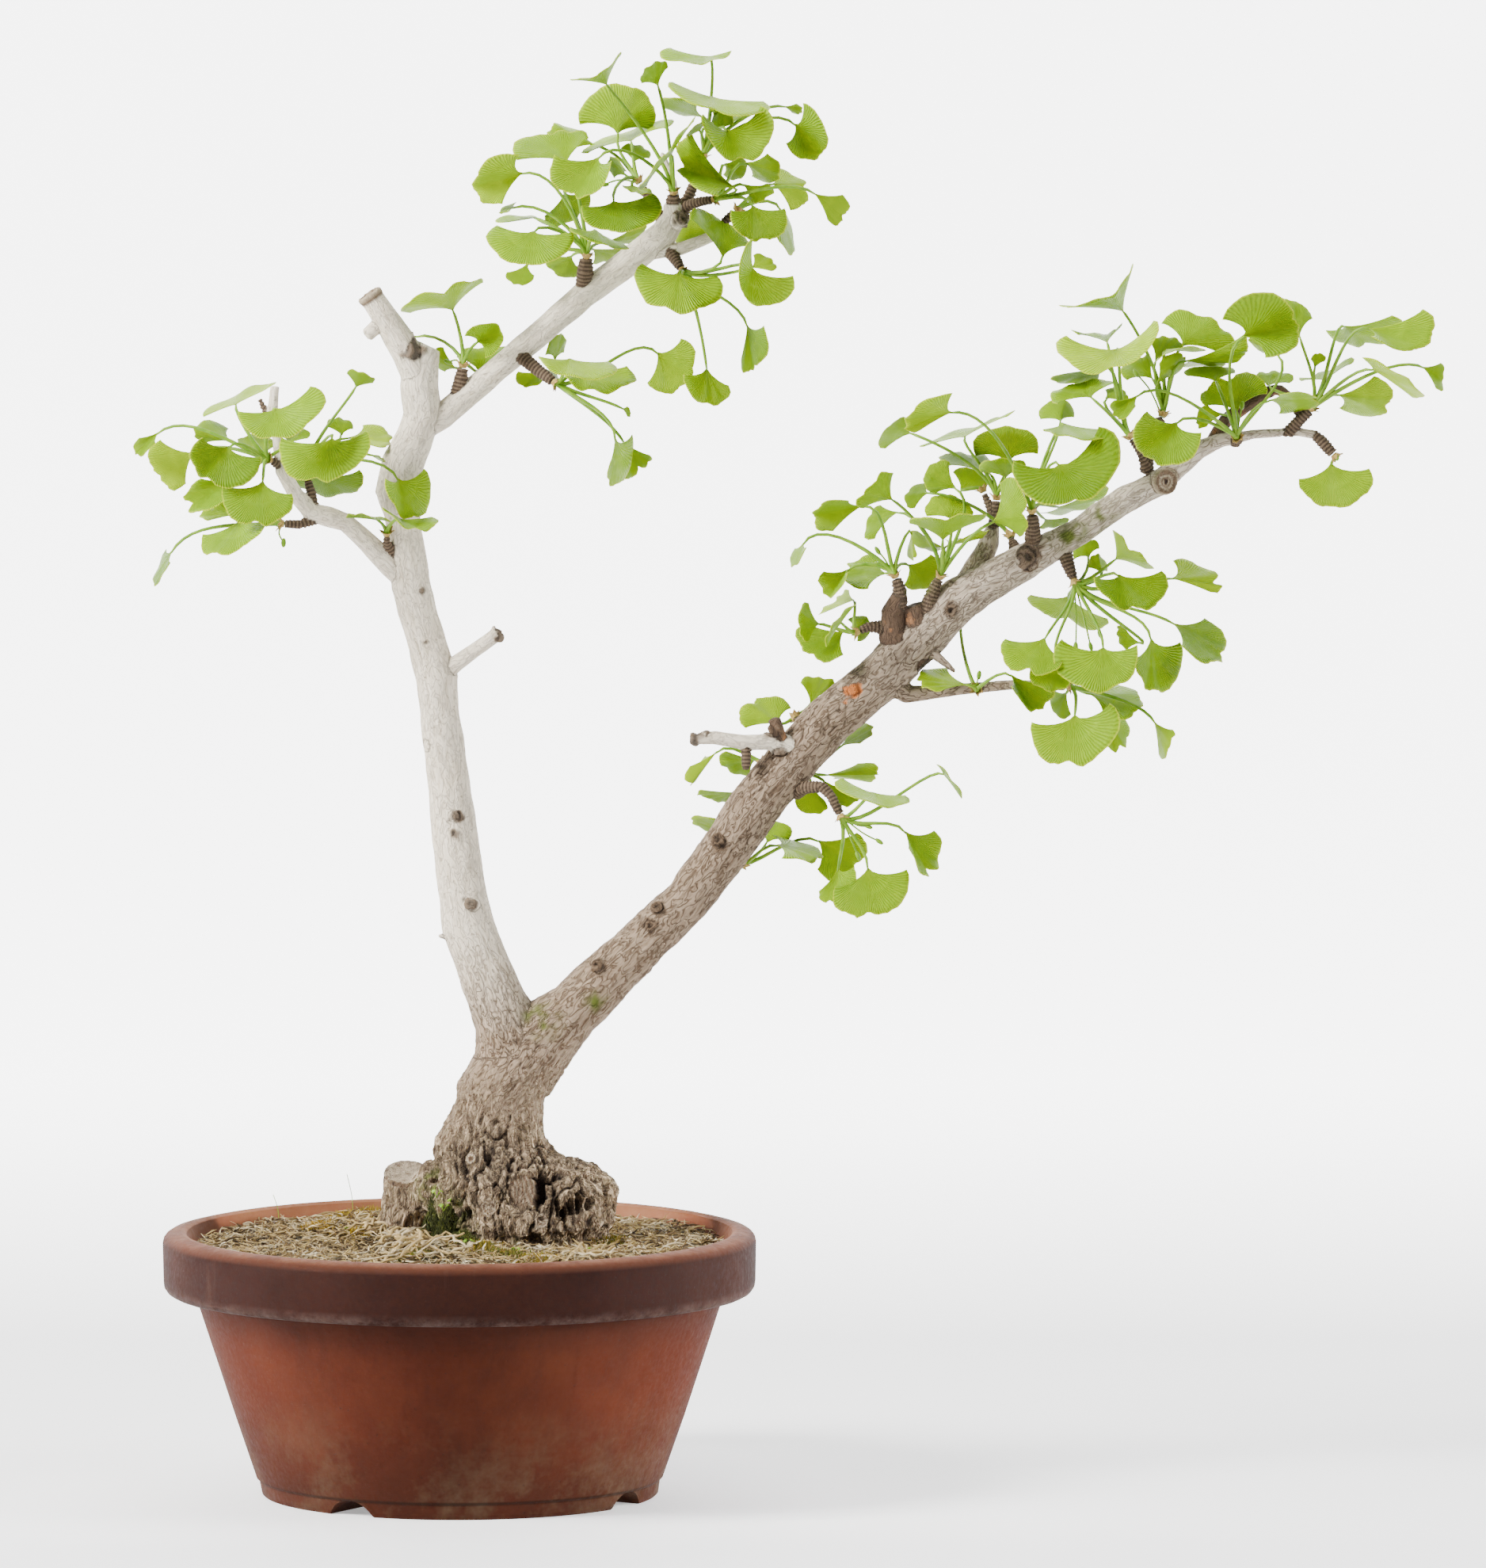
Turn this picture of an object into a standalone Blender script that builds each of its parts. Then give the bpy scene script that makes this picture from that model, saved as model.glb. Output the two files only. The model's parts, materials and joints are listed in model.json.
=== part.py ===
"""A ginkgo bonsai in its round terracotta pot, at its real size.

Metres, +Z up. The origin is the centre of the pot's underside, on the surface that it stands on.
+X runs to the right of the viewer and +Y away from the viewer.
"""
import math
from collections import namedtuple

import bmesh
import bpy
from mathutils import Matrix, Vector, noise
from mathutils.bvhtree import BVHTree

MM = 0.001

# Pot
POT_SIDES = 32
RIM_RADIUS = 0.175
RIM_INNER_RADIUS = 0.1605
POT_HEIGHT = 0.156
BAND_BOTTOM = 0.120
BODY_TOP_RADIUS = 0.1565
BODY_BOTTOM_RADIUS = 0.1202
FOOT_RADIUS = 0.117
FOOT_HEIGHT = 0.009
FLOOR_THICKNESS = 0.018
INNER_TOP_RADIUS = 0.158
INNER_TOP_HEIGHT = 0.146
INNER_BOTTOM_RADIUS = 0.110
INNER_BOTTOM_HEIGHT = 0.021
DRAIN_COUNT = 4
DRAIN_FIRST_ANGLE = math.radians(-32)
DRAIN_HOLE_RADIUS = 0.010
DRAIN_HOLE_PLACE = 0.062
CHANNEL_RADIUS = 0.017
CHANNEL_CENTRE_DROP = 0.0076
CHANNEL_SIDES = 12

# Soil
SOIL_GAP = 0.0004
SOIL_EDGE_HEIGHT = 0.1455
SOIL_RINGS = ((0.138, 0.0012), (0.105, 0.0024), (0.070, 0.0034))
SOIL_INNER_RISE = 0.0018
SOIL_MOUND = 0.0050
SOIL_MOUND_PLACE = (0.005, 0.004)
SOIL_MOUND_SPREAD = 0.075
SOIL_HOLE_GAP = 0.0008

# Wood: the burl at the foot, as rings of height, middle and half widths
BURL_SIDES = 16
BURL_FOOT_HEIGHT = 0.118
BURL_RINGS = (
    (0.118, 0.0385, 0.0500, 0.0420),
    (0.1545, 0.0385, 0.0500, 0.0420),
    (0.1600, 0.0392, 0.0545, 0.0470),
    (0.1700, 0.0396, 0.0555, 0.0480),
    (0.1810, 0.0385, 0.0540, 0.0470),
    (0.1925, 0.0330, 0.0480, 0.0420),
    (0.2000, 0.0240, 0.0390, 0.0360),
    (0.2100, 0.0195, 0.0310, 0.0320),
    (0.2210, 0.0213, 0.0285, 0.0300),
    (0.2330, 0.0240, 0.0272, 0.0285),
    (0.2440, 0.0276, 0.0280, 0.0270),
    (0.2600, 0.0370, 0.0300, 0.0240),
    (0.2760, 0.0390, 0.0280, 0.0190),
)
BURL_RELIEF = 0.0042
BURL_RELIEF_SCALE = 0.030
BURL_HOLLOWS = (
    # column, row, reach and depth in metres of each hollow on the burl's front
    (672, 1497, 0.011, 0.012),
    (705, 1530, 0.007, 0.007),
    (730, 1515, 0.008, 0.008),
    (640, 1545, 0.008, 0.005),
    (756, 1488, 0.007, 0.006),
)
STUMP_FOOT = (-0.0330, 0.0160)
STUMP_RADIUS = 0.0125
STUMP_TOP_RADIUS = 0.0147
STUMP_TOP_HEIGHT = 0.1886

# Leaves
BLADE_THICKNESS = 0.0007
STALK_RADIUS = 0.0007
LONG_STALK = 0.030
HEART_RADIUS = 0.0022
HEART_LENGTH = 0.0042
HEART_GAP = 0.0003
TIP_TO_MIDDLE = 0.93
OPEN_ENOUGH = 0.6
WAVE_DEPTH = 0.04
WAVES = 3.3
CLEFT_DEPTH = 0.16
LARGE_LEAF = 22
CLEAR_GAP = 0.0005
SHIFT_STEP = 0.0025
SHIFT_STEPS = 14

# The picture that places are measured in: a distant eye, looking a little down
EYE = Vector((0.167, -8.0, 1.124))
LOOK_DOWN = math.radians(5.03)
MIDDLE_COLUMN = 938.0
MIDDLE_ROW = 989.5
FOCAL_LENGTH_IN_COLUMNS = 17246.0

COLOURS = {
    "pot": ((0.32, 0.085, 0.035), 0.75),
    "soil": ((0.22, 0.17, 0.10), 0.95),
    "wood": ((0.50, 0.43, 0.34), 0.85),
    "leaf": ((0.36, 0.62, 0.05), 0.45),
}

Leaf = namedtuple("Leaf", "base left middle right depth lean length")
Rosette = namedtuple("Rosette", "spur leaves")

# Limbs of the wood. Each point is column, row, depth in mm and radius in mm.
LIMBS = {
    "left_trunk": (
        (648, 1318, 0, 22), (636, 1284, 0, 18.5), (622, 1251, 0, 16.6), (604, 1203, 2, 15.3),
        (591, 1171, 4, 15.6), (583, 1117, 6, 13.8), (575, 1060, 8, 13.5), (565, 980, 9, 12.3),
        (555, 894, 8, 11.6), (551, 854, 7, 12.5), (540, 815, 6, 11.5), (526, 768, 4, 11.1),
        (519, 738, 2, 11.6), (512, 677, 0, 10.0), (506, 646, -1, 10.6), (503, 615, -2, 13.0),
        (508, 585, -2, 12.4), (523, 554, -1, 10.8), (533, 524, 0, 11.2), (529, 486, 0, 11.2),
        (531, 455, 1, 10.5), (540, 436, 2, 7.0)),
    "apex": (
        (529, 478, 0, 10.0), (514, 446, -3, 9.2), (492, 409, -5, 8.0), (466, 371, -6, 6.8)),
    "apex_knob": ((478, 410, -5, 4.5), (462, 424, -8, 4.2)),
    "side_stub": (
        (556, 852, 6, 6.5), (575, 838, 2, 5.0), (600, 820, -2, 4.3), (630, 799, -5, 4.3)),
    "trunk_knob": ((555, 940, 6, 4.5), (537, 940, 3, 4.3)),
    "trunk_spike": ((575, 1184, 2, 2.6), (552, 1181, 0, 1.4)),
    "far_left_branch": (
        (509, 726, 2, 8.0), (493, 713, 0, 7.4), (466, 686, -3, 6.1), (436, 659, -6, 5.4),
        (414, 652, -8, 6.2), (393, 646, -9, 5.3), (374, 625, -11, 4.7), (356, 594, -14, 4.1),
        (350, 554, -15, 2.9), (344, 522, -15, 3.4), (347, 487, -16, 2.7)),
    "far_left_nub": ((347, 542, -15, 2.4), (327, 503, -13, 1.7)),
    "upper_arm": (
        (536, 536, 0, 8.5), (560, 524, 2, 7.6), (600, 490, 5, 7.4), (640, 456, 8, 7.3),
        (679, 423, 10, 7.4), (738, 372, 12, 8.0), (797, 328, 14, 8.4), (837, 297, 15, 8.2),
        (851, 275, 15, 6.8), (850, 258, 14, 5.6)),
    "upper_arm_scar": ((853, 281, 12, 5.2), (862, 275, 5, 4.7)),
    "crown_limb": (
        (826, 318, 14, 4.6), (860, 314, 12, 3.9), (896, 300, 12, 3.3), (907, 290, 12, 3.0)),
    "crown_twig": ((854, 268, 18, 3.6), (849, 230, 24, 2.6), (835, 192, 28, 1.9)),
    "right_trunk": (
        (652, 1352, 0, 24), (684, 1312, -1, 22), (722, 1276, -3, 17.4), (766, 1233, -4, 15.9),
        (815, 1186, -5, 14.6), (865, 1138, -6, 13.8), (910, 1081, -5, 14.6), (952, 1019, -4, 15.3),
        (1000, 960, -2, 15.2), (1048, 908, 0, 14.9), (1120, 848, 3, 14.2), (1160, 806, 4, 14.6),
        (1209, 758, 4, 13.1), (1286, 713, 0, 10.7), (1322, 693, -3, 9.2), (1362, 671, -6, 8.3),
        (1420, 631, -8, 7.9), (1462, 610, -8, 7.4), (1490, 586, -6, 6.6), (1512, 568, -4, 5.6),
        (1540, 556, -1, 4.2), (1583, 548, 0, 2.7), (1638, 545, 2, 2.4), (1662, 549, 2, 2.8)),
    "left_stub": (
        (998, 944, -8, 8.0), (974, 937, -13, 4.8), (940, 937, -17, 4.4), (902, 931, -19, 4.0),
        (873, 933, -20, 3.2)),
    "left_stub_spur": ((942, 941, -17, 3.2), (942, 971, -18, 2.8)),
    "dark_knob": ((989, 962, -9, 5.0), (984, 932, -12, 4.6), (977, 906, -13, 3.6)),
    "chip_scar": ((1082, 873, 2, 7.0), (1076, 870, -14, 3.4)),
    "burnt_shard": (
        (1152, 826, 3, 12), (1128, 800, 0, 8.5), (1127, 772, -4, 6.6), (1137, 750, -7, 4.6)),
    "burnt_wall": ((1166, 812, 3, 11), (1158, 784, -1, 8.0), (1151, 764, -2, 6.4)),
    "back_branch": (
        (1204, 762, 4, 9.5), (1222, 735, 12, 8.0), (1240, 704, 18, 6.8), (1248, 686, 20, 6.0),
        (1254, 664, 23, 3.8)),
    "scar_upper": ((1297, 704, -6, 7.4), (1298, 701, -12.5, 6.9)),
    "scar_end": ((1464, 608, -10, 7.0), (1473, 608, -17, 6.9)),
    "grey_cleft": (
        (1530, 560, 2, 4.4), (1546, 532, 10, 4.4), (1572, 512, 13, 4.3), (1598, 496, 12, 3.9),
        (1614, 491, 10, 3.5), (1631, 504, 6, 3.0), (1639, 522, 2, 2.6)),
    "lower_branch": (
        (1118, 856, 2, 9.5), (1146, 876, 2, 5.2), (1175, 874, 2, 4.0), (1210, 870, 0, 3.5),
        (1278, 864, -2, 2.9), (1346, 866, -5, 2.8)),
    "dry_twig": ((1160, 812, 2, 5.5), (1181, 827, -4, 3.0), (1206, 848, -10, 1.5)),
    "knot_low": ((912, 1066, -8, 6.5), (905, 1061, -20, 3.0)),
    "knot_middle": ((836, 1152, -8, 5.5), (828, 1144, -19, 2.8)),
    "knot_base": ((760, 1226, -8, 5.5), (752, 1217, -20, 2.8)),
    "knot_left": ((574, 1032, 2, 5.0), (572, 1029, -6.5, 2.6)),
    "knot_left_low": ((597, 1142, 0, 6.0), (596, 1141, -12.5, 3.0)),
}

# Each head of leaves: the short spur that carries it, as the limbs are given, and its leaves.
# A leaf's base, the ends of its two sides and the middle of its outer edge are columns and rows,
# its depth is in mm from its spur's tip, it leans away from the viewer (1) or towards (-1),
# and its blade's length is in mm.
ROSETTES = {
    "left_tip": Rosette(
        ((354, 588, -15, 3.2), (346, 583, -18, 2.4), (342, 581, -20, 2.2)), (
            Leaf((297, 511), (256, 525), (303, 500), (346, 487), 6, 1, 25),
            Leaf((292, 557), (252, 556), (250, 541), (280, 538), 10, 1, 20),
            Leaf((201, 545), (170, 557), (174, 571), (192, 562), 4, -1, 15),
            Leaf((246, 570), (194, 560), (202, 600), (228, 616), 12, 1, 24),
            Leaf((290, 562), (246, 560), (262, 603), (330, 587), -14, -1, 25),
            Leaf((302, 604), (246, 610), (240, 636), (278, 634), 3, -1, 27),
            Leaf((335, 575), (300, 562), (318, 555), (345, 562), 16, 1, 19),
            Leaf((332, 606), (279, 624), (325, 658), (370, 633), -20, -1, 26),
            Leaf((348, 515), (303, 527), (355, 546), (404, 493), -24, -1, 28),
            Leaf((365, 560), (357, 552), (372, 545), (391, 551), 18, 1, 15))),
    "left_low": Rosette(
        ((396, 656, -9, 3.2), (378, 662, -11, 2.7), (359, 661, -13, 2.5)), (
            Leaf((304, 655), (254, 685), (285, 695), (337, 661), -10, -1, 27),
            Leaf((300, 650), (256, 658), (268, 643), (282, 634), 10, 1, 22),
            Leaf((218, 694), (203, 703), (196, 735), (210, 715), 0, 1, 20))),
    "left_middle": Rosette(
        ((396, 646, -9, 3.6), (393, 622, -7, 3.1), (388, 604, -5, 2.4)), (
            Leaf((420, 552), (351, 567), (400, 601), (468, 553), -26, -1, 29),
            Leaf((405, 598), (372, 612), (420, 628), (458, 603), 8, 1, 23),
            Leaf((440, 552), (468, 540), (492, 556), (470, 562), 8, 1, 24),
            Leaf((432, 550), (412, 536), (425, 530), (445, 537), 14, 1, 14),
            Leaf((449, 489), (439, 468), (458, 471), (473, 481), -2, -1, 14),
            Leaf((502, 603), (490, 612), (517, 648), (541, 604), -24, -1, 24),
            Leaf((470, 574), (478, 574), (484, 579), (474, 579), -6, -1, 8))),
    "left_inner": Rosette(
        ((497, 698, -4, 3.2), (488, 686, -9, 2.4), (488, 676, -12, 2.0)), (
            Leaf((478, 657), (439, 651), (455, 645), (493, 653), -4, -1, 20),
            Leaf((505, 655), (486, 641), (525, 665), (551, 655), -16, -1, 24))),
    "fork_stub": Rosette(
        ((578, 496, 3, 4.6), (582, 477, 2, 4.0), (584, 465, 2, 3.2)), (
            Leaf((572, 392), (509, 391), (560, 362), (608, 351), 0, -1, 29),
            Leaf((602, 432), (591, 416), (630, 414), (622, 446), -6, -1, 17),
            Leaf((605, 470), (578, 447), (612, 441), (640, 444), 14, 1, 20),
            Leaf((577, 466), (556, 468), (550, 450), (556, 438), 12, 1, 14),
            Leaf((528, 424), (513, 422), (513, 430), (521, 431), 20, 1, 9))),
    "arm_under": Rosette(
        ((660, 452, 4, 4.2), (680, 468, -2, 3.5), (698, 481, -7, 3.2)), (
            Leaf((719, 452), (681, 452), (728, 473), (776, 461), -14, -1, 28),
            Leaf((735, 460), (716, 478), (757, 489), (800, 471), 8, -1, 29),
            Leaf((700, 455), (690, 440), (708, 424), (714, 440), 32, 1, 15),
            Leaf((684, 468), (652, 472), (662, 485), (682, 482), 26, -1, 17),
            Leaf((829, 444), (824, 489), (862, 482), (870, 432), -4, -1, 24),
            Leaf((777, 552), (770, 590), (775, 607), (800, 562), -8, -1, 26),
            Leaf((787, 557), (787, 602), (805, 592), (821, 579), 2, 1, 22),
            Leaf((785, 515), (793, 513), (795, 520), (794, 526), 0, -1, 6))),
    "arm_upper": Rosette(
        ((738, 358, 10, 5.2), (739, 338, 6, 4.7), (740, 327, 5, 3.6)), (
            Leaf((674, 291), (618, 290), (662, 327), (724, 300), -22, -1, 27),
            Leaf((752, 290), (719, 290), (760, 306), (791, 313), -12, -1, 20),
            Leaf((722, 322), (690, 326), (706, 347), (732, 347), 10, 1, 17),
            Leaf((747, 314), (752, 335), (775, 325), (789, 315), 12, 1, 22),
            Leaf((765, 305), (812, 284), (806, 303), (785, 312), 18, 1, 22),
            Leaf((712, 243), (745, 248), (722, 275), (687, 279), 14, 1, 20),
            Leaf((675, 275), (628, 282), (660, 276), (690, 287), 4, 1, 24),
            Leaf((650, 261), (648, 257), (632, 268), (640, 267), 0, -1, 9),
            Leaf((666, 332), (639, 348), (655, 357), (673, 351), -4, -1, 13),
            Leaf((716, 206), (647, 196), (697, 172), (740, 172), 8, 1, 30),
            Leaf((661, 218), (643, 193), (604, 236), (624, 259), 0, -1, 28))),
    "crown_end": Rosette(
        ((850, 262, 14, 5.0), (850, 252, 13, 4.4), (850, 246, 12, 3.6)), (
            Leaf((766, 107), (720, 98), (757, 92), (783, 64), -6, -1, 25),
            Leaf((848, 195), (808, 237), (839, 188), (877, 147), -20, -1, 29),
            Leaf((831, 109), (808, 101), (822, 84), (841, 80), 0, 1, 17),
            Leaf((757, 197), (695, 208), (725, 245), (771, 214), -26, -1, 27))),
    "crown_left": Rosette(
        ((843, 287, 20, 4.5), (822, 256, 25, 3.0), (808, 232, 27, 2.3)), (
            Leaf((779, 170), (731, 145), (797, 115), (825, 154), 10, 1, 28),
            Leaf((797, 178), (734, 190), (789, 167), (847, 153), -12, 1, 28),
            Leaf((752, 183), (700, 190), (698, 165), (728, 163), 14, 1, 26),
            Leaf((774, 253), (734, 267), (785, 288), (833, 250), -38, -1, 27),
            Leaf((800, 205), (785, 186), (805, 185), (821, 196), 8, 1, 18),
            Leaf((790, 222), (771, 221), (772, 200), (788, 210), 12, 1, 13),
            Leaf((797, 233), (787, 236), (805, 243), (822, 242), -8, -1, 14))),
    "crown_top": Rosette(
        ((860, 272, 18, 4.2), (876, 232, 23, 3.0), (886, 201, 25, 2.4)), (
            Leaf((895, 71), (837, 64), (880, 79), (921, 66), 0, -1, 26),
            Leaf((900, 122), (845, 106), (902, 136), (971, 133), -12, -1, 31),
            Leaf((889, 148), (858, 147), (839, 135), (872, 126), 8, 1, 25),
            Leaf((890, 160), (910, 134), (942, 148), (910, 160), 12, 1, 26),
            Leaf((902, 168), (900, 148), (915, 141), (926, 153), 6, 1, 14),
            Leaf((917, 163), (886, 154), (935, 200), (971, 146), -26, -1, 25),
            Leaf((884, 165), (866, 172), (878, 158), (893, 150), -8, -1, 14),
            Leaf((1003, 156), (1023, 133), (1035, 192), (1000, 190), -4, -1, 24),
            Leaf((989, 134), (1008, 133), (1010, 141), (1003, 144), 6, 1, 14))),
    "crown_right": Rosette(
        ((862, 262, 14, 3.6), (882, 255, 6, 2.8), (899, 252, 0, 2.5)), (
            Leaf((914, 206), (918, 226), (938, 222), (938, 200), 8, 1, 17),
            Leaf((940, 205), (957, 228), (980, 222), (975, 196), 14, 1, 20),
            Leaf((938, 232), (950, 255), (962, 250), (975, 236), 4, -1, 17),
            Leaf((1027, 243), (1069, 251), (1063, 273), (1050, 283), -6, 1, 24),
            Leaf((950, 258), (923, 273), (962, 300), (995, 272), -16, -1, 22),
            Leaf((930, 238), (893, 241), (862, 208), (864, 173), -14, -1, 33))),
    "crown_back": Rosette(
        ((904, 294, 12, 3.0), (917, 278, 13, 2.8), (928, 267, 13, 2.3)), (
            Leaf((985, 262), (980, 290), (1001, 315), (996, 276), 6, 1, 26),
            Leaf((974, 232), (981, 217), (1016, 238), (1005, 265), 6, 1, 23),
            Leaf((900, 290), (870, 272), (855, 300), (880, 305), 14, 1, 21))),
    "crown_under": Rosette(
        ((846, 318, 12, 4.0), (855, 331, 6, 3.2), (860, 339, 2, 2.4)), (
            Leaf((858, 343), (803, 340), (850, 386), (911, 359), -14, -1, 27),
            Leaf((913, 326), (872, 268), (905, 280), (943, 306), -16, 1, 30),
            Leaf((951, 338), (943, 306), (942, 372), (1000, 363), -20, -1, 23),
            Leaf((948, 338), (955, 323), (973, 331), (977, 342), -10, 1, 14),
            Leaf((943, 409), (967, 418), (953, 460), (934, 462), -6, -1, 26),
            Leaf((892, 464), (864, 479), (897, 506), (921, 495), -4, -1, 21))),
    "front_low": Rosette(
        ((1004, 1000, -6, 4.6), (1016, 994, -14, 3.7), (1038, 993, -19, 3.4),
         (1050, 1006, -22, 3.0), (1060, 1027, -24, 2.6)), (
            Leaf((1142, 1048), (1149, 1078), (1172, 1100), (1183, 1062), 0, -1, 27),
            Leaf((1096, 1094), (1052, 1132), (1095, 1152), (1148, 1108), -4, -1, 28),
            Leaf((1058, 1096), (1033, 1130), (1052, 1133), (1080, 1099), 6, -1, 19),
            Leaf((1103, 1000), (1056, 984), (1112, 1013), (1148, 1007), -6, -1, 24),
            Leaf((1190, 976), (1186, 963), (1205, 985), (1214, 1007), -2, -1, 17))),
    "trunk_low": Rosette(
        ((920, 1082, 2, 4.0), (934, 1089, 12, 2.4)), (
            Leaf((1032, 1060), (1090, 1056), (1080, 1092), (1040, 1103), 6, -1, 26),
            Leaf((980, 1066), (985, 1058), (1033, 1079), (1000, 1078), -4, -1, 26),
            Leaf((968, 1064), (960, 1050), (978, 1042), (1000, 1054), 10, 1, 15))),
    "trunk_middle": Rosette(
        ((1000, 966, 4, 4.0), (1015, 974, 15, 2.4)), (
            Leaf((1040, 978), (1095, 966), (1104, 982), (1065, 990), 6, 1, 31),
            Leaf((1040, 985), (1083, 1003), (1066, 1014), (1052, 1010), -2, -1, 20),
            Leaf((1061, 942), (1075, 921), (1099, 921), (1092, 934), 0, 1, 19),
            Leaf((1025, 992), (1003, 1012), (1035, 1022), (1043, 1012), 4, -1, 16))),
    "trunk_back": Rosette(
        ((980, 982, 5, 4.5), (965, 966, 20, 2.6)), (
            Leaf((906, 947), (866, 974), (876, 987), (885, 965), 0, 1, 22),
            Leaf((955, 958), (912, 948), (920, 970), (943, 980), 8, 1, 21),
            Leaf((930, 1000), (884, 998), (895, 1010), (917, 1016), -2, 1, 23),
            Leaf((912, 1048), (890, 1050), (876, 1036), (903, 1031), 2, 1, 18))),
    "trunk_back_high": Rosette(
        ((1020, 925, 6, 4.5), (1006, 908, 22, 2.4)), (
            Leaf((985, 915), (936, 914), (950, 890), (993, 889), 0, 1, 24),
            Leaf((1023, 890), (1013, 857), (1035, 858), (1055, 862), 6, 1, 16))),
    "burnt_left": Rosette(
        ((1116, 792, -2, 4.4), (1097, 791, -5, 2.9), (1085, 796, -7, 2.3)), (
            Leaf((1079, 757), (1036, 777), (1055, 762), (1070, 749), 10, 1, 25),
            Leaf((1062, 786), (1079, 760), (1052, 783), (1042, 812), -12, -1, 20),
            Leaf((1034, 787), (1017, 760), (1011, 788), (1018, 808), -4, -1, 17),
            Leaf((1066, 796), (1010, 790), (1025, 822), (1058, 826), 5, -1, 26),
            Leaf((1078, 795), (1075, 781), (1097, 788), (1088, 810), 12, 1, 14))),
    "burnt_top": Rosette(
        ((1136, 762, -6, 4.8), (1136, 744, -8, 4.0), (1131, 730, -9, 3.0)), (
            Leaf((1091, 638), (1043, 673), (1033, 648), (1060, 630), -4, -1, 28),
            Leaf((1015, 684), (1001, 700), (1002, 712), (1016, 695), 0, -1, 15),
            Leaf((1071, 718), (1036, 728), (1046, 750), (1068, 728), 2, -1, 18),
            Leaf((1120, 724), (1085, 741), (1070, 720), (1100, 707), 14, 1, 25),
            Leaf((1146, 712), (1146, 743), (1175, 735), (1180, 705), 16, 1, 20),
            Leaf((1151, 670), (1146, 697), (1152, 702), (1156, 694), 2, -1, 16))),
    "burnt_right": Rosette(
        ((1168, 784, -1, 6.0), (1176, 750, -4, 4.0), (1185, 731, -5, 3.0)), (
            Leaf((1127, 631), (1083, 638), (1098, 612), (1123, 592), -10, -1, 23),
            Leaf((1190, 682), (1149, 655), (1195, 650), (1243, 653), -16, -1, 27),
            Leaf((1190, 690), (1153, 668), (1165, 692), (1185, 696), 3, 1, 18),
            Leaf((1192, 690), (1200, 684), (1230, 684), (1243, 668), 4, 1, 25),
            Leaf((1200, 655), (1168, 648), (1190, 630), (1228, 650), 8, 1, 19),
            Leaf((1253, 659), (1270, 604), (1293, 645), (1290, 673), -14, -1, 27),
            Leaf((1134, 646), (1108, 640), (1100, 655), (1096, 680), 6, 1, 20),
            Leaf((1208, 617), (1192, 582), (1171, 600), (1175, 622), -2, 1, 20))),
    "back_top": Rosette(
        ((1250, 680, 21, 4.6), (1257, 650, 24, 3.2), (1258, 632, 24, 2.5)), (
            Leaf((1252, 600), (1190, 580), (1222, 575), (1250, 580), -4, 1, 29),
            Leaf((1270, 603), (1236, 592), (1262, 580), (1294, 586), -14, -1, 17),
            Leaf((1150, 547), (1113, 566), (1126, 541), (1142, 530), 2, 1, 19),
            Leaf((1217, 552), (1162, 564), (1235, 538), (1279, 520), 8, 1, 29),
            Leaf((1272, 584), (1228, 566), (1270, 543), (1312, 563), 14, 1, 21))),
    "back_twig": Rosette(
        ((1256, 656, 24, 3.2), (1247, 634, 27, 2.4), (1242, 622, 28, 2.0)), (
            Leaf((1212, 619), (1207, 595), (1235, 600), (1247, 613), 0, 1, 18),)),
    "back_low": Rosette(
        ((1284, 700, 4, 4.6), (1279, 686, 10, 3.0), (1277, 680, 12, 2.4)), (
            Leaf((1172, 622), (1150, 642), (1147, 625), (1168, 612), -2, 1, 15),)),
    "arm_front": Rosette(
        ((1308, 698, -3, 6.5), (1304, 677, -7, 4.8), (1304, 662, -10, 4.2), (1303, 649, -11, 3.4)), (
            Leaf((1203, 520), (1193, 496), (1148, 530), (1155, 546), -6, -1, 28),
            Leaf((1339, 532), (1312, 526), (1338, 509), (1357, 524), 2, 1, 20),
            Leaf((1343, 534), (1318, 540), (1350, 548), (1406, 546), -4, -1, 29),
            Leaf((1337, 585), (1278, 596), (1357, 629), (1404, 548), -16, -1, 31),
            Leaf((1335, 640), (1322, 655), (1370, 645), (1395, 617), 26, 1, 27),
            Leaf((1318, 655), (1315, 668), (1335, 665), (1348, 655), 20, 1, 14))),
    "upper_back": Rosette(
        ((1447, 597, -6, 4.4), (1452, 565, -3, 2.6), (1460, 542, 0, 2.6), (1466, 527, 2, 3.2)), (
            Leaf((1418, 393), (1339, 388), (1400, 372), (1430, 332), 2, -1, 34),
            Leaf((1455, 478), (1417, 474), (1438, 455), (1453, 450), 6, 1, 19),
            Leaf((1458, 455), (1455, 430), (1475, 428), (1492, 437), 10, 1, 17),
            Leaf((1460, 485), (1467, 452), (1490, 450), (1488, 470), -2, -1, 19),
            Leaf((1472, 441), (1458, 455), (1490, 438), (1519, 445), -8, -1, 22),
            Leaf((1492, 437), (1473, 399), (1530, 408), (1556, 443), 8, 1, 26),
            Leaf((1495, 455), (1500, 464), (1550, 461), (1575, 430), 2, 1, 29))),
    "upper_twig": Rosette(
        ((1448, 592, -8, 3.4), (1440, 574, -11, 2.0), (1433, 562, -13, 1.8), (1428, 554, -14, 2.2)), (
            Leaf((1410, 440), (1337, 436), (1400, 465), (1462, 415), -8, -1, 32),
            Leaf((1395, 463), (1331, 473), (1355, 484), (1384, 487), 6, 1, 28),
            Leaf((1398, 432), (1354, 418), (1395, 425), (1418, 409), 4, 1, 20),
            Leaf((1378, 502), (1328, 505), (1358, 487), (1404, 483), -4, 1, 24),
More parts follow.
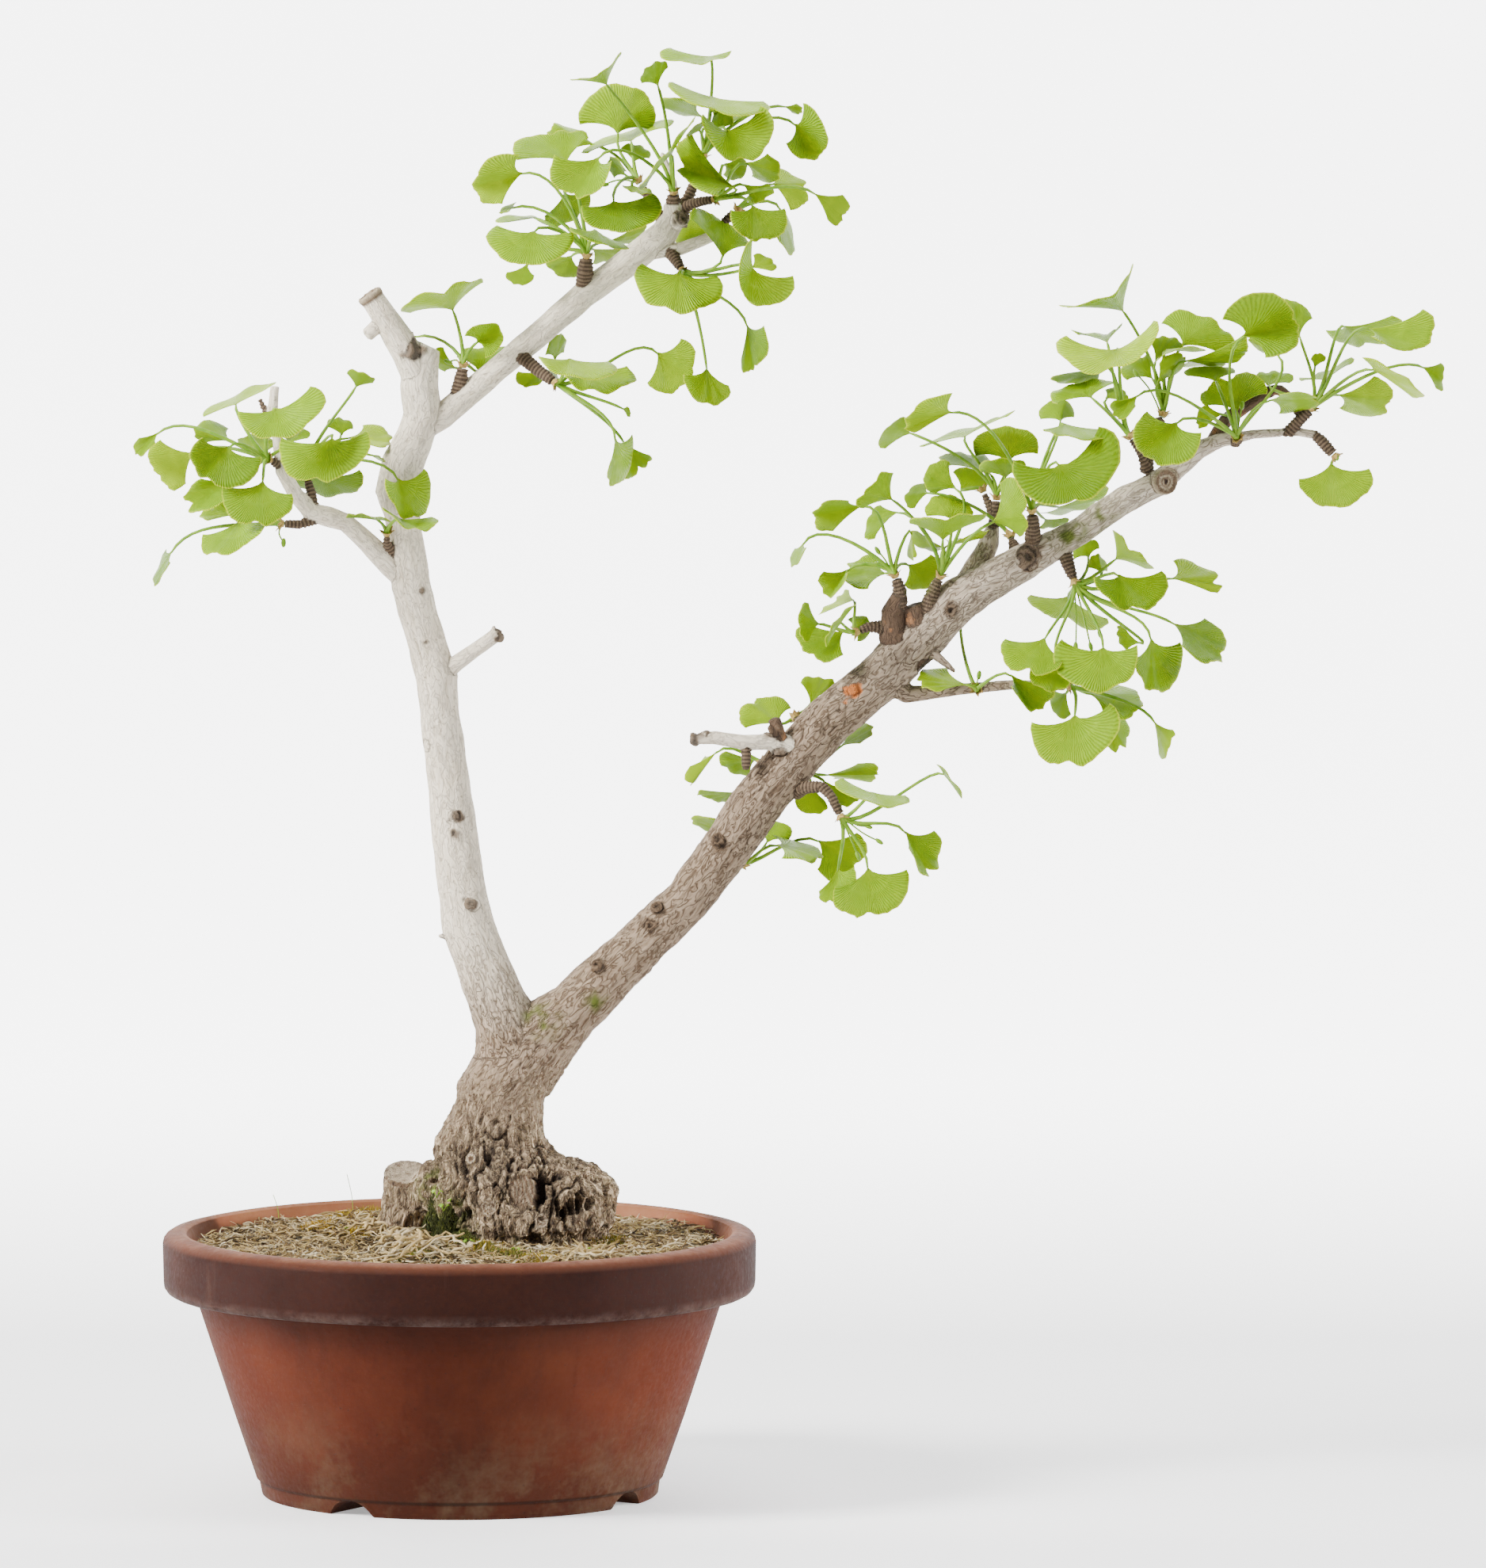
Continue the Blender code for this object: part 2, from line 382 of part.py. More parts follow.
            Leaf((1395, 503), (1399, 492), (1415, 494), (1422, 505), 2, 1, 13))),
    "end_front": Rosette(
        ((1560, 559, 0, 3.2), (1561, 554, -5, 2.8), (1561, 552, -9, 2.4)), (
            Leaf((1437, 498), (1404, 510), (1412, 525), (1430, 517), -6, -1, 17),
            Leaf((1535, 481), (1495, 472), (1528, 468), (1560, 469), 2, 1, 21),
            Leaf((1486, 532), (1437, 525), (1455, 578), (1514, 556), -14, -1, 28),
            Leaf((1562, 520), (1517, 505), (1550, 480), (1598, 486), 28, 1, 24),
            Leaf((1545, 522), (1520, 513), (1513, 530), (1518, 540), 20, 1, 16),
            Leaf((1569, 425), (1547, 388), (1633, 402), (1614, 447), -2, -1, 30),
            Leaf((1616, 450), (1588, 442), (1583, 424), (1630, 430), 14, 1, 21),
            Leaf((1601, 505), (1625, 491), (1659, 503), (1629, 522), -8, -1, 27))),
    "end_top": Rosette(
        ((1624, 548, 2, 3.6), (1640, 531, 0, 3.4), (1653, 518, -2, 3.2)), (
            Leaf((1641, 426), (1600, 384), (1630, 382), (1657, 397), 0, 1, 24),
            Leaf((1697, 411), (1682, 426), (1728, 438), (1767, 402), 8, 1, 31),
            Leaf((1727, 414), (1738, 428), (1785, 437), (1806, 400), -6, -1, 34),
            Leaf((1659, 465), (1655, 450), (1665, 447), (1673, 452), 0, -1, 10),
            Leaf((1675, 480), (1640, 479), (1672, 473), (1709, 453), 6, 1, 20),
            Leaf((1731, 466), (1724, 450), (1770, 476), (1792, 505), -12, -1, 30),
            Leaf((1796, 463), (1823, 461), (1820, 478), (1817, 493), 2, 1, 17),
            Leaf((1688, 498), (1745, 477), (1750, 513), (1705, 522), 12, 1, 30),
            Leaf((1600, 487), (1585, 475), (1610, 472), (1632, 480), 16, 1, 16))),
    "tip": Rosette(
        ((1660, 549, 2, 2.8), (1668, 556, 0, 3.5), (1683, 573, -2, 3.3)), (
            Leaf((1680, 583), (1641, 613), (1685, 635), (1732, 603), -1, -1, 26),)),
    "under_front": Rosette(
        ((1342, 690, -4, 5.2), (1349, 714, -7, 3.7), (1355, 730, -9, 3.0)), (
            Leaf((1412, 724), (1383, 735), (1430, 765), (1472, 733), -6, -1, 28),
            Leaf((1392, 725), (1375, 713), (1385, 703), (1398, 718), 4, 1, 13),
            Leaf((1478, 730), (1493, 711), (1535, 735), (1534, 749), 4, 1, 27),
            Leaf((1348, 752), (1298, 757), (1348, 785), (1399, 787), 14, 1, 27),
            Leaf((1320, 804), (1264, 815), (1298, 845), (1338, 837), -4, -1, 28),
            Leaf((1331, 822), (1300, 850), (1330, 868), (1352, 852), -12, -1, 22),
            Leaf((1393, 816), (1332, 820), (1392, 864), (1436, 825), -18, -1, 28),
            Leaf((1440, 812), (1414, 790), (1413, 805), (1420, 820), 6, 1, 14),
            Leaf((1480, 786), (1533, 790), (1542, 825), (1500, 822), 6, 1, 33),
            Leaf((1453, 804), (1432, 838), (1457, 867), (1491, 828), -12, -1, 30),
            Leaf((1408, 706), (1406, 668), (1427, 690), (1452, 719), 2, -1, 22),
            Leaf((1375, 704), (1355, 702), (1368, 684), (1387, 688), 18, 1, 14))),
    "low_middle": Rosette(
        ((1236, 868, -1, 3.2), (1234, 869, -5, 2.2)), (
            Leaf((1275, 850), (1280, 872), (1308, 892), (1328, 872), -8, -1, 25),
            Leaf((1222, 864), (1180, 868), (1163, 861), (1184, 846), -6, -1, 28),
            Leaf((1212, 778), (1190, 760), (1215, 742), (1236, 756), 36, 1, 19))),
    "low_tip": Rosette(
        ((1335, 865, -5, 2.8), (1346, 866, -6, 2.7)), (
            Leaf((1375, 876), (1385, 864), (1437, 886), (1405, 905), 8, 1, 29),
            Leaf((1347, 873), (1328, 877), (1333, 900), (1350, 906), 4, 1, 18),
            Leaf((1357, 901), (1302, 928), (1350, 961), (1411, 899), -14, -1, 30),
            Leaf((1395, 897), (1400, 943), (1415, 943), (1424, 915), 12, 1, 24),
            Leaf((1457, 910), (1480, 922), (1472, 938), (1464, 957), 0, -1, 21))),
}


def clear_scene():
    for old in list(bpy.data.objects):
        bpy.data.objects.remove(old, do_unlink=True)


def material(name, kind):
    colour, roughness = COLOURS[kind]
    made = bpy.data.materials.new(name)
    made.use_nodes = True
    shader = made.node_tree.nodes["Principled BSDF"]
    shader.inputs["Base Color"].default_value = (*colour, 1.0)
    shader.inputs["Roughness"].default_value = roughness
    shader.inputs["Metallic"].default_value = 0.0
    return made


def add_object(name, bm):
    mesh = bpy.data.meshes.new(name)
    bm.to_mesh(mesh)
    bm.free()
    made = bpy.data.objects.new(name, mesh)
    bpy.context.scene.collection.objects.link(made)
    return made


def remove_object(old):
    mesh = old.data
    bpy.data.objects.remove(old, do_unlink=True)
    if mesh.users == 0:
        bpy.data.meshes.remove(mesh)


def apply_modifiers(made):
    """Puts the shape that the modifiers give into the object's own mesh."""
    graph = bpy.context.evaluated_depsgraph_get()
    shaped = bpy.data.meshes.new_from_object(made.evaluated_get(graph))
    made.modifiers.clear()
    plain = made.data
    made.data = shaped
    bpy.data.meshes.remove(plain)
    shaped.name = made.name


def combine(made, others, operation, solver):
    """Fuses the other objects into this one, or cuts them out of it, and removes them."""
    group = bpy.data.collections.new("group")
    bpy.context.scene.collection.children.link(group)
    for other in others:
        group.objects.link(other)
    step = made.modifiers.new("combine", "BOOLEAN")
    step.operation = operation
    step.operand_type = "COLLECTION"
    step.collection = group
    step.solver = solver
    apply_modifiers(made)
    for other in others:
        remove_object(other)
    bpy.data.collections.remove(group)


def at(column, row, depth):
    """The place of a point of the picture that lies this many mm beyond the pot's axis."""
    across = (column - MIDDLE_COLUMN) / FOCAL_LENGTH_IN_COLUMNS
    up = (MIDDLE_ROW - row) / FOCAL_LENGTH_IN_COLUMNS
    sine = math.sin(LOOK_DOWN)
    cosine = math.cos(LOOK_DOWN)
    ray = Vector((across, cosine + up * sine, up * cosine - sine))
    return EYE + ray * ((depth * MM - EYE.y) / ray.y)


def tangents(points):
    last = len(points) - 1
    ends = [(points[max(i - 1, 0)], points[min(i + 1, last)]) for i in range(last + 1)]
    return [(after - before).normalized() for before, after in ends]


def extruded(bm, face, inside):
    """Extrudes a face in place and returns the new one. A face left inside is taken out."""
    grown = bmesh.ops.extrude_face_region(bm, geom=[face])["geom"]
    if inside:
        bmesh.ops.delete(bm, geom=[face], context="FACES_ONLY")
    return [item for item in grown if isinstance(item, bmesh.types.BMFace)][0]


def tube(points, radii, sides):
    """A closed tapered tube: a disc that is extruded from point to point and turned on the way."""
    bm = bmesh.new()
    ways = tangents(points)
    turn = ways[0].to_track_quat("Z", "Y").to_matrix().to_4x4()
    place = Matrix.Translation(points[0]) @ turn
    bmesh.ops.create_circle(bm, cap_ends=True, segments=sides, radius=radii[0], matrix=place)
    bm.faces.ensure_lookup_table()
    face = bm.faces[0]
    for i in range(1, len(points)):
        face = extruded(bm, face, i > 1)
        turn = ways[i - 1].rotation_difference(ways[i]).to_matrix()
        growth = radii[i] / radii[i - 1]
        for vertex in face.verts:
            vertex.co = points[i] + turn @ (vertex.co - points[i - 1]) * growth
    bmesh.ops.recalc_face_normals(bm, faces=bm.faces)
    return bm


def turned(profile, sides):
    """A profile of radius and height, from the axis back to the axis, turned all round."""
    bm = bmesh.new()
    ring = [bm.verts.new((radius, 0, height)) for radius, height in profile]
    edges = [bm.edges.new(pair) for pair in zip(ring, ring[1:])]
    bmesh.ops.spin(bm, geom=ring + edges, cent=(0, 0, 0), axis=(0, 0, 1),
                   angle=math.tau, steps=sides, use_merge=True)
    bmesh.ops.remove_doubles(bm, verts=bm.verts, dist=0.00001)
    bmesh.ops.recalc_face_normals(bm, faces=bm.faces)
    return bm


def cylinder(radius, low, high, sides, place):
    bm = bmesh.new()
    middle = Matrix.Translation((0, 0, (low + high) / 2))
    bmesh.ops.create_cone(bm, cap_ends=True, segments=sides, radius1=radius, radius2=radius,
                          depth=high - low, matrix=place @ middle)
    return bm


def pot_profile():
    wall = (INNER_BOTTOM_RADIUS - 0.004, FLOOR_THICKNESS)
    return (
        (0, 0), (FOOT_RADIUS, 0), (FOOT_RADIUS + 0.0015, FOOT_HEIGHT),
        (BODY_BOTTOM_RADIUS, FOOT_HEIGHT + 0.0014), (BODY_TOP_RADIUS, BAND_BOTTOM - 0.0005),
        (RIM_RADIUS - 0.0025, BAND_BOTTOM), (RIM_RADIUS - 0.0002, BAND_BOTTOM + 0.005),
        (RIM_RADIUS, POT_HEIGHT - 0.007), (RIM_RADIUS - 0.002, POT_HEIGHT - 0.003),
        (RIM_INNER_RADIUS + 0.0045, POT_HEIGHT), (RIM_INNER_RADIUS, POT_HEIGHT - 0.001),
        (INNER_TOP_RADIUS, INNER_TOP_HEIGHT), (INNER_BOTTOM_RADIUS, INNER_BOTTOM_HEIGHT),
        wall, (0, FLOOR_THICKNESS))


def make_pot():
    """The pot, with four drain holes and a channel from each to the edge of the foot."""
    pot = add_object("pot", turned(pot_profile(), POT_SIDES))
    cutters = []
    for number in range(DRAIN_COUNT):
        spin = Matrix.Rotation(DRAIN_FIRST_ANGLE + math.tau * number / DRAIN_COUNT, 4, "Z")
        hole_place = spin @ Matrix.Translation((DRAIN_HOLE_PLACE, 0, 0))
        hole = cylinder(DRAIN_HOLE_RADIUS, -0.01, FLOOR_THICKNESS + 0.01, CHANNEL_SIDES, hole_place)
        lie = Matrix.Translation((0, 0, -CHANNEL_CENTRE_DROP)) @ Matrix.Rotation(math.pi / 2, 4, "Y")
        channel = cylinder(CHANNEL_RADIUS, DRAIN_HOLE_PLACE, RIM_RADIUS, CHANNEL_SIDES, spin @ lie)
        cutters.append(add_object("hole", hole))
        cutters.append(add_object("channel", channel))
    combine(pot, cutters, "DIFFERENCE", "EXACT")
    pot.data.materials.clear()
    pot.data.materials.append(material("pot_terracotta", "pot"))
    return pot


def soil_height(x, y):
    """The soil's uneven top: a low mound round the foot of the tree, and small rises."""
    far = math.hypot(x - SOIL_MOUND_PLACE[0], y - SOIL_MOUND_PLACE[1]) / SOIL_MOUND_SPREAD
    rise = noise.noise(Vector((x, y, 0)) * 28) * 0.0016
    return SOIL_EDGE_HEIGHT + SOIL_INNER_RISE + SOIL_MOUND * math.exp(-far * far) + rise


def make_soil():
    """The soil fills the pot, and has a plain hole for the foot of the tree and for the stump."""
    lean = (INNER_TOP_RADIUS - INNER_BOTTOM_RADIUS) / (INNER_TOP_HEIGHT - INNER_BOTTOM_HEIGHT)
    edge_radius = INNER_BOTTOM_RADIUS + (SOIL_EDGE_HEIGHT - INNER_BOTTOM_HEIGHT) * lean - 1.2 * SOIL_GAP
    profile = [(0, FLOOR_THICKNESS + SOIL_GAP)]
    profile.append((INNER_BOTTOM_RADIUS - 0.004 - SOIL_GAP, FLOOR_THICKNESS + SOIL_GAP))
    profile.append((INNER_BOTTOM_RADIUS - 1.4 * SOIL_GAP, INNER_BOTTOM_HEIGHT + SOIL_GAP))
    profile.append((edge_radius, SOIL_EDGE_HEIGHT))
    profile += [(radius, SOIL_EDGE_HEIGHT + rise) for radius, rise in SOIL_RINGS]
    profile.append((0, SOIL_EDGE_HEIGHT + SOIL_MOUND))
    bm = turned(profile, POT_SIDES)
    for vertex in bm.verts:
        if vertex.co.z > SOIL_EDGE_HEIGHT + 0.0005:
            vertex.co.z = soil_height(vertex.co.x, vertex.co.y)
    bmesh.ops.triangulate(bm, faces=bm.faces)
    soil = add_object("soil", bm)
    _, middle, half_x, half_y = BURL_RINGS[0]
    oval = Matrix.Translation((middle, 0, 0)) @ Matrix.Diagonal(
        (half_x + SOIL_HOLE_GAP, half_y + SOIL_HOLE_GAP, 1, 1))
    foot_hole = cylinder(1.0, BURL_FOOT_HEIGHT - SOIL_HOLE_GAP, POT_HEIGHT + 0.02, BURL_SIDES, oval)
    stump_place = Matrix.Translation((*STUMP_FOOT, 0))
    stump_hole = cylinder(STUMP_RADIUS + SOIL_HOLE_GAP, BURL_FOOT_HEIGHT - SOIL_HOLE_GAP,
                          POT_HEIGHT + 0.02, 12, stump_place)
    cutters = [add_object("foot_hole", foot_hole), add_object("stump_hole", stump_hole)]
    combine(soil, cutters, "DIFFERENCE", "EXACT")
    soil.data.materials.clear()
    soil.data.materials.append(material("soil_fibre", "soil"))
    return soil


def burl_hollow(point):
    """How deep the hollows on the burl's front reach at this point."""
    deepest = 0.0
    for column, row, reach, depth in BURL_HOLLOWS:
        middle = at(column, row, -40)
        far = math.hypot(point.x - middle.x, point.z - middle.z) / reach
        if point.y < 0 and far < 1.6:
            deepest = max(deepest, depth * math.exp(-far * far * 1.5))
    return deepest


def make_burl():
    """The swollen foot: oval rings, plain where they stand in the soil and rugged above it."""
    bm = bmesh.new()
    height, middle, half_x, half_y = BURL_RINGS[0]
    place = Matrix.Translation((middle, 0, height)) @ Matrix.Diagonal((half_x, half_y, 1, 1))
    bmesh.ops.create_circle(bm, cap_ends=True, segments=BURL_SIDES, radius=1.0, matrix=place)
    bm.faces.ensure_lookup_table()
    face = bm.faces[0]
    for before, after in zip(BURL_RINGS, BURL_RINGS[1:]):
        face = extruded(bm, face, before != BURL_RINGS[0])
        for vertex in face.verts:
            across = (vertex.co.x - before[1]) / before[2] * after[2]
            inward = vertex.co.y / before[3] * after[3]
            vertex.co = Vector((after[1] + across, inward, after[0]))
    plain_height = BURL_RINGS[1][0] + 0.001
    bm.normal_update()
    moved = {}
    for vertex in bm.verts:
        if vertex.co.z > plain_height:
            rough = noise.noise(vertex.co / BURL_RELIEF_SCALE) + 0.5 * noise.noise(vertex.co / 0.012)
            out = Vector((vertex.normal.x, vertex.normal.y, 0))
            moved[vertex] = out * (BURL_RELIEF * rough - burl_hollow(vertex.co))
    for vertex, move in moved.items():
        vertex.co += move
    bmesh.ops.recalc_face_normals(bm, faces=bm.faces)
    bmesh.ops.triangulate(bm, faces=bm.faces)
    return bm


def make_stump():
    """The sawn stump beside the foot, leaning against the burl."""
    x, y = STUMP_FOOT
    heights = (BURL_FOOT_HEIGHT, 0.1545, 0.160, 0.172, STUMP_TOP_HEIGHT)
    radii = (STUMP_RADIUS, STUMP_RADIUS, STUMP_RADIUS + 0.002, STUMP_TOP_RADIUS, STUMP_TOP_RADIUS - 0.0008)
    points = [Vector((x + (z - heights[1]) * 0.05, y, z)) for z in heights]
    points[0].x = x
    points[1].x = x
    return tube(points, radii, 12)


def make_wood_tube(path, sides):
    points = [at(column, row, depth) for column, row, depth, _ in path]
    bm = tube(points, [radius * MM for _, _, _, radius in path], sides)
    bmesh.ops.triangulate(bm, faces=bm.faces)
    return bm


def sides_for(path):
    widest = max(radius for _, _, _, radius in path)
    if widest > 9.9:
        return 10
    if widest > 5.5:
        return 7
    return 5


def make_wood():
    """Trunks, branches, stubs and spurs, all one piece of wood."""
    wood = add_object("wood", make_burl())
    others = [add_object("stump", make_stump())]
    base_lobe = bmesh.new()
    bmesh.ops.create_icosphere(base_lobe, subdivisions=2, radius=0.019,
                               matrix=Matrix.Translation((-0.012, 0.008, 0.1795)))
    others.append(add_object("lobe", base_lobe))
    for name, path in LIMBS.items():
        others.append(add_object(name, make_wood_tube(path, sides_for(path))))
    for name, rosette in ROSETTES.items():
        others.append(add_object(name, make_wood_tube(rosette.spur, 5)))
    combine(wood, others, "UNION", "MANIFOLD")
    wood.data.materials.clear()
    wood.data.materials.append(material("bark", "wood"))
    return wood


def heart_of(rosette):
    """The tip of the spur and the way that it points."""
    before = at(*rosette.spur[-2][:3])
    tip = at(*rosette.spur[-1][:3])
    return tip, (tip - before).normalized()


def openness(left, middle, right):
    """1 for a blade that is spread like a fan, and near 0 for one that folds back on itself."""
    return left.angle(right) / (left.angle(middle) + middle.angle(right))


def opened(left, middle, right):
    """Leans an outer ray the other way in depth where the blade would fold back on itself."""
    if openness(left, middle, right) > OPEN_ENOUGH:
        return left, middle, right
    turned_left = Vector((left.x, -left.y, left.z))
    turned_right = Vector((right.x, -right.y, right.z))
    if openness(turned_left, middle, right) > openness(left, middle, turned_right):
        return turned_left, middle, right
    return left, middle, turned_right


def rays_of(leaf, base_depth):
    """The three rays of a blade in space. Where the picture shortens one, it runs in depth."""
    base = at(*leaf.base, base_depth)
    length = leaf.length * MM
    rays = []
    for spot, share in ((leaf.left, TIP_TO_MIDDLE), (leaf.middle, 1.0), (leaf.right, TIP_TO_MIDDLE)):
        flat = at(*spot, base_depth) - base
        short = (length * share) ** 2 - flat.length_squared
        rays.append(flat + Vector((0, leaf.lean * math.sqrt(max(short, 0.0)), 0)))
    return base, opened(*rays)


def blade_place(base, rays, across, along, cleft):
    """A point of the fan: across from -1 to 1 and along from its base, 0, to its edge, 1."""
    shares = (across * (across - 1) / 2, 1 - across * across, across * (across + 1) / 2)
    way = sum((ray.normalized() * share for ray, share in zip(rays, shares)), Vector())
    reach = sum(ray.length * share for ray, share in zip(rays, shares))
    wave = WAVE_DEPTH * math.sin(WAVES * math.pi * across + 1000 * rays[1].x)
    notch = cleft * max(0.0, 1 - abs(across) / 0.2)
    return base + way.normalized() * (reach * along * (1 - (wave + notch) * along * along))


def edge_steps(leaf):
    return 6 if leaf.length >= LARGE_LEAF else 4


def cleft_of(leaf):
    """The depth of the cleft in the middle of the edge, which only some large leaves have."""
    cleft = leaf.length >= LARGE_LEAF and (leaf.base[0] + leaf.base[1]) % 2 == 0
    return CLEFT_DEPTH if cleft else 0.0


def outer_edge(leaf, base, rays):
    steps = edge_steps(leaf)
    spots = [blade_place(base, rays, 2 * i / steps - 1, 1.0, cleft_of(leaf)) for i in range(steps + 1)]
    normals = []
    for i, spot in enumerate(spots):
        along_edge = spots[min(i + 1, steps)] - spots[max(i - 1, 0)]
        normals.append(along_edge.cross(spot - base).normalized())
    return spots, normals


def stalk_rings(course, rays, radius):
    """Three corners round each point of the stalk, turned so that they meet the blade flat."""
    ways = tangents(course)
    ways[-1] = rays[1].normalized()
    side = (rays[2] - rays[0]).normalized()
    side = (side - ways[-1] * side.dot(ways[-1])).normalized()
    rings = []
    for i in range(len(course) - 1, -1, -1):
        if i < len(course) - 1:
            side = ways[i + 1].rotation_difference(ways[i]) @ side
        up = side.cross(ways[i]).normalized()
        left = course[i] - side * radius + up * radius * 0.6
        right = course[i] + side * radius + up * radius * 0.6
        rings.insert(0, [left, right, course[i] - up * radius * 0.8])
    return rings


def make_blade(bm, ring, spots, normals, half):
    """A thin fan from the last ring of the stalk to the waved outer edge."""
    left, right, under = ring
    steps = len(spots) - 1
    middle = steps // 2
    top = [bm.verts.new(spot + normal * half) for spot, normal in zip(spots, normals)]
    bottom = [bm.verts.new(spot - normal * half) for spot, normal in zip(spots, normals)]
    for i in range(steps):
        bm.faces.new((left if i < middle else right, top[i], top[i + 1]))
        bm.faces.new((under, bottom[i + 1], bottom[i]))
        bm.faces.new((top[i], bottom[i], bottom[i + 1], top[i + 1]))
    bm.faces.new((left, top[middle], right))
    bm.faces.new((left, under, bottom[0], top[0]))
    bm.faces.new((right, top[steps], bottom[steps], under))


def make_leaf(leaf, course, rays, extra, with_stalk):
    """One leaf as a closed solid: a three-sided stalk that opens into a thin fan."""
    bm = bmesh.new()
    rings = stalk_rings(course, rays, STALK_RADIUS + extra)
    if not with_stalk:
        rings = rings[-1:]
    rings = [[bm.verts.new(corner) for corner in ring] for ring in rings]
    for near, far in zip(rings, rings[1:]):
        for i in range(3):
            bm.faces.new((near[i], near[(i + 1) % 3], far[(i + 1) % 3], far[i]))
    bm.faces.new(rings[0])
    spots, normals = outer_edge(leaf, course[-1], rays)
    make_blade(bm, rings[-1], spots, normals, BLADE_THICKNESS / 2 + extra)
    bmesh.ops.triangulate(bm, faces=bm.faces)
    bmesh.ops.recalc_face_normals(bm, faces=bm.faces)
    return bm


def stalk_course(tip, way, base, rays):
    """The stalk's course, out of the heart and into the foot of the blade."""
    reach = (base - tip).length
    start = tip + way * (HEART_GAP + HEART_LENGTH * 0.5)
    toward = (base - start).normalized()
    out = start + (way * 0.6 + toward * 0.4) * reach * 0.35
    into = base - rays[1].normalized() * reach * 0.3
    steps = 3 if reach > LONG_STALK else 2
    course = []
    for i in range(steps + 1):
        t = i / steps
        course.append(start * (1 - t) ** 3 + out * 3 * t * (1 - t) ** 2
                      + into * 3 * t * t * (1 - t) + base * t ** 3)
    return course


def box_of(bm):
    spots = [vertex.co for vertex in bm.verts]
    low = Vector([min(spot[i] for spot in spots) for i in range(3)])
    high = Vector([max(spot[i] for spot in spots) for i in range(3)])
    return low, high


def boxes_meet(first, second):
    return all(first[0][i] <= second[1][i] and second[0][i] <= first[1][i] for i in range(3))


def crosses(shape, others):
    tree, box = shape
    return any(boxes_meet(box, other[1]) and tree.overlap(other[0]) for other in others)


def probe(bm):
    shape = (BVHTree.FromBMesh(bm), box_of(bm))
    bm.free()
    return shape


def settle(leaf, tip, way, heart_depth, placed, own):
    """Moves a leaf in depth, in small steps, until it is clear of the leaves and the wood."""
    fallback = None
    for number in range(2 * SHIFT_STEPS + 1):
        side = 1 if number % 2 else -1
        shift = side * ((number + 1) // 2) * SHIFT_STEP / MM
        base, rays = rays_of(leaf, heart_depth + leaf.depth + shift)
        course = stalk_course(tip, way, base, rays)
        whole = probe(make_leaf(leaf, course, rays, CLEAR_GAP, True))
        if crosses(whole, placed):
            continue
        blade = probe(make_leaf(leaf, course, rays, CLEAR_GAP, False))
        if not crosses(blade, own["whole"]) and not crosses(whole, own["blades"]):
            return course, rays, whole, blade
        if fallback is None:
            fallback = (course, rays, whole, blade)
    return fallback


def make_rosette(name, rosette, placed):
    """One head of leaves, fused at its green heart, with every leaf clear of other pieces."""
    tip, way = heart_of(rosette)
    heart_depth = rosette.spur[-1][2]
    start = tip + way * HEART_GAP
    heart = tube([start, start + way * HEART_LENGTH], [HEART_RADIUS, HEART_RADIUS * 0.6], 6)
    made = add_object("leaves_" + name, heart)
    own = {"whole": [], "blades": []}
    others = []
    for leaf in rosette.leaves:
        found = settle(leaf, tip, way, heart_depth, placed, own)
        if found is None:
            print("no room for a leaf of", name, leaf.base)
            continue
        course, rays, whole, blade = found
        own["whole"].append(whole)
        own["blades"].append(blade)
        others.append(add_object("leaf", make_leaf(leaf, course, rays, 0.0, True)))
    combine(made, others, "UNION", "MANIFOLD")
    made.data.materials.clear()
    made.data.materials.append(material("leaf_" + name, "leaf"))
    placed.extend(own["whole"])
    return made


def wood_shape(wood):
    bm = bmesh.new()
    bm.from_mesh(wood.data)
    return probe(bm)


def main():
    clear_scene()
    make_pot()
    make_soil()
    wood = make_wood()
    placed = [wood_shape(wood)]
    for name, rosette in ROSETTES.items():
        make_rosette(name, rosette, placed)


main()
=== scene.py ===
"""The looks of a ginkgo bonsai in a round terracotta pot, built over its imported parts."""

import json
import math
import random
from collections import namedtuple

import bmesh
import bpy
import numpy
from mathutils import Matrix, Vector, noise
from mathutils.kdtree import KDTree

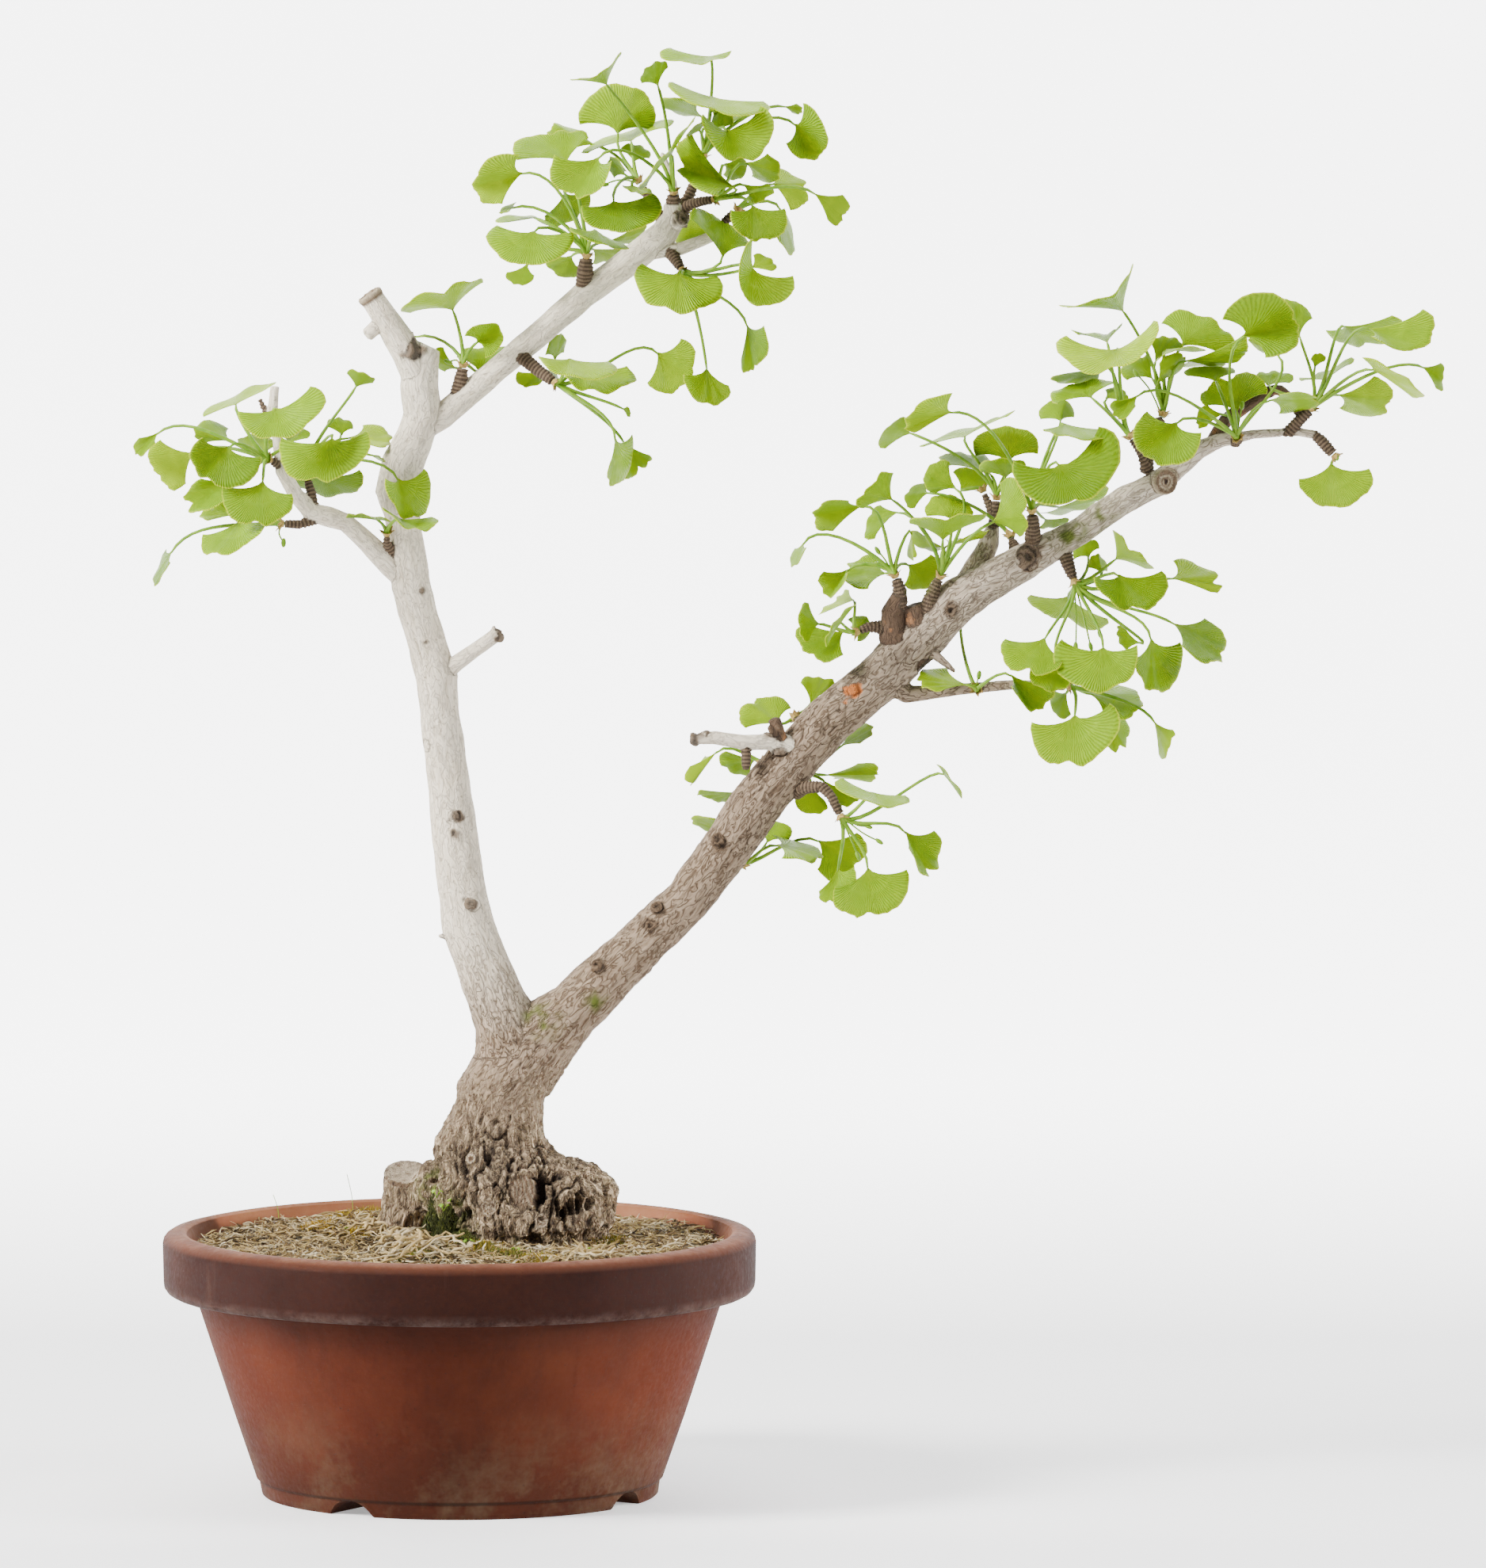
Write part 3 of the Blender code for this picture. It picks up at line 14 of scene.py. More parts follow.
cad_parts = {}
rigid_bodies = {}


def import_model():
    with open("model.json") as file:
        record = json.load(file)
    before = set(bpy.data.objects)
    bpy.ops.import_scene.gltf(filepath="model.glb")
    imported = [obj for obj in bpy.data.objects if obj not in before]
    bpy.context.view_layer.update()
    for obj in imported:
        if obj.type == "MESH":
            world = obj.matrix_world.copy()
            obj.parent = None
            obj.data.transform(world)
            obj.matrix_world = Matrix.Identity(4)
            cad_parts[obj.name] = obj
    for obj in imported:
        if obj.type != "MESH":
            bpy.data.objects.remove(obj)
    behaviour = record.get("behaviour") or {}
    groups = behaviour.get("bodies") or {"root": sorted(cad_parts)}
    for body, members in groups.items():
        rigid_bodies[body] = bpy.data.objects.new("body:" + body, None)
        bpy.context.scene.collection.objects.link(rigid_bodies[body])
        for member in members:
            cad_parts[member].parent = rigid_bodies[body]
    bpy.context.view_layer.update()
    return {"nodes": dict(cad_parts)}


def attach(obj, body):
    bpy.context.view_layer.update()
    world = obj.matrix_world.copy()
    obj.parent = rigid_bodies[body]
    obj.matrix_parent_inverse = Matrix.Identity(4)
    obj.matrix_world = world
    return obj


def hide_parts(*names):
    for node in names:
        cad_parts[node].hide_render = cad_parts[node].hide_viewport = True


bl_info = {
    "name": "Ginkgo Bonsai",
    "version": (1, 0, 0),
    "blender": (4, 5, 0),
    "location": "View3D > Sidebar > Bonsai",
    "description": "Builds a ginkgo bonsai in a round terracotta pot: pot, soil, wood and leaves",
    "category": "Object",
}

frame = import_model()
NODES = frame["nodes"]

MM = 0.001

# The noise vectors that bend cracks and dead roots would follow the clock without this seed
NOISE_SEED = 7
noise.seed_set(NOISE_SEED)

# The picture that places are measured in: a distant eye, looking a little down
EYE = Vector((0.167, -8.0, 1.124))
LOOK_DOWN = math.radians(5.03)
MIDDLE_COLUMN = 938.0
MIDDLE_ROW = 989.5
FOCAL_LENGTH_IN_COLUMNS = 17246.0
PICTURE_ROWS = 1979
SENSOR = 36.0

# Leaf shape, as in the parts
TIP_TO_MIDDLE = 0.93
OPEN_ENOUGH = 0.6
WAVE_DEPTH = 0.04
WAVES = 3.3
CLEFT_DEPTH = 0.16
LARGE_LEAF = 22
SHIFT_STEP = 0.0025
SHIFT_STEPS = 14
HEART_GAP = 0.0003
HEART_LENGTH = 0.0042
HEART_RADII = (0.0019, 0.0022, 0.0017, 0.0007)
CLUB_STALK_RADIUS = 0.0005
CLUB_RADIUS = 0.0019
FLARE = 0.35
CORNER = 0.20
WIDER = 1.16
BLADE_COLUMNS = 28
BLADE_ROWS = 7
SMALL_BLADE_COLUMNS = 16
SMALL_BLADE_ROWS = 4
INNER_VEINS = 150.0
OUTER_VEINS = 300.0
STALK = 1
SCALE = 2
SCALES_ROUND_A_HEART = 7

# Soil surface, as in the parts
SOIL_EDGE_HEIGHT = 0.1455
SOIL_INNER_RISE = 0.0018
SOIL_MOUND = 0.0050
SOIL_MOUND_PLACE = (0.005, 0.004)
SOIL_MOUND_SPREAD = 0.075
SOIL_RADIUS = 0.1565
CRUST_THICKNESS = 0.0012
CRUST_EDGE_START = 0.135
CRUST_EDGE_WIDTH = 0.022
CRUST_EDGE_DROP = 0.0022
CRUST_NOISE = ((28, 0, 0.0016), (70, 0.3, 0.0026), (190, 0.7, 0.0014))
BURL_MIDDLE = (0.0385, 0.0)
BURL_REACH = (0.050, 0.042)
CRUST_STEPS = 130
CRUST_SHELL = 0.004
SOIL_LEVEL = 0.150
WALL_GAP = 0.0008
STRANDS_ON_A_LINE = 6
FIBRE_KINDS = 24

# Pot profile, as in the parts
POT_SIDES = 144
RIM_RADIUS = 0.175
RIM_INNER_RADIUS = 0.1605
POT_HEIGHT = 0.156
BAND_BOTTOM = 0.120
BODY_TOP_RADIUS = 0.1565
BODY_BOTTOM_RADIUS = 0.1202
FOOT_RADIUS = 0.117
FOOT_HEIGHT = 0.009
FLOOR_THICKNESS = 0.018
INNER_TOP_RADIUS = 0.158
INNER_TOP_HEIGHT = 0.146
INNER_BOTTOM_RADIUS = 0.110
INNER_BOTTOM_HEIGHT = 0.021
DRAIN_COUNT = 4
DRAIN_FIRST_ANGLE = math.radians(-32)
DRAIN_HOLE_RADIUS = 0.010
DRAIN_HOLE_PLACE = 0.062
CHANNEL_RADIUS = 0.017
CHANNEL_CENTRE_DROP = 0.0076

# Wood
STUMP_FOOT = (-0.0330, 0.0160)
STUMP_RADIUS = 0.0125
STUMP_REACH = 0.0185
STUMP_FADE = 0.003
STUMP_LEAN = 0.42
FOOT_FRONT = -36
FOOT_UNEVEN = 0.010
FOOT_FADE = 0.055
KNOB_HEIGHT = 0.0032
FLAKE_HEIGHT = 0.0016
CHIP_HEIGHT = 0.0012
DEEP_CREASE = 0.0034
FINE_CREASE = 0.0014
LIMB_STEP = 0.0018
LIMB_SHIFT = 0.317
NEAREST_AT_ONCE = 3000
HOLLOWS_IN_FRONT_OF = -0.008
PALE_FROM = 0.72
PALE_FADE = 0.26
LOW_BARK_TOP = 0.345
LOW_BARK_FADE = 0.075
THIN_LIMB = 0.004
THICK_LIMB = 0.010
ROUND_FROM = 0.25
ROUND_FADE = 0.07
ROUND_BAND = 0.24
STREAK_HEIGHT = 0.00035
LUMP_HEIGHT = 0.0008
WRINKLE_HEIGHT = 0.00050
SPUR_RING_HEIGHT = 0.00042
SPUR_RING_WAVE = 2850.0
BURL_HOLLOWS = (
    # column, row, half the width, half the height and depth in metres
    (682, 1503, 0.0027, 0.0125, 0.0105), (688, 1486, 0.0044, 0.0032, 0.0085),
    (705, 1524, 0.0017, 0.0052, 0.0065), (713, 1530, 0.0021, 0.0042, 0.0075),
    (720, 1523, 0.0014, 0.0046, 0.0060), (730, 1516, 0.0016, 0.0056, 0.0065),
    (743, 1521, 0.0022, 0.0042, 0.0055), (764, 1509, 0.0016, 0.0070, 0.0045),
    (701, 1490, 0.0018, 0.0055, 0.0045), (590, 1542, 0.0026, 0.0060, 0.0045),
    (549, 1486, 0.0020, 0.0085, 0.0050), (616, 1462, 0.0014, 0.0030, 0.0040),
    (660, 1425, 0.0050, 0.0018, 0.0035), (628, 1418, 0.0045, 0.0016, 0.0035),
    (672, 1562, 0.0080, 0.0022, 0.0050), (650, 1474, 0.0036, 0.0014, 0.0040),
    (640, 1440, 0.0016, 0.0044, 0.0040), (726, 1462, 0.0050, 0.0014, 0.0036))
RING, KNOT, CHIP, SAWN, PLUG = range(5)
SCARS = (
    # column, row, depth in mm, radius in mm and kind: a pale ring, a rough knot, a raw chip,
    # the sawn top of the stump or a sunken grey plug
    (1473, 608, -17, 8.6, RING), (1298, 701, -12.5, 9.0, KNOT), (862, 275, 5, 6.2, KNOT),
    (513, 1479, 16, 15.5, SAWN), (617, 1524, -42, 4.6, RING), (466, 371, -6, 7.5, RING),
    (629, 799, -5, 5.0, KNOT), (873, 933, -20, 6.5, KNOT), (1200, 770, -11, 5.5, KNOT),
    (521, 444, -8, 7.5, KNOT), (905, 1061, -20, 6.0, KNOT), (828, 1144, -19, 5.5, KNOT),
    (752, 1217, -20, 5.5, KNOT), (577, 1029, -6.5, 5.0, KNOT), (574, 1054, -7, 4.0, KNOT),
    (596, 1141, -12.5, 4.5, KNOT), (583, 1134, -12, 3.6, KNOT), (820, 1168, -19, 5.0, KNOT),
    (1076, 870, -14, 6.5, CHIP), (541, 811, -8, 2.8, KNOT), (535, 745, -8, 2.6, KNOT),
    (664, 1502, -39, 9.5, PLUG), (592, 1460, -34, 4.5, RING), (684, 1541, -44, 4.0, RING),
    (975, 926, -12, 7.5, KNOT), (985, 948, -13, 6.0, KNOT), (889, 924, -20, 4.0, KNOT))
ROUGH_LIMBS = ("right_trunk", "knot_base", "knot_middle")
PALE_SIDE_END = 900
PALE_LIMBS = ("left_stub",)
PALE_BARK_ROUGHNESS = 0.12
DARK_LIMBS = ("dark_knob", "burnt_shard", "burnt_wall", "grey_cleft")

Leaf = namedtuple("Leaf", "base left middle right depth lean length")


class Rosette:
    """A head of leaves: the limb points of its spur and its leaves."""

    def __init__(self, spur, leaves):
        self.spur = spur
        self.leaves = [Leaf(row[0:2], row[2:4], row[4:6], row[6:8], *row[8:]) for row in leaves]


# Limbs of the wood. Each point is column, row, depth in mm and radius in mm.
LIMBS = {
    "left_trunk": (
        (648, 1318, 0, 22), (636, 1284, 0, 18.5), (622, 1251, 0, 16.6), (604, 1203, 2, 15.3),
        (591, 1171, 4, 15.6), (583, 1117, 6, 13.8), (575, 1060, 8, 13.5), (565, 980, 9, 12.3),
        (555, 894, 8, 11.6), (551, 854, 7, 12.5), (540, 815, 6, 11.5), (526, 768, 4, 11.1),
        (519, 738, 2, 11.6), (512, 677, 0, 10.0), (506, 646, -1, 10.6), (503, 615, -2, 13.0),
        (508, 585, -2, 12.4), (523, 554, -1, 10.8), (533, 524, 0, 11.2), (529, 486, 0, 11.2),
        (531, 455, 1, 10.5), (540, 436, 2, 7.0)),
    "apex": (
        (529, 478, 0, 10.0), (514, 446, -3, 9.2), (492, 409, -5, 8.0), (466, 371, -6, 6.8)),
    "apex_knob": ((478, 410, -5, 4.5), (462, 424, -8, 4.2)),
    "side_stub": (
        (556, 852, 6, 6.5), (575, 838, 2, 5.0), (600, 820, -2, 4.3), (630, 799, -5, 4.3)),
    "trunk_knob": ((555, 940, 6, 4.5), (537, 940, 3, 4.3)),
    "trunk_spike": ((575, 1184, 2, 2.6), (552, 1181, 0, 1.4)),
    "far_left_branch": (
        (509, 726, 2, 8.0), (493, 713, 0, 7.4), (466, 686, -3, 6.1), (436, 659, -6, 5.4),
        (414, 652, -8, 6.2), (393, 646, -9, 5.3), (374, 625, -11, 4.7), (356, 594, -14, 4.1),
        (350, 554, -15, 2.9), (344, 522, -15, 3.4), (347, 487, -16, 2.7)),
    "far_left_nub": ((347, 542, -15, 2.4), (327, 503, -13, 1.7)),
    "upper_arm": (
        (536, 536, 0, 8.5), (560, 524, 2, 7.6), (600, 490, 5, 7.4), (640, 456, 8, 7.3),
        (679, 423, 10, 7.4), (738, 372, 12, 8.0), (797, 328, 14, 8.4), (837, 297, 15, 8.2),
        (851, 275, 15, 6.8), (850, 258, 14, 5.6)),
    "upper_arm_scar": ((853, 281, 12, 5.2), (862, 275, 5, 4.7)),
    "crown_limb": (
        (826, 318, 14, 4.6), (860, 314, 12, 3.9), (896, 300, 12, 3.3), (907, 290, 12, 3.0)),
    "crown_twig": ((854, 268, 18, 3.6), (849, 230, 24, 2.6), (835, 192, 28, 1.9)),
    "right_trunk": (
        (652, 1352, 0, 24), (684, 1312, -1, 22), (722, 1276, -3, 17.4), (766, 1233, -4, 15.9),
        (815, 1186, -5, 14.6), (865, 1138, -6, 13.8), (910, 1081, -5, 14.6), (952, 1019, -4, 15.3),
        (1000, 960, -2, 15.2), (1048, 908, 0, 14.9), (1120, 848, 3, 14.2), (1160, 806, 4, 14.6),
        (1209, 758, 4, 13.1), (1286, 713, 0, 10.7), (1322, 693, -3, 9.2), (1362, 671, -6, 8.3),
        (1420, 631, -8, 7.9), (1462, 610, -8, 7.4), (1490, 586, -6, 6.6), (1512, 568, -4, 5.6),
        (1540, 556, -1, 4.2), (1583, 548, 0, 2.7), (1638, 545, 2, 2.4), (1662, 549, 2, 2.8)),
    "left_stub": (
        (998, 944, -8, 8.0), (974, 937, -13, 4.8), (940, 937, -17, 4.4), (902, 931, -19, 4.0),
        (873, 933, -20, 3.2)),
    "left_stub_spur": ((942, 941, -17, 3.2), (942, 971, -18, 2.8)),
    "dark_knob": ((989, 962, -9, 5.0), (984, 932, -12, 4.6), (977, 906, -13, 3.6)),
    "chip_scar": ((1082, 873, 2, 7.0), (1076, 870, -14, 3.4)),
    "burnt_shard": (
        (1152, 826, 3, 12), (1128, 800, 0, 8.5), (1127, 772, -4, 6.6), (1137, 750, -7, 4.6)),
    "burnt_wall": ((1166, 812, 3, 11), (1158, 784, -1, 8.0), (1151, 764, -2, 6.4)),
    "back_branch": (
        (1204, 762, 4, 9.5), (1222, 735, 12, 8.0), (1240, 704, 18, 6.8), (1248, 686, 20, 6.0),
        (1254, 664, 23, 3.8)),
    "scar_upper": ((1297, 704, -6, 7.4), (1298, 701, -12.5, 6.9)),
    "scar_end": ((1464, 608, -10, 7.0), (1473, 608, -17, 6.9)),
    "grey_cleft": (
        (1530, 560, 2, 4.4), (1546, 532, 10, 4.4), (1572, 512, 13, 4.3), (1598, 496, 12, 3.9),
        (1614, 491, 10, 3.5), (1631, 504, 6, 3.0), (1639, 522, 2, 2.6)),
    "lower_branch": (
        (1118, 856, 2, 9.5), (1146, 876, 2, 5.2), (1175, 874, 2, 4.0), (1210, 870, 0, 3.5),
        (1278, 864, -2, 2.9), (1346, 866, -5, 2.8)),
    "dry_twig": ((1160, 812, 2, 5.5), (1181, 827, -4, 3.0), (1206, 848, -10, 1.5)),
    "knot_low": ((912, 1066, -8, 6.5), (905, 1061, -20, 3.0)),
    "knot_middle": ((836, 1152, -8, 5.5), (828, 1144, -19, 2.8)),
    "knot_base": ((760, 1226, -8, 5.5), (752, 1217, -20, 2.8)),
    "knot_left": ((574, 1032, 2, 5.0), (572, 1029, -6.5, 2.6)),
    "knot_left_low": ((597, 1142, 0, 6.0), (596, 1141, -12.5, 3.0)),
}

# Each head of leaves: the short spur that carries it, as the limbs are given, and its leaves.
# A leaf's row holds column and row of its base, of its left end, of the middle of its outer edge and
# of its right end, then its depth in mm from its spur's tip, 1 where it leans away from the viewer and
# -1 where it leans towards, and its blade's length in mm.
ROSETTES = {
    "left_tip": Rosette(
        ((354, 588, -15, 3.2), (346, 583, -18, 2.4), (342, 581, -20, 2.2)), (
        (297, 511, 256, 525, 303, 500, 346, 487, 6, 1, 25),
        (292, 557, 252, 556, 250, 541, 280, 538, 10, 1, 20),
        (201, 545, 170, 557, 174, 571, 192, 562, 4, -1, 15),
        (246, 570, 194, 560, 202, 600, 228, 616, 12, 1, 24),
        (290, 562, 246, 560, 262, 603, 330, 587, -14, -1, 25),
        (302, 604, 246, 610, 240, 636, 278, 634, 3, -1, 27),
        (335, 575, 300, 562, 318, 555, 345, 562, 16, 1, 19),
        (332, 606, 279, 624, 325, 658, 370, 633, -20, -1, 26),
        (348, 515, 303, 527, 355, 546, 404, 493, -24, -1, 28),
        (365, 560, 357, 552, 372, 545, 391, 551, 18, 1, 15))),
    "left_low": Rosette(
        ((396, 656, -9, 3.2), (378, 662, -11, 2.7), (359, 661, -13, 2.5)), (
        (304, 655, 254, 685, 285, 695, 337, 661, -10, -1, 27),
        (300, 650, 256, 658, 268, 643, 282, 634, 10, 1, 22),
        (218, 694, 203, 703, 196, 735, 210, 715, 0, 1, 20))),
    "left_middle": Rosette(
        ((396, 646, -9, 3.6), (393, 622, -7, 3.1), (388, 604, -5, 2.4)), (
        (420, 552, 351, 567, 400, 601, 468, 553, -26, -1, 29),
        (405, 598, 372, 612, 420, 628, 458, 603, 8, 1, 23),
        (440, 552, 468, 540, 492, 556, 470, 562, 8, 1, 24),
        (432, 550, 412, 536, 425, 530, 445, 537, 14, 1, 14),
        (449, 489, 439, 468, 458, 471, 473, 481, -2, -1, 14),
        (502, 603, 490, 612, 517, 648, 541, 604, -24, -1, 24),
        (470, 574, 478, 574, 484, 579, 474, 579, -6, -1, 8))),
    "left_inner": Rosette(
        ((497, 698, -4, 3.2), (488, 686, -9, 2.4), (488, 676, -12, 2.0)), (
        (478, 657, 439, 651, 455, 645, 493, 653, -4, -1, 20),
        (505, 655, 486, 641, 525, 665, 551, 655, -16, -1, 24))),
    "fork_stub": Rosette(
        ((578, 496, 3, 4.6), (582, 477, 2, 4.0), (584, 465, 2, 3.2)), (
        (572, 392, 509, 391, 560, 362, 608, 351, 0, -1, 29),
        (602, 432, 591, 416, 630, 414, 622, 446, -6, -1, 17),
        (605, 470, 578, 447, 612, 441, 640, 444, 14, 1, 20),
        (577, 466, 556, 468, 550, 450, 556, 438, 12, 1, 14),
        (528, 424, 513, 422, 513, 430, 521, 431, 20, 1, 9))),
    "arm_under": Rosette(
        ((660, 452, 4, 4.2), (680, 468, -2, 3.5), (698, 481, -7, 3.2)), (
        (719, 452, 681, 452, 728, 473, 776, 461, -14, -1, 28),
        (735, 460, 716, 478, 757, 489, 800, 471, 8, -1, 29),
        (700, 455, 690, 440, 708, 424, 714, 440, 32, 1, 15),
        (684, 468, 652, 472, 662, 485, 682, 482, 26, -1, 17),
        (829, 444, 824, 489, 862, 482, 870, 432, -4, -1, 24),
        (777, 552, 770, 590, 775, 607, 800, 562, -8, -1, 26),
        (787, 557, 787, 602, 805, 592, 821, 579, 2, 1, 22),
        (785, 515, 793, 513, 795, 520, 794, 526, 0, -1, 6))),
    "arm_upper": Rosette(
        ((738, 358, 10, 5.2), (739, 338, 6, 4.7), (740, 327, 5, 3.6)), (
        (674, 291, 618, 290, 662, 327, 724, 300, -22, -1, 27),
        (752, 290, 719, 290, 760, 306, 791, 313, -12, -1, 20),
        (722, 322, 690, 326, 706, 347, 732, 347, 10, 1, 17),
        (747, 314, 752, 335, 775, 325, 789, 315, 12, 1, 22),
        (765, 305, 812, 284, 806, 303, 785, 312, 18, 1, 22),
        (712, 243, 745, 248, 722, 275, 687, 279, 14, 1, 20),
        (675, 275, 628, 282, 660, 276, 690, 287, 4, 1, 24),
        (650, 261, 648, 257, 632, 268, 640, 267, 0, -1, 9),
        (666, 332, 639, 348, 655, 357, 673, 351, -4, -1, 13),
        (716, 206, 647, 196, 697, 172, 740, 172, 8, 1, 30),
        (661, 218, 643, 193, 604, 236, 624, 259, 0, -1, 28))),
    "crown_end": Rosette(
        ((850, 262, 14, 5.0), (850, 252, 13, 4.4), (850, 246, 12, 3.6)), (
        (766, 107, 720, 98, 757, 92, 783, 64, -6, -1, 25),
        (848, 195, 808, 237, 839, 188, 877, 147, -20, -1, 29),
        (831, 109, 808, 101, 822, 84, 841, 80, 0, 1, 17),
        (757, 197, 695, 208, 725, 245, 771, 214, -26, -1, 27))),
    "crown_left": Rosette(
        ((843, 287, 20, 4.5), (822, 256, 25, 3.0), (808, 232, 27, 2.3)), (
        (779, 170, 731, 145, 797, 115, 825, 154, 10, 1, 28),
        (797, 178, 734, 190, 789, 167, 847, 153, -12, 1, 28),
        (752, 183, 700, 190, 698, 165, 728, 163, 14, 1, 26),
        (774, 253, 734, 267, 785, 288, 833, 250, -38, -1, 27),
        (800, 205, 785, 186, 805, 185, 821, 196, 8, 1, 18),
        (790, 222, 771, 221, 772, 200, 788, 210, 12, 1, 13),
        (797, 233, 787, 236, 805, 243, 822, 242, -8, -1, 14))),
    "crown_top": Rosette(
        ((860, 272, 18, 4.2), (876, 232, 23, 3.0), (886, 201, 25, 2.4)), (
        (895, 71, 837, 64, 880, 79, 921, 66, 0, -1, 26),
        (900, 122, 845, 106, 902, 136, 971, 133, -12, -1, 31),
        (889, 148, 858, 147, 839, 135, 872, 126, 8, 1, 25),
        (890, 160, 910, 134, 942, 148, 910, 160, 12, 1, 26),
        (902, 168, 900, 148, 915, 141, 926, 153, 6, 1, 14),
        (917, 163, 886, 154, 935, 200, 971, 146, -26, -1, 25),
        (884, 165, 866, 172, 878, 158, 893, 150, -8, -1, 14),
        (1003, 156, 1023, 133, 1035, 192, 1000, 190, -4, -1, 24),
        (989, 134, 1008, 133, 1010, 141, 1003, 144, 6, 1, 14))),
    "crown_right": Rosette(
        ((862, 262, 14, 3.6), (882, 255, 6, 2.8), (899, 252, 0, 2.5)), (
        (914, 206, 918, 226, 938, 222, 938, 200, 8, 1, 17),
        (940, 205, 957, 228, 980, 222, 975, 196, 14, 1, 20),
        (938, 232, 950, 255, 962, 250, 975, 236, 4, -1, 17),
        (1027, 243, 1069, 251, 1063, 273, 1050, 283, -6, 1, 24),
        (950, 258, 923, 273, 962, 300, 995, 272, -16, -1, 22),
        (930, 238, 893, 241, 862, 208, 864, 173, -14, -1, 33))),
    "crown_back": Rosette(
        ((904, 294, 12, 3.0), (917, 278, 13, 2.8), (928, 267, 13, 2.3)), (
        (985, 262, 980, 290, 1001, 315, 996, 276, 6, 1, 26),
        (974, 232, 981, 217, 1016, 238, 1005, 265, 6, 1, 23),
        (900, 290, 870, 272, 855, 300, 880, 305, 14, 1, 21))),
    "crown_under": Rosette(
        ((846, 318, 12, 4.0), (855, 331, 6, 3.2), (860, 339, 2, 2.4)), (
        (858, 343, 803, 340, 850, 386, 911, 359, -14, -1, 27),
        (913, 326, 872, 268, 905, 280, 943, 306, -16, 1, 30),
        (951, 338, 943, 306, 942, 372, 1000, 363, -20, -1, 23),
        (948, 338, 955, 323, 973, 331, 977, 342, -10, 1, 14),
        (943, 409, 967, 418, 953, 460, 934, 462, -6, -1, 26),
        (892, 464, 864, 479, 897, 506, 921, 495, -4, -1, 21))),
    "front_low": Rosette(
        ((1004, 1000, -6, 4.6), (1016, 994, -14, 3.7), (1038, 993, -19, 3.4),
         (1050, 1006, -22, 3.0), (1060, 1027, -24, 2.6)), (
        (1142, 1048, 1149, 1078, 1172, 1100, 1183, 1062, 0, -1, 27),
        (1096, 1094, 1052, 1132, 1095, 1152, 1148, 1108, -4, -1, 28),
        (1058, 1096, 1033, 1130, 1052, 1133, 1080, 1099, 6, -1, 19),
        (1103, 1000, 1056, 984, 1112, 1013, 1148, 1007, -6, -1, 24),
        (1190, 976, 1186, 963, 1205, 985, 1214, 1007, -2, -1, 17))),
    "trunk_low": Rosette(
        ((920, 1082, 2, 4.0), (934, 1089, 12, 2.4)), (
        (1032, 1060, 1090, 1056, 1080, 1092, 1040, 1103, 6, -1, 26),
        (980, 1066, 985, 1058, 1033, 1079, 1000, 1078, -4, -1, 26),
        (968, 1064, 960, 1050, 978, 1042, 1000, 1054, 10, 1, 15))),
    "trunk_middle": Rosette(
        ((1000, 966, 4, 4.0), (1015, 974, 15, 2.4)), (
        (1040, 978, 1095, 966, 1104, 982, 1065, 990, 6, 1, 31),
        (1040, 985, 1083, 1003, 1066, 1014, 1052, 1010, -2, -1, 20),
        (1061, 942, 1075, 921, 1099, 921, 1092, 934, 0, 1, 19),
        (1025, 992, 1003, 1012, 1035, 1022, 1043, 1012, 4, -1, 16))),
    "trunk_back": Rosette(
        ((980, 982, 5, 4.5), (965, 966, 20, 2.6)), (
        (906, 947, 866, 974, 876, 987, 885, 965, 0, 1, 22),
        (955, 958, 912, 948, 920, 970, 943, 980, 8, 1, 21),
        (930, 1000, 884, 998, 895, 1010, 917, 1016, -2, 1, 23),
        (912, 1048, 890, 1050, 876, 1036, 903, 1031, 2, 1, 18))),
    "trunk_back_high": Rosette(
        ((1020, 925, 6, 4.5), (1006, 908, 22, 2.4)), (
        (985, 915, 936, 914, 950, 890, 993, 889, 0, 1, 24),
        (1023, 890, 1013, 857, 1035, 858, 1055, 862, 6, 1, 16))),
    "burnt_left": Rosette(
        ((1116, 792, -2, 4.4), (1097, 791, -5, 2.9), (1085, 796, -7, 2.3)), (
        (1079, 757, 1036, 777, 1055, 762, 1070, 749, 10, 1, 25),
        (1062, 786, 1079, 760, 1052, 783, 1042, 812, -12, -1, 20),
        (1034, 787, 1017, 760, 1011, 788, 1018, 808, -4, -1, 17),
        (1066, 796, 1010, 790, 1025, 822, 1058, 826, 5, -1, 26),
        (1078, 795, 1075, 781, 1097, 788, 1088, 810, 12, 1, 14))),
    "burnt_top": Rosette(
        ((1136, 762, -6, 4.8), (1136, 744, -8, 4.0), (1131, 730, -9, 3.0)), (
        (1091, 638, 1043, 673, 1033, 648, 1060, 630, -4, -1, 28),
        (1015, 684, 1001, 700, 1002, 712, 1016, 695, 0, -1, 15),
        (1071, 718, 1036, 728, 1046, 750, 1068, 728, 2, -1, 18),
        (1120, 724, 1085, 741, 1070, 720, 1100, 707, 14, 1, 25),
        (1146, 712, 1146, 743, 1175, 735, 1180, 705, 16, 1, 20),
        (1151, 670, 1146, 697, 1152, 702, 1156, 694, 2, -1, 16))),
    "burnt_right": Rosette(
        ((1168, 784, -1, 6.0), (1176, 750, -4, 4.0), (1185, 731, -5, 3.0)), (
        (1127, 631, 1083, 638, 1098, 612, 1123, 592, -10, -1, 23),
        (1190, 682, 1149, 655, 1195, 650, 1243, 653, -16, -1, 27),
        (1190, 690, 1153, 668, 1165, 692, 1185, 696, 3, 1, 18),
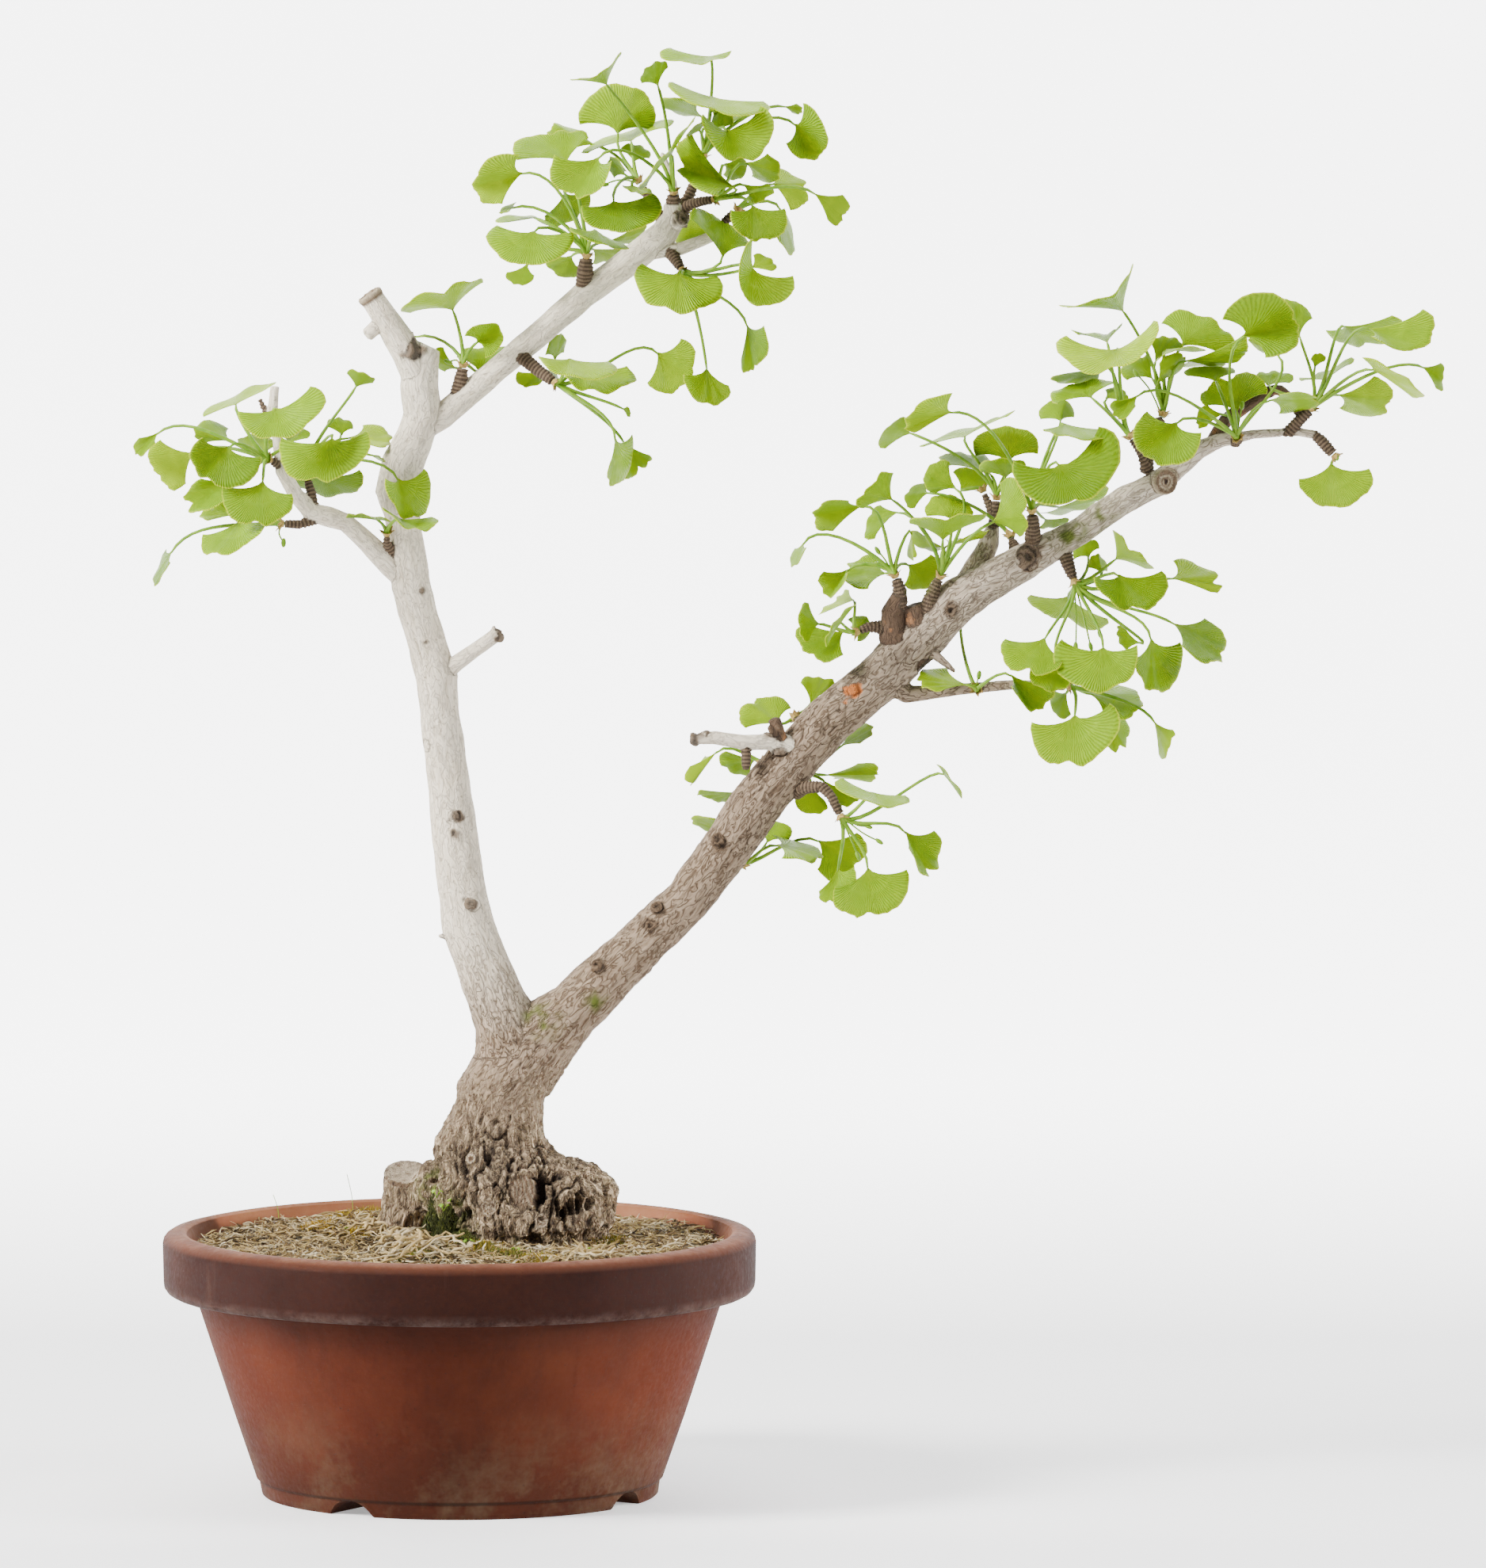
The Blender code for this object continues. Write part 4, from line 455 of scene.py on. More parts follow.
        (1192, 690, 1200, 684, 1230, 684, 1243, 668, 4, 1, 25),
        (1200, 655, 1168, 648, 1190, 630, 1228, 650, 8, 1, 19),
        (1253, 659, 1270, 604, 1293, 645, 1290, 673, -14, -1, 27),
        (1134, 646, 1108, 640, 1100, 655, 1096, 680, 6, 1, 20),
        (1208, 617, 1192, 582, 1171, 600, 1175, 622, -2, 1, 20))),
    "back_top": Rosette(
        ((1250, 680, 21, 4.6), (1257, 650, 24, 3.2), (1258, 632, 24, 2.5)), (
        (1252, 600, 1190, 580, 1222, 575, 1250, 580, -4, 1, 29),
        (1270, 603, 1236, 592, 1262, 580, 1294, 586, -14, -1, 17),
        (1150, 547, 1113, 566, 1126, 541, 1142, 530, 2, 1, 19),
        (1217, 552, 1162, 564, 1235, 538, 1279, 520, 8, 1, 29),
        (1272, 584, 1228, 566, 1270, 543, 1312, 563, 14, 1, 21))),
    "back_twig": Rosette(
        ((1256, 656, 24, 3.2), (1247, 634, 27, 2.4), (1242, 622, 28, 2.0)), (
        (1212, 619, 1207, 595, 1235, 600, 1247, 613, 0, 1, 18),)),
    "back_low": Rosette(
        ((1284, 700, 4, 4.6), (1279, 686, 10, 3.0), (1277, 680, 12, 2.4)), (
        (1172, 622, 1150, 642, 1147, 625, 1168, 612, -2, 1, 15),)),
    "arm_front": Rosette(
        ((1308, 698, -3, 6.5), (1304, 677, -7, 4.8), (1304, 662, -10, 4.2), (1303, 649, -11, 3.4)), (
        (1203, 520, 1193, 496, 1148, 530, 1155, 546, -6, -1, 28),
        (1339, 532, 1312, 526, 1338, 509, 1357, 524, 2, 1, 20),
        (1343, 534, 1318, 540, 1350, 548, 1406, 546, -4, -1, 29),
        (1337, 585, 1278, 596, 1357, 629, 1404, 548, -16, -1, 31),
        (1335, 640, 1322, 655, 1370, 645, 1395, 617, 26, 1, 27),
        (1318, 655, 1315, 668, 1335, 665, 1348, 655, 20, 1, 14))),
    "upper_back": Rosette(
        ((1447, 597, -6, 4.4), (1452, 565, -3, 2.6), (1460, 542, 0, 2.6), (1466, 527, 2, 3.2)), (
        (1418, 393, 1339, 388, 1400, 372, 1430, 332, 2, -1, 34),
        (1455, 478, 1417, 474, 1438, 455, 1453, 450, 6, 1, 19),
        (1458, 455, 1455, 430, 1475, 428, 1492, 437, 10, 1, 17),
        (1460, 485, 1467, 452, 1490, 450, 1488, 470, -2, -1, 19),
        (1472, 441, 1458, 455, 1490, 438, 1519, 445, -8, -1, 22),
        (1492, 437, 1473, 399, 1530, 408, 1556, 443, 8, 1, 26),
        (1495, 455, 1500, 464, 1550, 461, 1575, 430, 2, 1, 29))),
    "upper_twig": Rosette(
        ((1448, 592, -8, 3.4), (1440, 574, -11, 2.0), (1433, 562, -13, 1.8), (1428, 554, -14, 2.2)), (
        (1410, 440, 1337, 436, 1400, 465, 1462, 415, -8, -1, 32),
        (1395, 463, 1331, 473, 1355, 484, 1384, 487, 6, 1, 28),
        (1398, 432, 1354, 418, 1395, 425, 1418, 409, 4, 1, 20),
        (1378, 502, 1328, 505, 1358, 487, 1404, 483, -4, 1, 24),
        (1395, 503, 1399, 492, 1415, 494, 1422, 505, 2, 1, 13))),
    "end_front": Rosette(
        ((1560, 559, 0, 3.2), (1561, 554, -5, 2.8), (1561, 552, -9, 2.4)), (
        (1437, 498, 1404, 510, 1412, 525, 1430, 517, -6, -1, 17),
        (1535, 481, 1495, 472, 1528, 468, 1560, 469, 2, 1, 21),
        (1486, 532, 1437, 525, 1455, 578, 1514, 556, -14, -1, 28),
        (1562, 520, 1517, 505, 1550, 480, 1598, 486, 28, 1, 24),
        (1545, 522, 1520, 513, 1513, 530, 1518, 540, 20, 1, 16),
        (1569, 425, 1547, 388, 1633, 402, 1614, 447, -2, -1, 30),
        (1616, 450, 1588, 442, 1583, 424, 1630, 430, 14, 1, 21),
        (1601, 505, 1625, 491, 1659, 503, 1629, 522, -8, -1, 27))),
    "end_top": Rosette(
        ((1624, 548, 2, 3.6), (1640, 531, 0, 3.4), (1653, 518, -2, 3.2)), (
        (1641, 426, 1600, 384, 1630, 382, 1657, 397, 0, 1, 24),
        (1697, 411, 1682, 426, 1728, 438, 1767, 402, 8, 1, 31),
        (1727, 414, 1738, 428, 1785, 437, 1806, 400, -6, -1, 34),
        (1659, 465, 1655, 450, 1665, 447, 1673, 452, 0, -1, 10),
        (1675, 480, 1640, 479, 1672, 473, 1709, 453, 6, 1, 20),
        (1731, 466, 1724, 450, 1770, 476, 1792, 505, -12, -1, 30),
        (1796, 463, 1823, 461, 1820, 478, 1817, 493, 2, 1, 17),
        (1688, 498, 1745, 477, 1750, 513, 1705, 522, 12, 1, 30),
        (1600, 487, 1585, 475, 1610, 472, 1632, 480, 16, 1, 16))),
    "tip": Rosette(
        ((1660, 549, 2, 2.8), (1668, 556, 0, 3.5), (1683, 573, -2, 3.3)), (
        (1680, 583, 1641, 613, 1685, 635, 1732, 603, -1, -1, 26),)),
    "under_front": Rosette(
        ((1342, 690, -4, 5.2), (1349, 714, -7, 3.7), (1355, 730, -9, 3.0)), (
        (1412, 724, 1383, 735, 1430, 765, 1472, 733, -6, -1, 28),
        (1392, 725, 1375, 713, 1385, 703, 1398, 718, 4, 1, 13),
        (1478, 730, 1493, 711, 1535, 735, 1534, 749, 4, 1, 27),
        (1348, 752, 1298, 757, 1348, 785, 1399, 787, 14, 1, 27),
        (1320, 804, 1264, 815, 1298, 845, 1338, 837, -4, -1, 28),
        (1331, 822, 1300, 850, 1330, 868, 1352, 852, -12, -1, 22),
        (1393, 816, 1332, 820, 1392, 864, 1436, 825, -18, -1, 28),
        (1440, 812, 1414, 790, 1413, 805, 1420, 820, 6, 1, 14),
        (1480, 786, 1533, 790, 1542, 825, 1500, 822, 6, 1, 33),
        (1453, 804, 1432, 838, 1457, 867, 1491, 828, -12, -1, 30),
        (1408, 706, 1406, 668, 1427, 690, 1452, 719, 2, -1, 22),
        (1375, 704, 1355, 702, 1368, 684, 1387, 688, 18, 1, 14))),
    "low_middle": Rosette(
        ((1236, 868, -1, 3.2), (1234, 869, -5, 2.2)), (
        (1275, 850, 1280, 872, 1308, 892, 1328, 872, -8, -1, 25),
        (1222, 864, 1180, 868, 1163, 861, 1184, 846, -6, -1, 28),
        (1212, 778, 1190, 760, 1215, 742, 1236, 756, 36, 1, 19))),
    "low_tip": Rosette(
        ((1335, 865, -5, 2.8), (1346, 866, -6, 2.7)), (
        (1375, 876, 1385, 864, 1437, 886, 1405, 905, 8, 1, 29),
        (1347, 873, 1328, 877, 1333, 900, 1350, 906, 4, 1, 18),
        (1357, 901, 1302, 928, 1350, 961, 1411, 899, -14, -1, 30),
        (1395, 897, 1400, 943, 1415, 943, 1424, 915, 12, 1, 24),
        (1457, 910, 1480, 922, 1472, 938, 1464, 957, 0, -1, 21))),
}



CLUBS = {
    # Unopened leaves at the ends of their own stalks: column and row of each
    "fork_stub": ((566, 457),),
    "left_low": ((358, 685),),
    "crown_left": ((763, 233),),
    "front_low": ((1110, 1062), (1083, 1080), (1096, 1043)),
    "burnt_top": ((1108, 695), (1109, 713)),
    "upper_back": ((1434, 471), (1468, 477), (1483, 468)),
    "end_front": ((1568, 512),),
    "under_front": ((1389, 801), (1358, 816), (1377, 816)),
    "low_middle": ((1236, 852),),
}
SEEDLINGS = ((650, 1585), (745, 1582), (440, 1560), (590, 1578))
MOSS_SEEDLINGS = ((551, 1512), (571, 1523), (560, 1530))
HAIR_STALKS = (((446, 1533), (438, 1482)), ((352, 1539), (345, 1508)))
HAIR_RADIUS = 0.00022
ROOT_STRANDS = (
    ((500, 1592), (518, 1582), (546, 1572), (572, 1576)),
    ((484, 1582), (506, 1573), (530, 1569), (551, 1567)),
    ((526, 1594), (552, 1583), (578, 1586), (600, 1578)),
    ((468, 1588), (490, 1590), (512, 1583), (535, 1587)),
    ((480, 1576), (494, 1571), (516, 1577), (540, 1578)),
    ((420, 1560), (446, 1556), (470, 1560), (492, 1558)),
    ((700, 1600), (726, 1588), (752, 1592), (775, 1582)),
)
MOSS_TUFTS = (
    # column, row, spread and rise in metres, how many leaflets, 0 dark green to 1 golden
    (552, 1569, 0.0072, 0.030, 2600, 0.07), (568, 1572, 0.0080, 0.022, 2000, 0.12),
    (583, 1576, 0.0080, 0.008, 700, 0.25), (604, 1580, 0.0100, 0.004, 620, 0.62),
    (470, 1530, 0.016, 0.004, 900, 0.75), (430, 1532, 0.014, 0.003, 600, 0.85),
    (520, 1588, 0.012, 0.003, 380, 0.55), (405, 1550, 0.012, 0.003, 460, 0.9),
    (640, 1586, 0.011, 0.004, 420, 0.50), (680, 1590, 0.012, 0.003, 280, 0.7),
    (770, 1570, 0.010, 0.003, 240, 0.6), (450, 1562, 0.012, 0.003, 420, 0.8),
)

MOSSY = (
    # column, row, depth in mm, reach in metres: where moss keeps to the wood; the last two paint a dark
    # olive patch on the side and underside of the right limb
    (562, 1540, -26, 0.015), (578, 1575, -38, 0.012), (688, 1290, -16, 0.009), (672, 1276, -14, 0.007),
    (752, 1263, -18, 0.006), (640, 1584, -42, 0.008), (1160, 742, -8, 0.008), (545, 1500, -10, 0.012),
    (1352, 672, -14, 0.012), (1386, 655, -14, 0.011))
BARK_MASKS = ("crack_and_shade", "ringed", "dark", "scar", "tone", "low", "foot", "moss")
FOOT_TOP = ((0.0, 0.0, 0.262), (0, 0, 1))
CROTCH = ((0.0566, 0.0, 0.300), (0.5, 0, -0.1934))
WOOD_PIECES = (
    ("wood_foot", (FOOT_TOP,)),
    ("wood_left", ((FOOT_TOP[0], (0, 0, -1)), CROTCH)),
    ("wood_right", ((FOOT_TOP[0], (0, 0, -1)), (CROTCH[0], (-0.5, 0, 0.1934)))))


class BonsaiSizes(bpy.types.PropertyGroup):
    blade_thickness: bpy.props.FloatProperty(
        name="Blade thickness", description="Thickness of a leaf's blade",
        default=0.00040, min=0.0001, max=0.002, unit="LENGTH")
    blade_ripple: bpy.props.FloatProperty(
        name="Blade ripple", description="Height of a blade's soft folds as a share of its length",
        default=0.034, min=0.0, max=0.1)
    stalk_radius: bpy.props.FloatProperty(
        name="Stalk radius", description="Radius of a leaf's stalk where it meets the blade",
        default=0.00092, min=0.0002, max=0.002, unit="LENGTH")
    bark_step: bpy.props.FloatProperty(
        name="Bark step", description="Spacing of the points of the wood's surface",
        default=0.0011, min=0.001, max=0.004, unit="LENGTH")
    fissure_depth: bpy.props.FloatProperty(
        name="Fissure depth", description="Depth of the cracks of the lower bark",
        default=0.0009, min=0.0, max=0.003, unit="LENGTH")
    shred_count: bpy.props.IntProperty(
        name="Shreds", description="Number of dry fibres that lie on the soil",
        default=7600, min=100, max=12000)
    shred_length: bpy.props.FloatProperty(
        name="Shred length", description="Length of a usual fibre",
        default=0.0095, min=0.002, max=0.03, unit="LENGTH")


def colour_setting(name, description, default):
    """A colour that a user may change."""
    return bpy.props.FloatVectorProperty(
        name=name, description=description, subtype="COLOR", default=default, size=3, min=0, max=1)


class BonsaiColours(bpy.types.PropertyGroup):
    leaf: colour_setting("Leaf", "Colour of a young blade", (0.200, 0.345, 0.0004))
    leaf_deep: colour_setting("Deep leaf", "Colour of the deepest blades", (0.095, 0.190, 0.0004))
    leaf_pale: colour_setting("Pale leaf", "Colour of the palest blades", (0.33, 0.49, 0.0012))
    bark: colour_setting("Bark", "Colour of the smooth upper bark", (0.84, 0.765, 0.635))
    # The colour of the bark's cracks and of the painted shade in the foot's low places and hollows.
    bark_crack_and_shade: colour_setting("Bark crack", "Colour in the bark's cracks", (0.018, 0.011, 0.007))
    band: colour_setting("Collar", "Colour of the pot's collar", (0.0090, 0.0016, 0.0009))
    body: colour_setting("Body", "Colour of the pot's body", (0.0300, 0.0042, 0.0009))
    soil: colour_setting("Soil", "Colour of the soil under the fibres", (0.024, 0.016, 0.009))
    floor: colour_setting("Floor", "Colour of the floor and the backdrop", (0.80, 0.80, 0.81))


def at(column, row, depth):
    """The place of a point of the picture that lies this many mm beyond the pot's axis."""
    across = (column - MIDDLE_COLUMN) / FOCAL_LENGTH_IN_COLUMNS
    up = (MIDDLE_ROW - row) / FOCAL_LENGTH_IN_COLUMNS
    sine = math.sin(LOOK_DOWN)
    cosine = math.cos(LOOK_DOWN)
    ray = Vector((across, cosine + up * sine, up * cosine - sine))
    return EYE + ray * ((depth * MM - EYE.y) / ray.y)


def on_height(column, row, height):
    """The place of a point of the picture that lies at this height."""
    near = at(column, row, -1000)
    far = at(column, row, 1000)
    return near + (far - near) * ((height - near.z) / (far.z - near.z))


def clamp(value):
    """The value, kept between 0 and 1."""
    return min(1.0, max(0.0, value))


def mesh_of(name, bm):
    """A mesh with this shape. The bmesh is freed."""
    mesh = bpy.data.meshes.new(name)
    bm.to_mesh(mesh)
    bm.free()
    return mesh


def join_into(bm, addition):
    """Adds one bmesh to another and frees it."""
    mesh = mesh_of("addition", addition)
    bm.from_mesh(mesh)
    bpy.data.meshes.remove(mesh)


def paint_faces(vertices, index):
    """Gives the faces round these vertices the material of this index."""
    for vertex in vertices:
        for face in vertex.link_faces:
            face.material_index = index


def add_object(name, bm):
    """A new object with this shape. The bmesh is freed."""
    made = bpy.data.objects.new(name, mesh_of(name, bm))
    bpy.context.scene.collection.objects.link(made)
    return made


def finish_piece(made, materials, smooth_angle, nodes):
    """Gives a piece its materials, shading and place in the object."""
    for made_of in materials:
        made.data.materials.append(made_of)
    made.data.shade_smooth()
    if smooth_angle:
        made.data.set_sharp_from_angle(angle=math.radians(smooth_angle))
    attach(made, "root")
    if nodes:
        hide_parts(*nodes)
    return made


def apply_modifiers(made):
    """Makes the shape that an object's modifiers give it the object's own mesh."""
    graph = bpy.context.evaluated_depsgraph_get()
    shaped = bpy.data.meshes.new_from_object(made.evaluated_get(graph))
    if not shaped.polygons:
        raise RuntimeError("The modifiers of %s left no faces" % made.name)
    made.modifiers.clear()
    unshaped = made.data
    made.data = shaped
    bpy.data.meshes.remove(unshaped)
    shaped.name = made.name


# Materials


def feed(tree, made, inputs):
    """Links a socket to each named input of a node, or sets its value."""
    for name, value in inputs.items():
        if isinstance(value, bpy.types.NodeSocket):
            tree.links.new(value, made.inputs[name])
        else:
            made.inputs[name].default_value = value
    return made


def node(tree, kind, inputs=None, **settings):
    """A new node with these inputs and settings."""
    made = tree.nodes.new(kind)
    for name, value in settings.items():
        setattr(made, name, value)
    return feed(tree, made, inputs or {})


def new_group(name, inputs, outputs):
    """A shader node group with these named sockets, and its two ends."""
    tree = bpy.data.node_groups.new(name, "ShaderNodeTree")
    for socket_name, kind, value in inputs:
        socket = tree.interface.new_socket(name=socket_name, in_out="INPUT", socket_type=kind)
        if value is not None:
            socket.default_value = value
    for socket_name, kind in outputs:
        tree.interface.new_socket(name=socket_name, in_out="OUTPUT", socket_type=kind)
    return tree, tree.nodes.new("NodeGroupInput"), tree.nodes.new("NodeGroupOutput")


def patch_group():
    """Soft patches: a mask that is 1 inside a patch and 0 outside it."""
    if "Patches" in bpy.data.node_groups:
        return bpy.data.node_groups["Patches"]
    tree, start, end = new_group(
        "Patches",
        (("Vector", "NodeSocketVector", None), ("Scale", "NodeSocketFloat", 10.0),
         ("Low", "NodeSocketFloat", 0.45), ("High", "NodeSocketFloat", 0.6),
         ("Roughness", "NodeSocketFloat", 0.6)),
        (("Mask", "NodeSocketFloat"),))
    cloud = node(tree, "ShaderNodeTexNoise", {
        "Vector": start.outputs["Vector"], "Scale": start.outputs["Scale"],
        "Roughness": start.outputs["Roughness"], "Detail": 5.0})
    cut = node(tree, "ShaderNodeMapRange", {
        "Value": cloud.outputs[0], "From Min": start.outputs["Low"], "From Max": start.outputs["High"]})
    tree.links.new(cut.outputs[0], end.inputs["Mask"])
    return tree


def grain_group():
    """Grain that runs along Z of its vector: soft streaks, and a net of thin winding cracks."""
    if "Grain" in bpy.data.node_groups:
        return bpy.data.node_groups["Grain"]
    tree, start, end = new_group(
        "Grain",
        (("Vector", "NodeSocketVector", None), ("Scale", "NodeSocketFloat", 200.0),
         ("Stretch", "NodeSocketFloat", 0.2)),
        (("Streaks", "NodeSocketFloat"), ("Cracks", "NodeSocketFloat")))
    join = node(tree, "ShaderNodeCombineXYZ", {
        "X": 1.0, "Y": 1.0, "Z": start.outputs["Stretch"]})
    pull = node(tree, "ShaderNodeVectorMath", {
        0: start.outputs["Vector"], 1: join.outputs[0]}, operation="MULTIPLY")
    streaks = node(tree, "ShaderNodeTexNoise", {
        "Vector": pull.outputs[0], "Scale": start.outputs["Scale"], "Detail": 6.0,
        "Roughness": 0.65, "Distortion": 0.4})
    lines = node(tree, "ShaderNodeTexNoise", {
        "Vector": pull.outputs[0], "Scale": start.outputs["Scale"], "Detail": 1.5,
        "Roughness": 0.5, "Distortion": 0.9})
    middle = node(tree, "ShaderNodeMath", {0: lines.outputs[0], 1: 0.5}, operation="SUBTRACT")
    size = node(tree, "ShaderNodeMath", {0: middle.outputs[0]}, operation="ABSOLUTE")
    edge = node(tree, "ShaderNodeMapRange", {
        "Value": size.outputs[0], "From Min": 0.0, "From Max": 0.065,
        "To Min": 1.0, "To Max": 0.0})
    tree.links.new(streaks.outputs[0], end.inputs["Streaks"])
    tree.links.new(edge.outputs[0], end.inputs["Cracks"])
    return tree


def grain(tree, vector, scale, stretch):
    """Streaks and cracks that run along Z of a vector."""
    made = use_group(tree, grain_group(), {"Vector": vector, "Scale": scale, "Stretch": stretch})
    return made.outputs["Streaks"], made.outputs["Cracks"]


def use_group(tree, group, inputs):
    return node(tree, "ShaderNodeGroup", node_tree=group, inputs=inputs)


def mix(tree, fac, first, second):
    """Colour between two colours or sockets, by a number or a socket."""
    first, second = (value if isinstance(value, bpy.types.NodeSocket) else (*value, 1.0)
                     for value in (first, second))
    return node(tree, "ShaderNodeMix", {0: fac, 6: first, 7: second},
                data_type="RGBA", blend_type="MIX").outputs[2]


def math_of(tree, operation, *values):
    return node(tree, "ShaderNodeMath", dict(enumerate(values)), operation=operation).outputs[0]


def times(tree, first, second):
    return math_of(tree, "MULTIPLY", first, second)


def stained(tree, mask, strength, colour, stain):
    """The colour with a stain of this strength where the mask is."""
    return mix(tree, times(tree, mask, strength), colour, stain)


def sum_of(tree, *sockets_and_weights):
    """Weighted sum of number sockets."""
    total = None
    for socket, weight in sockets_and_weights:
        scaled = times(tree, socket, weight)
        total = scaled if total is None else math_of(tree, "ADD", total, scaled)
    return total


def ranged(tree, socket, low, high, to_low=0.0, to_high=1.0):
    return node(tree, "ShaderNodeMapRange", {
        "Value": socket, "From Min": low, "From Max": high,
        "To Min": to_low, "To Max": to_high}).outputs[0]


def attribute(tree, name, output="Fac"):
    return node(tree, "ShaderNodeAttribute", attribute_name=name).outputs[output]


def object_spots(tree):
    return node(tree, "ShaderNodeTexCoord").outputs["Object"]


def stretched(tree, vector, scale):
    return node(tree, "ShaderNodeVectorMath", {0: vector, 1: scale}, operation="MULTIPLY").outputs[0]


def patches(tree, vector, scale, low, high, roughness=0.6):
    return use_group(tree, patch_group(), {
        "Vector": vector, "Scale": scale, "Low": low, "High": high, "Roughness": roughness}).outputs[0]


def new_material(name, roughness):
    """A material, its node tree and its shader."""
    made = bpy.data.materials.new(name)
    made.use_nodes = True
    tree = made.node_tree
    shader = tree.nodes["Principled BSDF"]
    feed(tree, shader, {"Roughness": roughness, "Metallic": 0.0, "Specular IOR Level": 0.18})
    return made, tree, shader


def coated(made, colour, height, strength, distance):
    """The material with this colour and this fine relief."""
    tree = made.node_tree
    relief = node(tree, "ShaderNodeBump", {"Height": height, "Strength": strength, "Distance": distance})
    feed(tree, tree.nodes["Principled BSDF"], {"Base Color": colour, "Normal": relief.outputs[0]})
    return made


def leaf_material(colours):
    """Young ginkgo blade: radiating veins, a thin pale edge and a tone for each leaf, partly its own and
    partly painted light, as flat blades are painted paler.
    """
    made, tree, shader = new_material("ginkgo_blade", 0.42)
    place = node(tree, "ShaderNodeUVMap", uv_map="fan")
    parts = node(tree, "ShaderNodeSeparateXYZ", {0: place.outputs[0]})
    across, along = parts.outputs[0], parts.outputs[1]
    tone = attribute(tree, "tone")
    wobble = patches(tree, object_spots(tree), 240.0, 0.2, 0.8)
    turned = math_of(tree, "ADD", across, times(tree, wobble, 0.012))
    few = math_of(tree, "SINE", times(tree, turned, INNER_VEINS))
    many = math_of(tree, "SINE", times(tree, turned, OUTER_VEINS))
    outer = ranged(tree, along, 0.45, 0.6)
    near = times(tree, few, math_of(tree, "SUBTRACT", 1.0, outer))
    veins = math_of(tree, "ADD", near, times(tree, many, outer))
    # The tone is partly painted light: blades that lie flat are painted paler, drooping ones deeper.
    colour = mix(tree, ranged(tree, tone, 0.0, 0.45), colours.leaf_deep, colours.leaf)
    colour = mix(tree, ranged(tree, tone, 0.55, 1.0), colour, colours.leaf_pale)
    cloud = patches(tree, object_spots(tree), 70.0, 0.35, 0.75)
    colour = stained(tree, cloud, 0.30, colour, colours.leaf_deep)
    colour = mix(tree, ranged(tree, veins, -0.2, 1.0, 0.0, 0.55), colour, (0.0593, 0.1226, 0.0008))
    rim = ranged(tree, along, 0.96, 0.99)
    colour = stained(tree, rim, 0.6, colour, (0.3956, 0.4589, 0.0158))
    foot = ranged(tree, along, 0.26, 0.02)
    colour = stained(tree, foot, 0.6, colour, (0.2453, 0.3719, 0.0079))
    feed(tree, shader, {
        "Specular IOR Level": 0.08, "Subsurface Weight": 0.50, "Subsurface Radius": (1.0, 1.0, 0.05),
        "Subsurface Scale": 0.002, "Roughness": ranged(tree, cloud, 0.0, 1.0, 0.36, 0.52)})
    return coated(made, colour, veins, 0.8, 0.0004)


def stalk_material():
    """Green of stalks, hearts and seedlings."""
    made, tree, shader = new_material("leaf_stalk", 0.45)
    cloud = patches(tree, object_spots(tree), 160.0, 0.3, 0.7)
    colour = mix(tree, cloud, (0.086, 0.1978, 0.0052), (0.1978, 0.3268, 0.0189))
    feed(tree, shader, {"Subsurface Weight": 0.2, "Subsurface Scale": 0.001})
    return coated(made, colour, cloud, 0.2, 0.0002)


def scale_material():
    """Papery bud scales at the foot of each head of leaves."""
    made, tree, _ = new_material("bud_scale", 0.7)
    cloud = patches(tree, object_spots(tree), 420.0, 0.3, 0.7)
    colour = mix(tree, cloud, (0.1892, 0.0946, 0.0206), (0.4988, 0.3698, 0.1118))
    return coated(made, colour, cloud, 0.5, 0.0004)


